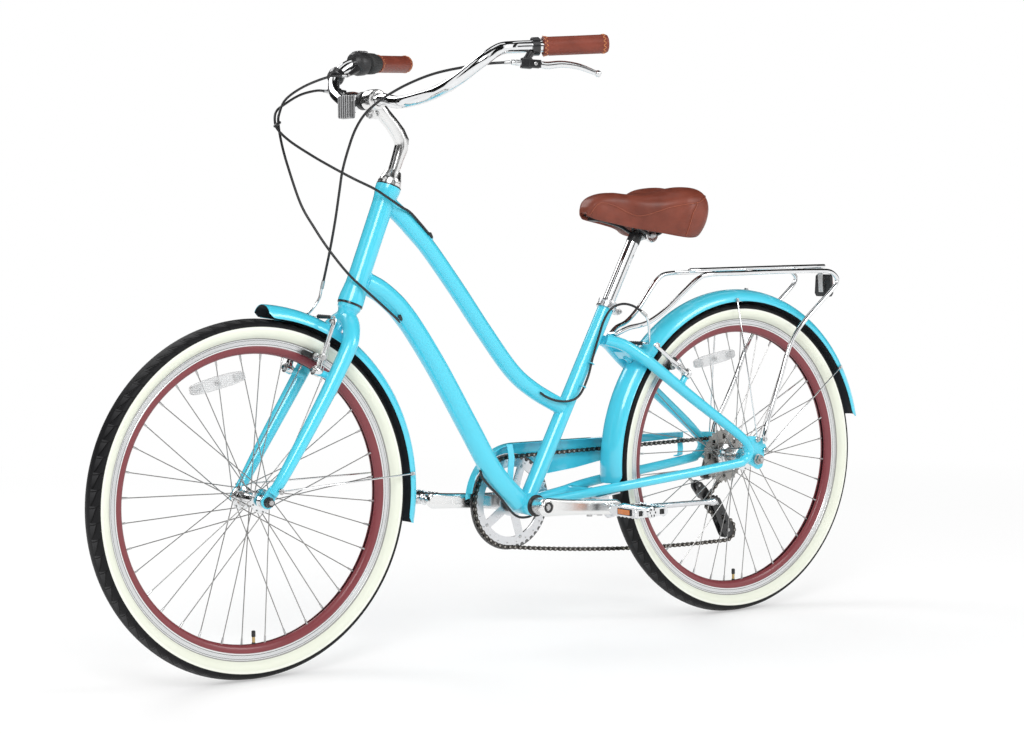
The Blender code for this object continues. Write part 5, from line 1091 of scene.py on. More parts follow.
def chain_path():
    """The chain's middle line: round the ring, a cog and both pulleys, sagging on the long lower run."""
    circles = [(CRANK_CENTRE.xz, pitch_radius(CHAINRING_TEETH), 1), (REAR_HUB.xz, pitch_radius(COG_TEETH[3]), 1),
               (GUIDE_PULLEY.xz, pitch_radius(PULLEY_TEETH), -1), (TENSION_PULLEY.xz, pitch_radius(PULLEY_TEETH), 1)]
    runs = [tangent(circles[k], circles[(k + 1) % 4]) for k in range(4)]
    points = []
    for k, (middle, radius, sense) in enumerate(circles):
        arrive, leave = runs[k - 1][1] - middle, runs[k][0] - middle
        start = math.atan2(arrive.y, arrive.x)
        swing = (math.atan2(leave.y, leave.x) - start) * sense % (2 * math.pi) * sense
        steps = max(2, round(abs(swing) / 0.05))
        for s in range(steps + 1):
            angle = start + swing * s / steps
            points.append(middle + Vector((math.cos(angle), math.sin(angle))) * radius)
    start, finish = runs[3]
    for s in range(1, 40):
        t = s / 40
        points.append(start.lerp(finish, t) - Vector((0.0, 0.01 * 4 * t * (1 - t))))
    return [xyz(p.x, -CHAIN_LINE, p.y) for p in points]


def roller_chain():
    """Inner and outer link plates by turns, with a roller on each pin."""
    path = chain_path()
    path.append(path[0])
    total = sum((b - a).length for a, b in zip(path, path[1:]))
    count = 2 * round(total / LINK_PITCH / 2)
    pins = even(path, total / count)[:count]
    plates, rollers = bmesh.new(), bmesh.new()
    for k, pin in enumerate(pins):
        heading = (pins[(k + 1) % count] - pin).normalized()
        reach = (pins[(k + 1) % count] - pin).length
        outline = []
        for end, base, waist in ((reach, -90, 0.0022), (0.0, 90, -0.0022)):
            outline += arc((end, 0.0), 0.0041, base, base + 180, 8) + [(reach / 2, waist)]
        for sign in (1, -1):
            inside = (0.0024 if k % 2 else 0.0013) * sign
            plates.from_mesh(prism(outline, pin + LEFT * inside, heading, heading.cross(LEFT), LEFT * 0.0009 * sign))
        rollers.from_mesh(spindle([(0.0038, -0.0012), (0.0038, 0.0012)], pin, LEFT, 10))
        rollers.from_mesh(spindle([(0.0022, -0.0036), (0.0022, 0.0036)], pin, LEFT, 8))
    return group((as_mesh(plates), CHAIN_STEEL), (as_mesh(rollers), PIN_STEEL))


piece("roller_chain", roller_chain(), "frame_body", "chain_steel", "chain")


def crank(sign):
    """A forged arm: deep round boss, waisted taper with soft edges, and a capped bolt."""
    side = DRIVE_SIDE * sign
    end = CRANK_AHEAD * CRANK_LENGTH * sign
    along = end.normalized()
    rise = along.cross(side)
    rings = []
    for reach, half in (
            (-0.0172, 0.004), (-0.015, 0.01), (-0.011, 0.014), (-0.006, 0.0167), (0.0, 0.0175),
            (0.007, 0.0174), (0.016, 0.0168), (0.03, 0.0158), (0.06, 0.0149), (0.1, 0.0143),
            (0.14, 0.0141), (0.156, 0.0144), (0.164, 0.0147), (0.17, 0.0148), (0.177, 0.0132),
            (0.1815, 0.0096), (0.1842, 0.0044)):
        slim = 0.0016 * math.exp(-((reach - 0.09) / 0.05) ** 2)
        rings.append([CRANK_CENTRE + along * reach + rise * half * a + side * (0.06 + slim + (0.0135 - 2 * slim) * b)
                      for a, b in ((-1, 0.25), (-1, 0.75), (-0.8, 0.98), (-0.35, 1.0), (0.35, 1.0), (0.8, 0.98),
                                   (1, 0.75), (1, 0.25), (0.86, 0.02), (0.35, 0.0), (-0.35, 0.0), (-0.86, 0.02))])
    arm = reworked(loft(rings), lambda work: bmesh.ops.subdivide_edges(
        work, edges=work.edges, cuts=1, smooth=0.6, use_grid_fill=True))
    inside = [(0.0138, 0.04), (0.0138, 0.052), (0.016, 0.058)] if sign > 0 else [(0.0164, 0.0382), (0.0172, 0.044)]
    rim = [(0.0108, 0.0728), (0.0124, 0.073), (0.013, 0.0737), (0.0124, 0.0744), (0.0108, 0.0745)]
    cap = [(0.006, 0.0715), (0.0108, 0.0715), (0.0108, 0.0742), (0.01, 0.075), (0.0066, 0.075), (0.006, 0.0744)]
    return group(
        *of(FORGED, arm, spindle(inside + [(0.0172, 0.0625)], CRANK_CENTRE, side, 40),
            turned(rim, CRANK_CENTRE, side, 40)),
        (turned(cap, CRANK_CENTRE, side, 36), BLACK),
        *of(STEEL, soften(spindle([(0.0054, 0.07), (0.0054, 0.0752)], CRANK_CENTRE, side, 6), 0.0005),
            knob(0.0098, 0.0735, 0.0742, CRANK_CENTRE + end, side, 32, 0.0003)))


piece("right_crank_arm", crank(1), "cranks", "satin_alloy", "right_crank", angle=55)
piece("left_crank_arm", crank(-1), "cranks", "satin_alloy", "left_crank", angle=55)
piece("bracket_axle", group((spindle([(0.0068, -0.059), (0.0068, 0.059)], CRANK_CENTRE, DRIVE_SIDE), STEEL)),
      "cranks", "grey_steel", "crank_spindle")


def pedal(sign):
    """Alloy cage with notched edges, barrel with its dust cap, and two reflectors."""
    side = DRIVE_SIDE * sign
    centre = CRANK_CENTRE + CRANK_AHEAD * CRANK_LENGTH * sign
    middle = centre + side * 0.14
    parts = []
    for way in (1, -1):
        outline = both([(-0.0405 + 0.081 * k / 14, 0.0112 if k % 2 else 0.0092) for k in range(15)])
        wall = prism(outline, middle + AHEAD * way * 0.0348, LEFT, UP, -AHEAD * way * 0.0018)
        window = block(middle + AHEAD * way * 0.034, (0.01, 0.044, 0.012), edge=0.0015)
        parts += [(soften(cut(wall, window), 0.0003, 1), BRIGHT),
                  (block(middle + AHEAD * way * 0.0335, (0.007, 0.04, 0.013), edge=0.001), BLACK),
                  (block(middle + AHEAD * way * 0.0366, (0.0028, 0.035, 0.01), edge=0.0006), AMBER)]
    for reach in (0.1015, 0.1785):
        bar_at = centre + side * reach
        end_plate = prism(capsule((-0.0335, 0.0), 0.0085, (0.0335, 0.0), 0.0085), bar_at - side * 0.001, AHEAD, UP,
                          side * 0.002)
        seats = [bar_at + AHEAD * at for at in (-0.0265, 0.0265)]
        gaps = [block(seat, (0.0115, 0.01, 0.0098), edge=0.0012) for seat in seats]
        parts += of(BRIGHT, soften(cut(end_plate, *gaps), 0.0004, 1))
        inward = -side * math.copysign(0.005, reach - 0.14)
        parts += of(BLACK, *[block(seat + inward, (0.0125, 0.006, 0.012), edge=0.001) for seat in seats])
    for way in (1, -1):
        parts += of(BRIGHT, block(middle + AHEAD * way * 0.02, (0.026, 0.006, 0.005), edge=0.001), *[
            block(middle + AHEAD * way * 0.019 + side * turn * 0.027, (0.03, 0.004, 0.006), edge=0.001)
            for turn in (1, -1)])
    barrel = [(0.0062, 0.0615), (0.0062, 0.088), (0.009, 0.0885), (0.009, 0.0935), (0.0065, 0.094),
              (0.0065, 0.095), (0.0104, 0.096), (0.011, 0.0975), (0.0098, 0.108), (0.009, 0.14),
              (0.0098, 0.17), (0.011, 0.179), (0.0108, 0.1822), (0.009, 0.1832), (0.002, 0.1834)]
    studs = [block(centre + side * 0.1833 + swung(AHEAD, UP, math.pi * k / 3) * 0.0068, (0.0018, 0.0012, 0.004), side,
                   AHEAD) for k in range(6)]
    return group(*parts, (spindle(barrel, centre, side), BRIGHT), *of(BLACK, *studs))


piece("right_pedal_cage", pedal(1), "pedal_right", "satin_alloy", "right_pedal")
piece("left_pedal_cage", pedal(-1), "pedal_left", "satin_alloy", "left_pedal")


def strap(stations, thick, edge):
    """A thin bent strap through stations of (x, y, z, lean)."""
    return soften(loft([[xyz(x + a * 0.007, y - b * thick, z + b * thick * lean)
                         for a, b in ((-1, -1), (1, -1), (1, 1), (-1, 1))] for x, y, z, lean in stations]), edge, 1)


def chain_case():
    """Side plate over the top run with its turned lip, hooked round the ring, and two straps."""
    outline = [(0.092, 0.365), (0.092, 0.3777), (0.2, 0.3792), (0.308, 0.38), (0.44, 0.3812)]
    outline += [at_angle(CRANK_CENTRE, 0.1155 - 0.01 * k / 24, 92 - 86 * k / 24).xz for k in range(25)]
    outline += arc(CRANK_CENTRE.xz, 0.095, 8, 108, 24)
    outline += [(0.49, 0.329), (0.45, 0.315), (0.38, 0.3215), (0.308, 0.3325), (0.255, 0.3475), (0.205, 0.362)]
    inner, outer = -0.0528, -0.0543
    rings = []
    for x, z in outline[1:28]:
        edge = xyz(x, 0.0, z)
        out = (edge - xyz(0.4, 0.0, 0.3)).normalized()
        rings.append([edge + LEFT * y - out * d for y, d in (
            (-0.035, 0.0008), (-0.0356, 0.0), (-0.053, 0.0), (outer, 0.0004), (outer, 0.0015), (-0.035, 0.0015))])
    front = [(0.556, -0.037, 0.3815, 0.0), (0.556, -0.03, 0.355, 0.0), (0.562, -0.025, 0.334, 0.0),
             (0.566, -0.0217, 0.315, 0.0), (0.57, -0.0217, 0.299, 0.0)]
    rear = [(0.102, -0.0535, 0.368, 0.0), (0.099, -0.0535, 0.342, 0.0), (0.097, -0.058, 0.329, 0.6),
            (0.097, -0.07, 0.3256, 1.5)]
    return group(*of(PAINT, soften(plate(outline, inner, outer), 0.0004, 2, 50), loft(rings),
                     strap(front, -0.001, 0.0004), strap(rear, 0.0008, 0.0003)),
                 *bolt(xyz(0.1, -0.0524, 0.36), LEFT, 0.004, 0.0024))


piece("chain_case", chain_case(), "frame_body", "turquoise_paint", "chain_guard")


# Derailleur
def hanger():
    return group(
        (soften(plate(capsule((0.0, 0.323), 0.013, (0.015, 0.286), 0.0095), -0.0753, -0.0723), 0.0004), STEEL),
        (knob(0.0105, 0.06, 0.075, xyz(0.017, 0.0, 0.281), DRIVE_SIDE, 32, 0.001), SATIN_BLACK),
        *bolt(xyz(0.017, -0.0752, 0.281), DRIVE_SIDE, 0.0062, 0.0044))


def mech_body():
    """Knuckle, link plates with a coil between them, and the stub that carries the cage."""
    parts = []
    for start, start_radius, end, end_radius, inner, outer, edge in (
            ((0.044, 0.26), 0.011, (0.028, 0.242), 0.012, -0.072, -0.0655, 0.0012),
            ((0.042, 0.259), 0.009, (0.029, 0.2435), 0.0095, -0.0615, -0.056, 0.001),
            ((0.036, 0.25), 0.011, (0.012, 0.222), 0.0125, -0.065, -0.0535, 0.0014)):
        parts += of(SATIN_BLACK, soften(plate(capsule(start, start_radius, end, end_radius), inner, outer), edge))
    parts += of(STEEL, spindle([(0.0042, 0.05), (0.0042, 0.056)], GUIDE_PULLEY, DRIVE_SIDE, 24), *[
        knob(0.003, -0.0726, -0.055, xyz(x, 0.0, z), LEFT, 16, 0.0004)
        for x, z in ((0.044, 0.26), (0.028, 0.242), (0.0385, 0.25))])
    parts += bolt(xyz(0.012, -0.065, 0.222), DRIVE_SIDE, 0.0056, 0.004)
    for shift in (0.0, 0.0065):
        parts += bolt(xyz(0.05 - shift * 0.4, -0.069 + shift, 0.2665), AHEAD + UP, 0.0019, 0.003, False)
    coil = [xyz(0.03, -0.0635, 0.244) + xyz(0.007, 0.0, 0.0085) * (k / 60) + LEFT * 0.0024 * math.sin(k * 1.05)
            + xyz(0.7, 0.0, -0.7) * 0.0032 * math.cos(k * 1.05) for k in range(61)]
    return group(*parts, (tube(coil, 0.0005, 6), STEEL))


def mech_cage():
    parts = []
    for outer, top, foot, start, stop in ((True, 0.015, 0.017, -0.0528, -0.051),
                                          (False, 0.013, 0.015, -0.039, -0.0372)):
        holes = [rod(GUIDE_PULLEY.lerp(TENSION_PULLEY, share), size, 0.03, 0.06)
                 for share, size in ((0.34, 0.0046), (0.52, 0.005), (0.7, 0.004))]
        if outer:
            holes.append(rod(GUIDE_PULLEY, 0.005, 0.05, 0.056))
            holes += [rod(at_angle(TENSION_PULLEY, 0.0118, turn), 0.0019, 0.03, 0.06, 12)
                      for turn in (-70, -30, 150, 190)]
        outline = capsule(GUIDE_PULLEY.xz, top, TENSION_PULLEY.xz, foot)
        parts += of(SATIN_BLACK, soften(cut(plate(outline, start, stop), *holes), 0.0003, 1, 40))
    parts += of(SATIN_BLACK, cut(
        plate([(-0.03, 0.172), (-0.04, 0.168), (-0.052, 0.16), (-0.053, 0.152), (-0.05, 0.143), (-0.028, 0.148)],
              -0.0528, -0.051),
        plate([(-0.049, 0.16), (-0.04, 0.164), (-0.039, 0.161), (-0.048, 0.157)], -0.054, -0.05),
        plate([(-0.048, 0.154), (-0.038, 0.1575), (-0.037, 0.1545), (-0.047, 0.151)], -0.054, -0.05)))
    for at, end in ((GUIDE_PULLEY, 0.0495), (TENSION_PULLEY, 0.052)):
        parts += of(STEEL, rod(at, 0.003, 0.038, end))
        parts += bolt(at + DRIVE_SIDE * 0.0372, LEFT, 0.0034, 0.0026, False)
    return group(*parts, *bolt(TENSION_PULLEY + DRIVE_SIDE * 0.0528, DRIVE_SIDE, 0.0034, 0.0022, False))


def jockey(centre):
    disc = toothed(PULLEY_TEETH, 0.0174, 0.0146, 0.0028, CHAIN_LINE, centre)
    return group((cut(disc, rod(centre, 0.0038, 0.04, 0.05), *[
        rod(at_angle(centre, 0.0092, 60 * k), 0.0018, 0.04, 0.05, 12) for k in range(6)]), BLACK))


piece("mech_hanger", hanger(), "frame_body", "grey_steel", "derailleur_hanger")
piece("mech_linkage", mech_body(), "derailleur", "black_plastic", "derailleur_body")
piece("mech_cage", mech_cage(), "derailleur_arm", "black_plastic", "derailleur_cage")
piece("upper_jockey", jockey(GUIDE_PULLEY), "upper_pulley", "black_plastic", "guide_pulley")
piece("lower_jockey", jockey(TENSION_PULLEY), "lower_pulley", "black_plastic", "tension_pulley")


# Stand
STAND_PIVOT = xyz(0.356, 0.047, 0.244)
STAND_AXIS = xyz(-0.143, 0.952, 0.27).normalized()
piece("stand_bracket", group(
    *of(ALLOY, block(xyz(0.375, 0.0, 0.275), (0.056, 0.1, 0.003), xyz(1, 0, -0.11).normalized(), LEFT, 0.0007),
        soften(block(xyz(0.376, 0.01, 0.2545), (0.04, 0.034, 0.04)), 0.005, 4),
        knob(0.012, -0.024, -0.0105, STAND_PIVOT, STAND_AXIS, 36, 0.001)),
    *bolt(xyz(0.364, 0.005, 0.2346), -UP, 0.0058, 0.005), *bolt(xyz(0.39, 0.005, 0.2346), -UP, 0.0058, 0.005),
    (knob(0.002, 0.0, 0.009, xyz(0.385, 0.027, 0.25), LEFT), STEEL)), "frame_body", "satin_alloy",
    "kickstand_bracket")
stand_path = [(*STAND_PIVOT, 0.0085), (0.342, 0.0476, 0.244, 0.0078), (0.32, 0.048, 0.244, 0.0066),
              (0.23, 0.046, 0.2425, 0.0058), (0.15, 0.044, 0.241, 0.0055), (0.11, 0.043, 0.2401, 0.0056),
              (0.102, 0.0429, 0.2399, 0.0072), (0.095, 0.0427, 0.2397, 0.0084), (0.0905, 0.0426, 0.2396, 0.0074)]
piece("stand_leg", group(
    *of(ALLOY, tube(smooth(stand_path, 4), sides=24, dome=0.8),
        knob(0.011, -0.01, 0.007, STAND_PIVOT, STAND_AXIS, 36, 0.0012)),
    *bolt(STAND_PIVOT + STAND_AXIS * 0.007, STAND_AXIS, 0.005, 0.004)), "kickstand", "satin_alloy", "kickstand_leg")


# Seat post and saddle
POST_TOP = 0.5735
post_head = CRANK_CENTRE + SEAT_UP * POST_TOP
neck = SADDLE_PIVOT - (post_head + SEAT_UP * 0.012)
piece("chromed_post", group(
    (spindle([(0.0127, 0.327), (0.0127, POST_TOP)], CRANK_CENTRE, SEAT_UP, 48), CHROME),
    (turned([(0.01, 0.0), (0.0129, 0.0), (0.0135, 0.001), (0.0135, 0.015), (0.0128, 0.019), (0.0112, 0.02),
             (0.01, 0.02)], post_head, SEAT_UP, 40), BLACK),
    *of(STEEL, tube([(*(post_head + SEAT_UP * 0.008), 0.0105), (*(post_head + SEAT_UP * 0.01 + neck * 0.5), 0.009),
                     (*SADDLE_PIVOT, 0.0085)], sides=28),
        knob(0.0105, -0.019, 0.019, SADDLE_PIVOT, LEFT, 32, 0.001))), "post", "chrome", "seat_post")

SADDLE_REAR = 0.13
SADDLE_LENGTH = 0.268
SADDLE_CORE = 0.835
# Share of the length, half width, underside, top, lift of the crowns beside the middle, and height of the pan.
SADDLE_STATIONS = [(0.0, 0.056, 0.804, 0.859, 0.0, 0.815), (0.03, 0.078, 0.793, 0.869, 0.002, 0.807),
                   (0.1, 0.097, 0.785, 0.8765, 0.005, 0.806), (0.2, 0.102, 0.7835, 0.8795, 0.005, 0.807),
                   (0.32, 0.099, 0.7865, 0.876, 0.005, 0.808), (0.43, 0.083, 0.7915, 0.869, 0.002, 0.809),
                   (0.53, 0.059, 0.797, 0.8665, 0.0, 0.811), (0.64, 0.039, 0.803, 0.868, 0.0, 0.8145),
                   (0.76, 0.032, 0.8095, 0.8705, 0.0, 0.82), (0.87, 0.029, 0.815, 0.867, 0.0, 0.8245),
                   (0.95, 0.025, 0.8195, 0.858, 0.0, 0.828), (1.0, 0.013, 0.826, 0.842, 0.0, 0.832)]
LAST_STATION = 11.0
LAST_COLUMN = 16.0
CROWN_COLUMN = 8.0


def falling(value, end):
    """1 at nothing, straight down to 0 at the end and beyond."""
    return max(0.0, 1.0 - value / end)


def saddle_ring(share, half, low, high, hump, recess):
    """One cross-section of the cover, from the right edge's underside over the top to the left."""
    x = SADDLE_REAR + SADDLE_LENGTH * share
    rise = high - low
    ring = []
    for a, b in ((-0.7, (recess - low) / rise), (-0.76, 0.0), (-0.88, 0.0), (-0.985, 0.24), (-1.0, 0.55),
                 (-0.93, 0.79), (-0.68, 0.945), (-0.33, 1.0)):
        back = 0.015 * falling(share, 0.5) * falling(b, 0.8) ** 2
        tuck = 1.0 - 0.05 * falling(share, 0.35) * falling(b, 0.5)
        lift = hump * max(0.0, b - 0.6) / 0.4 * abs(a) * 1.5
        ring.append(xyz(x + back, half * a * tuck, low + rise * b + lift))
    return ring + [xyz(x, 0.0, high - 0.4 * hump)] + mirrored(reversed(ring))


SADDLE_RINGS = [saddle_ring(*station) for station in SADDLE_STATIONS]
# Seams by (station, ring point): along each side from the nose to the tail, and up from it at the back.
SIDE_SEAM = smooth([(10.8, 14.0), (10.65, 13.1), (10.25, 11.95), (9.7, 11.35), (9.05, 11.5), (8.35, 11.9),
                    (7.8, 12.25), (7.3, 12.5), (6.75, 12.65), (6.2, 12.43), (5.65, 12.08), (5.05, 11.72),
                    (4.35, 11.6), (3.55, 11.55), (2.9, 11.45), (2.25, 11.1), (1.5, 10.6), (0.8, 10.1), (0.28, 9.4),
                    (0.12, 8.7), (0.1, 8.0)], 8)
REAR_SEAM = smooth([(3.1, 11.55), (3.45, 12.2), (3.58, 12.75), (3.6, 13.35), (3.55, 13.7), (3.5, 14.0)], 8)


def from_core(spot):
    """The direction to a point of the cover from the saddle's middle line."""
    return (spot - xyz(spot.x, 0.0, SADDLE_CORE)).normalized()


def saddle_cover():
    """The stuffed cover: two crowns, drawn-in skirt, and a fold along each seam."""
    length_steps, round_steps = 110, 96
    rings = []
    for i in range(length_steps + 1):
        u = LAST_STATION * i / length_steps
        columns = [curve_at(column, u) for column in zip(*SADDLE_RINGS)]
        ring = []
        for j in range(round_steps + 1):
            v = LAST_COLUMN * j / round_steps
            spot = curve_at(columns, v)
            side = v if v >= CROWN_COLUMN else LAST_COLUMN - v
            near, fold = min((((u - f.x) * 0.9) ** 2 + (side - f.y) ** 2, f.y) for f in SIDE_SEAM + REAR_SEAM)
            if 8.2 < side < 14.2:
                drawn = 0.0011 * math.exp(-near / 0.02)
                if side > fold and u < 10.7:
                    drawn += 0.0016 * (1.0 - math.exp(-near / 0.03)) * math.exp(-near / 0.9)
                spot = spot - from_core(spot) * drawn
            ring.append(spot)
        rings.append(ring)
    return loft(rings)


def seam_roll(line, sign):
    """A thin roll laid in a seam's fold."""
    path = [curve_at([curve_at(ring, f.y) for ring in SADDLE_RINGS], f.x) for f in line]
    return tube([to_side(spot - from_core(spot) * 0.0006, sign) for spot in path], 0.0011, 8)


cover = piece("saddle_cushion", group(
    (saddle_cover(), LEATHER),
    *of(SEAM, *[seam_roll(line, sign) for line in (SIDE_SEAM, REAR_SEAM) for sign in (1, -1)])),
    "saddle", "brown_leather", "saddle_cover", angle=60)


def saddle_frame():
    """Moulded base, two bent rails and the clamp's cheeks with their bolt."""
    rings = []
    for share, half, low, high, _, recess in SADDLE_STATIONS[3:-1]:
        back = 0.015 * falling(share, 0.5) * (1.0 - (recess - low) / (high - low) / 0.8) ** 2
        rings.append([xyz(SADDLE_REAR + SADDLE_LENGTH * share + back, half * 0.62 * a, recess - 0.0006 - 0.003 * b)
                      for b, a in both([(0.0, -1.0), (0.8, -0.96), (1.0, -0.8), (0.7, -0.35)], 1.0)])
    parts = of(BLACK, loft(rings))
    rail = [(0.375, 0.006, 0.8225), (0.358, 0.014, 0.8195), (0.32, 0.0205, 0.812), (0.285, 0.0235, 0.804),
            (0.265, 0.0245, 0.7945), (0.245, 0.026, 0.786), (0.229, 0.029, 0.7885), (0.219, 0.031, 0.7955),
            (0.216, 0.032, 0.8045)]
    for sign in (1, -1):
        out = LEFT * sign
        parts += of(SATIN_BLACK, tube(smooth(rail if sign > 0 else mirrored(rail), 5), 0.0035, 16))
        parts += of(BRIGHT, turned([(0.006, 0.0198), (0.014, 0.0198), (0.0155, 0.0208), (0.0155, 0.0262),
                                    (0.0144, 0.0275), (0.0105, 0.0268), (0.006, 0.0268)], SADDLE_PIVOT, out, 40))
        for k in range(24):
            way = swung(AHEAD, UP, k * math.pi / 12)
            parts += of(STEEL, block(SADDLE_PIVOT + out * 0.027 + way * 0.013, (0.003, 0.0012, 0.0009), way))
        parts.append(nut(SADDLE_PIVOT, out, 0.0066, 0.0262, 0.0322))
    nose_clip = block(xyz(0.372, 0.0, 0.8175), (0.012, 0.026, 0.006), xyz(0.97, 0, 0.24).normalized(), LEFT, 0.001)
    return group(*parts, (knob(0.0035, -0.033, 0.033, SADDLE_PIVOT, LEFT), STEEL), (nose_clip, BLACK))


piece("saddle_base", saddle_frame(), "saddle", "black_plastic", "saddle_rails")


# Fork, headset and stem
FORK_BLADE = [(0.9572, 0.012, 0.6372), (0.9632, 0.0295, 0.627), (0.9732, 0.045, 0.609),
              (0.985, 0.054, 0.5905), (1.015, 0.0592, 0.542), (1.0427, 0.0611, 0.498),
              (1.0938, 0.0618, 0.42), (1.1324, 0.06, 0.361), (1.15, 0.0565, 0.336)]
FORK_RADII = [0.0165, 0.016, 0.0155, 0.015, 0.0142, 0.0135, 0.012, 0.0105, 0.0095]


def fork_piece():
    blade = with_radii(FORK_BLADE, FORK_RADII)
    whole = tube(smooth(list(reversed(mirrored(blade))) + [(0.956, 0.0, 0.6392, 0.0166)] + blade, 5), sides=30,
                 side=AHEAD)
    crown = spindle([(0.0166, -0.03), (0.0172, -0.022), (0.018, -0.0165), (0.0196, -0.0128), (0.0216, -0.01),
                     (0.0218, -0.005), (0.0218, -0.003), (0.0127, -0.003), (0.0127, HEAD_LENGTH + 0.026)],
                    HEAD_BOTTOM, HEAD_UP, 44)
    ends = []
    for sign in (1, -1):
        ends.append(soften(plate(capsule((1.148, 0.342), 0.009, (FRONT_HUB.x, FRONT_HUB.z), 0.0125), sign * 0.052,
                                 sign * 0.057), 0.0006))
        ends.append(brake_boss(to_side(FRONT_BRAKE_SEAT, sign), HEAD_AHEAD))
    joined = weld(whole, crown, *ends)
    race = turned([(0.0128, -0.004), (0.0232, -0.004), (0.0238, -0.0034), (0.0238, -0.0006), (0.0232, 0.0001),
                   (0.0128, 0.0001)], HEAD_BOTTOM, HEAD_UP, 44)
    return group(*of(PAINT, joined, *[weld_bead(path, 0.0014) for path in seam_loops(joined)]), (race, SATIN_BLACK))


piece("fork_blades", fork_piece(), "fork_body", "turquoise_paint", "fork")
piece("headset_cover", group(
    (turned([(0.0132, 0.0005), (0.023, 0.0005), (0.0234, 0.001), (0.0234, 0.0024), (0.0222, 0.0032)], HEAD_TOP,
            HEAD_UP), BLACK),
    (turned([(0.0132, 0.003), (0.0224, 0.003), (0.0224, 0.0085), (0.0208, 0.0098), (0.0206, 0.015),
             (0.0196, 0.0165), (0.016, 0.028), (0.015, 0.0306), (0.0132, 0.0312)], HEAD_TOP, HEAD_UP), FORGED)),
    "fork_body", "satin_alloy", "headset_locknut")


def stem_section(centre, ahead, half_deep, half_wide, ridge):
    """A forged section: flat-sided with a raised spine front and back."""
    flank = [(0.93, 0.38), (0.62, 0.8), (0.2, 1.0), (-0.2, 1.0), (-0.62, 0.8), (-0.93, 0.38)]
    return [centre + ahead.normalized() * half_deep * a + LEFT * half_wide * b
            for a, b in [(1.0, 0.0)] + both(flank, -1.0 - ridge)]


def stem_piece():
    square = xyz(0.678, 0.0, -0.735)
    stations = [(HEAD_TOP + HEAD_UP * height, HEAD_AHEAD, deep, wide, ridge) for height, deep, wide, ridge in (
        (0.024, 0.0108, 0.0108, 0.0), (0.04, 0.0112, 0.011, 0.0), (0.06, 0.0124, 0.0112, 0.02),
        (0.078, 0.0138, 0.0114, 0.04))]
    stations += [(xyz(x, 0.0, z), ahead, deep, wide, ridge) for x, z, ahead, deep, wide, ridge in (
        (0.829, 0.965, xyz(0.99, 0.0, -0.14), 0.0155, 0.0116, 0.1),
        (0.8375, 0.98, xyz(0.86, 0.0, -0.51), 0.015, 0.0116, 0.02),
        (0.85, 0.995, square, 0.014, 0.0115, 0.0), (0.866, 1.011, square, 0.0138, 0.0118, 0.0),
        (0.88, 1.026, square, 0.0142, 0.013, 0.0))]
    arm = soften(loft([stem_section(*s) for s in stations]), 0.0006, angle=24)
    ring = both([(BAR_BORE, -0.018), (0.015, -0.018), (0.0172, -0.017), (0.0188, -0.0146), (0.0196, -0.01)],
                0.0198)
    down = (xyz(0.882, 0.0, 1.012) - STEM_CLAMP).normalized()
    lugs = [block(xyz(0.889 + shift, 0.0, 1.016), (0.023, 0.019, 0.0085), down, LEFT, 0.0022)
            for shift in (-0.0062, 0.0062)]
    bolt_at = xyz(0.8985, 0.0, 1.012)
    return group(*of(FORGED, spindle([(0.0108, -0.09), (0.0108, 0.04)], HEAD_TOP, HEAD_UP, 40), arm,
                     turned(ring, STEM_CLAMP, LEFT, 56), *lugs),
                 (knob(0.0042, -0.026, 0.004, bolt_at, AHEAD, edge=0.0005), STEEL),
                 *bolt(bolt_at, AHEAD, 0.0056, 0.0056))


piece("forged_stem", stem_piece(), "fork_body", "satin_alloy", "stem", angle=30)

BAR_SIDE = [(0.89, 0.035, 1.0385), (0.8885, 0.09, 1.031), (0.862, 0.145, 1.0435), (0.847, 0.2, 1.065),
            (0.82, 0.236, 1.0965), (0.785, 0.244, 1.1195), (0.7515, 0.2472, 1.125), tuple(GRIP_START)]
GRIP_LENGTH = (GRIP_END - GRIP_START).length
GRIP_WAY = (GRIP_END - GRIP_START).normalized()
bar_side = smooth(BAR_SIDE, 8) + [GRIP_END - GRIP_WAY * 0.004]
bar_path = mirrored(reversed(bar_side)) + [STEM_CLAMP + LEFT * (0.02 * k) for k in (-1, 0, 1)] + bar_side
piece("bent_bar", group((tube(bar_path, 0.0111, 36, side=UP), CHROME)), "fork_body", "chrome", "handlebar")


def grip_line(sign):
    return to_side(GRIP_START, sign), to_side(GRIP_WAY, sign)


def grip(sign):
    """Wrapped grip: end rings, a butt seam along it and a zigzag lacing at each end."""
    start, heading = grip_line(sign)
    length = GRIP_LENGTH
    first, second = across(heading, UP)
    profile = [(0.0118, 0.0006), (0.016, 0.0006), (0.0174, 0.0014), (0.0181, 0.0032), (0.0178, 0.0052),
               (0.0169, 0.0064), (0.0166, 0.012), (0.0165, length / 2), (0.0167, length - 0.014),
               (0.0169, length - 0.0085), (0.0165, length - 0.0045), (0.015, length - 0.0018),
               (0.012, length - 0.0004), (0.004, length)]
    parts = of(GRIP_LEATHER, spindle(profile, start, heading, 64))
    stitches = 4 * 13
    for low, high in ((0.0016, 0.0078), (length - 0.0118, length - 0.007)):
        zigzag = []
        for k in range(stitches + 1):
            height = (low + high) / 2 + (0.0, 1.0, 0.0, -1.0)[k % 4] * (high - low) / 2
            bulge = 0.0186 if height < 0.0045 else 0.0172
            zigzag.append(start + heading * height + swung(first, second, 2 * math.pi * k / stitches) * bulge)
        parts += of(THREAD, tube(smooth(zigzag, 2), 0.00055, 6, side=heading))
    under = [start + heading * h - first * 0.0167 for h in (0.011, length / 2, length - 0.012)]
    return group(*parts, (tube(under, 0.0006, 6), SEAM))


for side_name, side_sign in SIDES:
    piece(side_name + "_hand_grip", grip(side_sign), "fork_body", "brown_leather", side_name + "_grip")


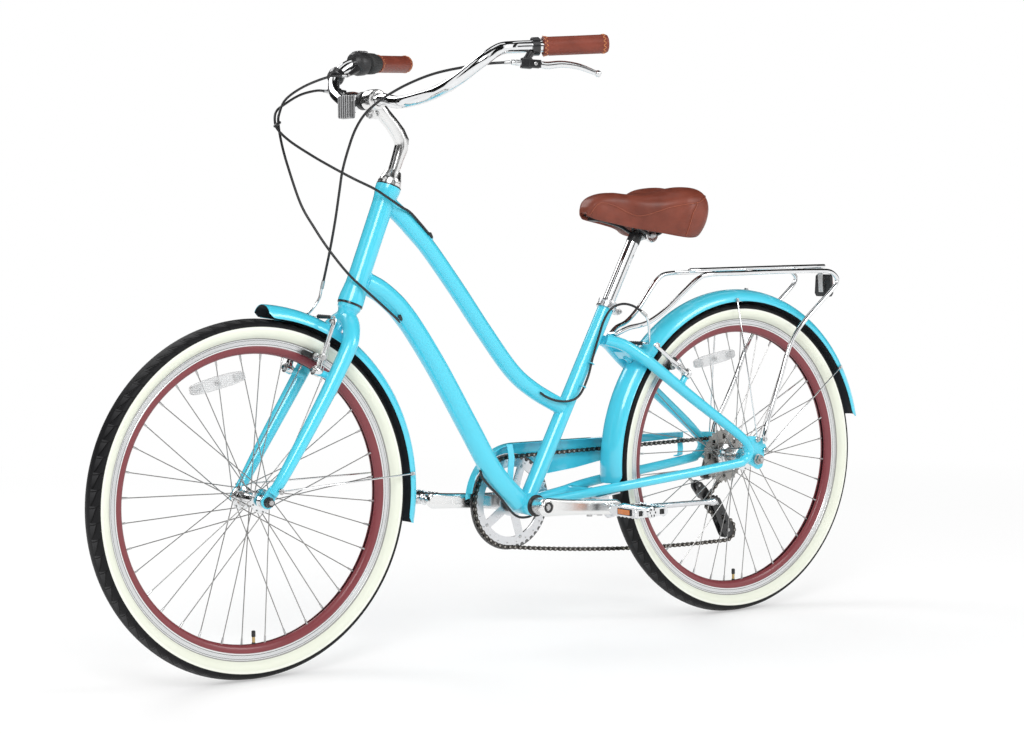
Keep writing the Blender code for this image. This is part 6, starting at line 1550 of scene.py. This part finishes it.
def lever_set(side, sign, clamp_at, band_heading, housing):
    """Bar clamp with its cable housing and adjuster, and the blade that turns in it."""
    sweep = math.radians(24.0)
    heading = xyz(-math.cos(sweep), math.sin(sweep) * sign, -0.06).normalized()
    axis = xyz(math.sin(sweep), math.cos(sweep) * sign, 0.0)
    hinge = housing + heading * 0.02
    arm = [(*(clamp_at + (housing - clamp_at) * share), radius) for share, radius in (
        (0.38, 0.0074), (0.66, 0.0062), (1.0, 0.0072))]
    cheeks = [soften(block(housing + heading * 0.019 + axis * turn * 0.0064, (0.022, 0.0038, 0.0145), heading, axis),
                     0.0016, 3) for turn in (1, -1)]
    adjuster = [(0.003, -0.0235), (0.0044, -0.0229), (0.005, -0.0215), (0.005, -0.0165), (0.004, -0.016),
                (0.004, -0.0148), (0.0054, -0.0143), (0.0054, -0.008), (0.0046, -0.0075), (0.0046, -0.003)]
    piece(side + "_lever_mount", group(
        *of(SATIN_BLACK, turned(both([(BAR_BORE, -0.007), (0.0158, -0.007), (0.0166, -0.0058)]), clamp_at,
                                band_heading, 40), tube(arm, sides=20),
            soften(block(housing + heading * 0.0045, (0.02, 0.015, 0.019), heading, axis), 0.003, 4), *cheeks),
        (knob(0.0034, -0.0092, 0.0092, hinge, axis, 20, 0.0005), STEEL),
        (spindle(adjuster, housing, heading, 12), BRIGHT),
        *bolt(clamp_at + (clamp_at - housing).normalized() * 0.0155, axis, 0.0036, 0.008, False)),
        "fork_body", "black_plastic", side + "_lever_clamp")
    blade = [(*(hinge + heading * reach + UP * drop), radius) for reach, drop, radius in (
        (0.012, -0.0004, 0.006), (0.024, -0.001, 0.0068), (0.05, 0.003, 0.0062), (0.08, 0.001, 0.0056),
        (0.108, -0.007, 0.0046), (0.1163, -0.0095, 0.0038))]
    ball = both([(0.0008, -0.0062), (0.0036, -0.0052), (0.0058, -0.0026)], 0.0063)
    piece(side + "_lever_blade", group(*of(
        BRIGHT, tube(smooth(blade, 6), sides=20, flat=0.72, side=UP), knob(0.0066, -0.0036, 0.0036, hinge, axis),
        block(hinge + heading * 0.0085, (0.017, 0.0072, 0.009), heading, axis, 0.0016),
        spindle(ball, Vector(blade[-1][:3]), heading, 24))),
        "lever_" + side, "satin_alloy", side + "_brake_lever", angle=45)


lever_set("left", 1, xyz(0.7176, 0.2628, 1.1264), GRIP_START - Vector(BAR_SIDE[-2]), xyz(0.744, 0.264, 1.096))
lever_set("right", -1, xyz(0.82, -0.236, 1.0965), (-0.663, -0.47, 0.583), xyz(0.82, -0.242, 1.066))


def shifter():
    """Turning sleeve with rubber ribs, fixed housing with its window, and the cable's snout."""
    start, heading = grip_line(-1)
    first, second = across(heading, UP)
    rings = []
    for radius, height in ((0.0176, -0.0378), (0.02, -0.0362), (0.0208, -0.034), (0.0208, -0.024),
                           (0.0205, -0.013), (0.0192, -0.006), (0.0178, -0.0012)):
        ribbed = -0.035 < height < -0.01
        rings.append([start + heading * height + swung(first, second, 2 * math.pi * s / 96)
                      * (radius - 0.0004 + (0.0006 if ribbed and s % 4 < 2 else 0.0)) for s in range(96)])
    piece("turning_sleeve", group((loft(rings), RUBBER)), "twist_grip", "black_plastic", "shifter_grip", angle=40)
    path = [v for v in mirrored(smooth(BAR_SIDE, 4)) if 0.748 < v.x < 0.783]
    sizes = [0.019, 0.0236, 0.024, 0.024, 0.0236, 0.02]
    grown = [(*p, sizes[min(len(sizes) - 1, k * len(sizes) // len(path))]) for k, p in enumerate(path)]
    snout = smooth([(0.764, -0.24, 1.116, 0.008), (0.784, -0.224, 1.108, 0.0062),
                    (0.802, -0.211, 1.102, 0.0046), (0.818, -0.202, 1.097, 0.0036)], 4)
    piece("shifter_body", group(
        (tube(smooth(grown, 2), sides=32, side=UP), BLACK),
        (soften(block(xyz(0.757, -0.2475, 1.144), (0.023, 0.025, 0.0085)), 0.003, 3), SATIN_BLACK),
        (block(xyz(0.757, -0.2475, 1.1484), (0.015, 0.017, 0.0012), edge=0.0005), RIBBED),
        (tube(snout, sides=20), BLACK),
        (knob(0.0046, -0.017, -0.01, xyz(0.826, -0.199, 1.0955), (0.9, 0.4, -0.2)), STEEL)),
        "fork_body", "black_plastic", "shifter_housing")


def front_reflector():
    """Ribbed block lens in its tray, on a clip round the bar."""
    centre = xyz(0.935, -0.022, 1.026)
    outline = both([(-0.0215, -0.019), (-0.0185, -0.0215), (0.0185, -0.0215), (0.0215, -0.019)])
    tray = soften(prism(outline, centre - AHEAD * 0.005, LEFT, UP, AHEAD * 0.0045), 0.001)
    glass = soften(prism(scaled(outline, 0.97), centre - AHEAD * 0.0005, LEFT, UP, AHEAD * 0.0065), 0.0014, 3)
    band = turned(both([(0.0119, -0.0062), (0.016, -0.0062), (0.017, -0.0052)]), xyz(0.89, -0.031, 1.0385), LEFT, 40)
    neck_tube = tube([(0.899, -0.031, 1.035), (0.92, -0.03, 1.0305), (0.931, -0.0285, 1.0282)], 0.0052, 20)
    hoods = [block(centre + UP * sign * 0.0105 - AHEAD * 0.003, (0.008, 0.04, 0.002), edge=0.0005)
             for sign in (1, -1)]
    piece("bar_reflector", group(*of(RIBBED, tray, glass), *of(BLACK, band, neck_tube, *hoods)), "fork_body",
          "clear_lens", "front_reflector")


shifter()
front_reflector()


# Brakes
PIVOT_OUT = 0.0315
PAD_RADIUS = 0.29


def brake_arm(end, side, sign, seat, up, out, hub, length):
    """Straight-pull arm with its pad, toe washers, spring and wire seat."""
    outward = LEFT * sign
    hinge = to_side(seat, sign) + out * PIVOT_OUT
    rings = []
    for reach, lean, half, deep in (
            (-0.004, 0.0, 0.0078, 0.005), (0.004, 0.0, 0.008, 0.0052), (0.016, -0.0004, 0.0064, 0.0048),
            (0.03, -0.001, 0.0058, 0.0046), (0.05, -0.002, 0.0054, 0.0042), (0.075, -0.003, 0.005, 0.004),
            (length - 0.008, -0.0036, 0.005, 0.0038), (length, -0.0038, 0.005, 0.0038),
            (length + 0.0046, -0.0038, 0.0034, 0.0028)):
        centre = hinge + up * reach - outward * lean
        rings.append([centre + out * deep * a + LEFT * half * b
                      for a, b in both([(1.0, 0.45), (0.72, 0.86), (0.2, 1.0), (-0.5, 1.0), (-1.0, 0.6)])])
    parts = of(BRIGHT, loft(rings), knob(0.0092, -0.007, 0.0064, hinge, out, 32, 0.0008))
    parts += bolt(hinge + out * 0.0064, out, 0.0052, 0.0046)
    pad_at = hinge + up * 0.027
    pad_middle = xyz(pad_at.x, 0.0, pad_at.z)
    radial = xyz(pad_at.x - hub.x, 0.0, pad_at.z - hub.z).normalized()
    along = xyz(radial.z, 0.0, -radial.x)
    pad_rings = []
    for k in range(13):
        shift = -0.023 + 0.046 * k / 12
        half = 0.0049 if 0 < k < 12 else 0.0036
        middle = pad_middle + outward * 0.0157 + along * shift - radial * (0.6 * shift * shift / PAD_RADIUS)
        pad_rings.append([middle + outward * a + radial * half * b for a, b in [(0.0, -0.9)] + both(
            [(0.0, 0.9), (0.0012, 1.0), (0.0058, 1.0), (0.0084, 0.55)])[:-1]])
    parts += of(RUBBER, loft(pad_rings))
    for low, high, size in ((0.0236, 0.03, 0.0072), (0.0302, 0.035, 0.0064), (0.051, 0.056, 0.0068)):
        parts += of(STEEL if size < 0.007 else BLACK, knob(size, low, high, pad_middle, outward, 24, 0.001))
    wire = [hinge + up * rise - out * back + outward * beside for rise, back, beside in (
        (0.0, 0.0075, 0.008), (0.012, 0.007, 0.0084), (0.036, 0.0062, 0.0074), (0.056, 0.005, 0.005))]
    parts += [(spindle([(0.0032, 0.02), (0.0032, 0.059)], pad_middle, outward, 20), STEEL),
              nut(pad_middle, outward, 0.0054, 0.056, 0.06), (tube(smooth(wire, 6), 0.0009, 8), STEEL)]
    top = hinge + up * (length - 0.002) + outward * 0.0036
    if sign > 0:
        parts += bolt(top + out * 0.0038, out, 0.0042, 0.004)
    else:
        parts += of(STEEL, block(top + up * 0.0052, (0.008, 0.01, 0.007), up, LEFT, 0.0014))
    piece(f"{end}_brake_{side}_arm", group(*parts), f"{end}_brake_{side}", "satin_alloy", f"{end}_brake_arm_{side}",
          angle=40)


for end_name, *place in (("front", FRONT_BRAKE_SEAT, HEAD_UP, HEAD_AHEAD, FRONT_HUB, 0.0955),
                         ("rear", REAR_BRAKE_SEAT, STAY_UP, STAY_BACK, REAR_HUB, 0.103)):
    for side_name, side_sign in SIDES:
        brake_arm(end_name, side_name, side_sign, *place)

# Cables
FRONT_WIRE = xyz(FRONT_BRAKE_SEAT.x, 0.0, FRONT_BRAKE_SEAT.z) + HEAD_AHEAD * PIVOT_OUT + HEAD_UP * 0.103
REAR_WIRE = xyz(REAR_BRAKE_SEAT.x, 0.0, REAR_BRAKE_SEAT.z) + STAY_BACK * PIVOT_OUT + STAY_UP * 0.1105
FRONT_BRAKE_ROUTE = [(0.7667, 0.2539, 1.0975), (0.806, 0.223, 1.094), (0.8478, 0.152, 1.0829),
                     (0.8829, 0.108, 1.0645), (0.9171, 0.078, 1.0399), (0.9423, 0.056, 1.0134),
                     (0.9573, 0.042, 0.9831), (0.965, 0.028, 0.9457), (0.9685, 0.014, 0.9081),
                     (0.968, 0.003, 0.874), (0.9665, -0.016, 0.816), (0.9675, -0.036, 0.7557),
                     (0.9709, -0.0565, 0.6935)]
REAR_BRAKE_ROUTE = [(0.5222, 0.0194, 0.4834), (0.5083, 0.021, 0.4743), (0.4832, 0.0225, 0.4657),
                    (0.4524, 0.0235, 0.4642), (0.4265, 0.0225, 0.4752), (0.4047, 0.0205, 0.5089),
                    (0.392, 0.02, 0.546), (0.3787, 0.0215, 0.5855), (0.3666, 0.025, 0.6204),
                    (0.3537, 0.033, 0.6428), (0.335, 0.042, 0.651), (0.3159, 0.05, 0.6477),
                    (0.2974, 0.0555, 0.6367), (0.2848, 0.0575, 0.6263)]
SHIFT_ROUTE = [(0.656, 0.002, 0.34), (0.646, 0.003, 0.32),
               (0.611, 0.0045, 0.2852), (0.576, 0.006, 0.248), (0.544, 0.004, 0.241),
               (0.505, -0.012, 0.248), (0.44, -0.032, 0.263), (0.378, -0.043, 0.2665),
               (0.33, -0.052, 0.2745), (0.2, -0.06, 0.285), (0.1, -0.068, 0.292),
               (0.074, -0.068, 0.285), (0.055, -0.0645, 0.268)]
STEER_BRAKE_ROUTE = [(0.8427, -0.2319, 1.0675), (0.875, -0.2205, 1.067), (0.9212, -0.205, 1.0568),
                     (0.9721, -0.18, 1.0361), (1.0018, -0.16, 1.021), (1.0163, -0.14, 1.0005),
                     (1.0194, -0.122, 0.9845), (1.0098, -0.095, 0.9632), (0.9888, -0.06, 0.9387),
                     (0.9704, -0.028, 0.919), (0.9398, 0.004, 0.8953), (0.9041, 0.022, 0.8757),
                     (0.8744, 0.0285, 0.857), (0.848, 0.025, 0.843), (0.823, 0.0175, 0.833),
                     (0.799, 0.0142, 0.813), (0.783, 0.0137, 0.7975), (0.771, 0.0137, 0.7858)]
STEER_SHIFT_ROUTE = [(0.8192, -0.2011, 1.0966), (0.86, -0.196, 1.093), (0.9212, -0.189, 1.0724),
                     (0.9715, -0.174, 1.046), (0.9968, -0.156, 1.019), (1.009, -0.14, 0.999),
                     (1.018, -0.115, 0.9619), (1.0211, -0.088, 0.9172), (1.017, -0.052, 0.8491),
                     (1.0033, -0.028, 0.8053), (0.9868, -0.006, 0.766), (0.962, 0.019, 0.7223),
                     (0.9274, 0.029, 0.689), (0.8899, 0.028, 0.6598), (0.865, 0.0215, 0.643),
                     (0.845, 0.0124, 0.6308)]
CABLE_SIDE = xyz(0.3, 0.2, 1.0).normalized()


def sleeve(route):
    return (tube(smooth(route, 8), 0.0024, 14, side=CABLE_SIDE), CABLE)


def noodle(*route):
    """The bent guide that leads a cable onto the brake's arm."""
    return (tube(smooth(route, 8), 0.0026, 16, side=AHEAD), BRIGHT)


def ferrule(route, length=0.012, radius=0.0031):
    """A drawn metal cap on the first end of a cable."""
    at = Vector(route[0])
    return (spindle([(radius * 0.8, 0.0), (radius, 0.0006), (radius, length * 0.8), (radius * 0.86, length)], at,
                    Vector(route[1]) - at, 20), STEEL)


def boot_and_wire(wire, from_y, to_y, boot_start, boot_end):
    """Bare wire between the arms in its bellows boot."""
    sign = 1 if boot_end > boot_start else -1
    count = 13
    bellows = [(wire.x, boot_start + (boot_end - boot_start) * k / (count - 1), wire.z,
                0.0041 - 0.0006 * k / count - (0.0007 if k % 2 else 0.0)) for k in range(count)]
    end = xyz(wire.x, to_y, wire.z)
    return [(tube([xyz(wire.x, from_y, wire.z), end], 0.0009, 8, side=AHEAD), STEEL),
            (tube(smooth(bellows, 2), sides=18, side=AHEAD, dome=0.6), RUBBER),
            (knob(0.0028, -0.005, 0.0, end, LEFT * sign, 16), STEEL)]


piece("front_brake_line", group(
    sleeve(FRONT_BRAKE_ROUTE), noodle(
        (0.9712, -0.0562, 0.696), (0.9745, -0.0595, 0.676), (0.985, -0.062, 0.66), (0.999, -0.06, 0.648),
        (FRONT_WIRE.x - 0.001, -0.052, FRONT_WIRE.z), (FRONT_WIRE.x, -0.042, FRONT_WIRE.z),
        (FRONT_WIRE.x, -0.03, FRONT_WIRE.z)),
    ferrule(FRONT_BRAKE_ROUTE[::-1], 0.016, 0.0034), ferrule(FRONT_BRAKE_ROUTE),
    *boot_and_wire(FRONT_WIRE, -0.031, 0.05, -0.003, 0.034)), "fork_body", "cable_black", "front_brake_cable")
piece("rear_brake_line", group(
    sleeve(REAR_BRAKE_ROUTE), noodle(
        (0.286, 0.0574, 0.6275), (0.2785, 0.056, 0.6135), (0.271, 0.049, 0.591), (0.264, 0.04, 0.574),
        (REAR_WIRE.x, 0.031, REAR_WIRE.z), (REAR_WIRE.x, 0.02, REAR_WIRE.z)),
    ferrule(REAR_BRAKE_ROUTE[::-1], 0.016, 0.0034),
    *boot_and_wire(REAR_WIRE, 0.021, -0.05, 0.016, -0.025)), "frame_body", "cable_black", "rear_brake_cable")
piece("shift_line", group(sleeve(SHIFT_ROUTE), ferrule(SHIFT_ROUTE[::-1])), "frame_body", "cable_black",
      "shift_cable")
steering_lines = piece("steering_lines", group(
    sleeve(STEER_BRAKE_ROUTE), sleeve(STEER_SHIFT_ROUTE), ferrule(STEER_BRAKE_ROUTE), ferrule(STEER_SHIFT_ROUTE),
    (tube([(1.02, -0.1325, 0.9935), (1.007, -0.1405, 1.0005)], 0.0044, 16, flat=0.7, dome=0.5), SATIN_BLACK)), None,
    "cable_black", "steering_cables")
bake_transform(steering_lines)


# Studio
CARD_DISTANCE = 6.5
CARD_HEIGHT = 0.4
CARDS = (("card_overhead", range(-37, 144, 12), (54, 64, 74, 84)),
         ("card_beyond", range(-37, 144, 12), (110, 124, 138, 152, 168)),
         ("card_in_front", range(29, 90, 10), (3, 10, 17, 24)),
         ("card_front_left", range(8, 33, 8), (24, 34, 44, 54)),
         ("card_front_right", range(92, 111, 6), (24, 34, 44, 54)),
         ("card_left_slot", range(5, 30, 8), (3, 10, 17, 24)),
         ("card_right_slot", range(96, 120, 8), (3, 14, 24)),
         ("card_left", range(-130, -19, 10), (-1, 10, 20, 30, 42, 54)),
         ("card_right", range(165, 206, 10), (6, 18, 30, 42, 54)))
SOFTBOXES = (((2.6, 3.4, 3.4), 2.2, 95.0), ((-2.4, 3.2, 2.6), 1.6, 40.0), ((0.5, -3.0, 3.2), 2.2, 45.0))
WHITE = (1.0, 1.0, 1.0)
HIDDEN_RAYS = ("camera", "diffuse", "shadow", "transmission", "volume_scatter")
CAMERA_AT = (3.22347 - LENGTH_CENTRE, 3.52151, 0.81478)
CAMERA_WAY = xyz(-0.59968, -0.79772, -0.063447).normalized()
CAMERA_ROLL = math.radians(-0.3463)


def dark_card(name, finish, bearings, rises):
    """A bent black card that only shows in reflections, between bearings and heights in degrees."""
    corners = [UP * CARD_HEIGHT + swung(swung(AHEAD, LEFT, math.radians(bearing)), UP, math.radians(rise))
               * CARD_DISTANCE for rise in rises for bearing in bearings]
    wide = len(bearings)
    faces = [(k, k + 1, k + 1 + wide, k + wide)
             for row in range(len(rises) - 1) for k in range(row * wide, (row + 1) * wide - 1)]
    card = added(name, skin(corners, faces))
    card.data.materials.append(finish)
    for ray in HIDDEN_RAYS:
        setattr(card, "visible_" + ray, False)


def pale_floor():
    """The ground, which fades into the white background away from the bicycle."""
    finish = Finish("pale_floor", roughness=0.85, specular_ior_level=0.1)
    finish.apply({"base_color": finish.tint(finish.grain(0.6), (0.92, 0.92, 0.92), (0.94, 0.94, 0.94))})
    x, y, _ = finish.axes(finish.place())
    away = (x * x + y * y).maths("SQRT").between(1.1, 3.6)
    white = finish.node("ShaderNodeEmission", {}, {"Color": WHITE})
    faded = finish.node("ShaderNodeMixShader", {}, {
        0: (away * 0.55 + 0.45) * finish.seen(), 1: Value(finish, finish.shader.outputs[0]), 2: white})
    finish.feed(finish.tree.nodes["Material Output"].inputs["Surface"], faded)
    bpy.ops.mesh.primitive_grid_add(x_subdivisions=4, y_subdivisions=4, size=60.0, location=(0.0, 0.0, -0.0006))
    floor = bpy.context.object
    floor.name = "floor"
    floor.data.materials.append(finish.material)


def studio():
    scene = bpy.context.scene
    scene.view_settings.view_transform = "Standard"
    pale_floor()
    for at, size, power in SOFTBOXES:
        data = bpy.data.lights.new("softbox", "AREA")
        data.shape = "DISK"
        data.size = size
        data.energy = power
        lamp = added("softbox", data)
        lamp.location = at
        lamp.rotation_euler = (Vector(at) - UP * 0.5).to_track_quat("Z", "Y").to_euler()
    dark = Finish("dark_card", roughness=1.0, specular_ior_level=0.0)
    dark.apply({"base_color": dark.tint(dark.grain(1.0), (0.01, 0.01, 0.01), (0.014, 0.014, 0.014))})
    for name, bearings, rises in CARDS:
        dark_card(name, dark.material, bearings, rises)
    scene.world = bpy.data.worlds.new("studio")
    scene.world.use_nodes = True
    sky = Nodes(scene.world.node_tree)
    background = sky.tree.nodes["Background"].inputs
    level = sky.node("ShaderNodeMapRange", {}, {"Value": sky.seen(), "To Min": 0.74, "To Max": 1.0})
    sky.feed(background["Strength"], level)
    sky.feed(background["Color"], WHITE)
    data = bpy.data.cameras.new("camera")
    data.lens = 80.4
    data.sensor_width = 36.0
    scene.camera = added("camera", data)
    right = CAMERA_WAY.cross(UP).normalized()
    upward = right.cross(CAMERA_WAY)
    axes = Matrix((swung(right, upward, CAMERA_ROLL), swung(upward, -right, CAMERA_ROLL), -CAMERA_WAY))
    scene.camera.matrix_world = Matrix.Translation(CAMERA_AT) @ axes.transposed().to_4x4()


studio()
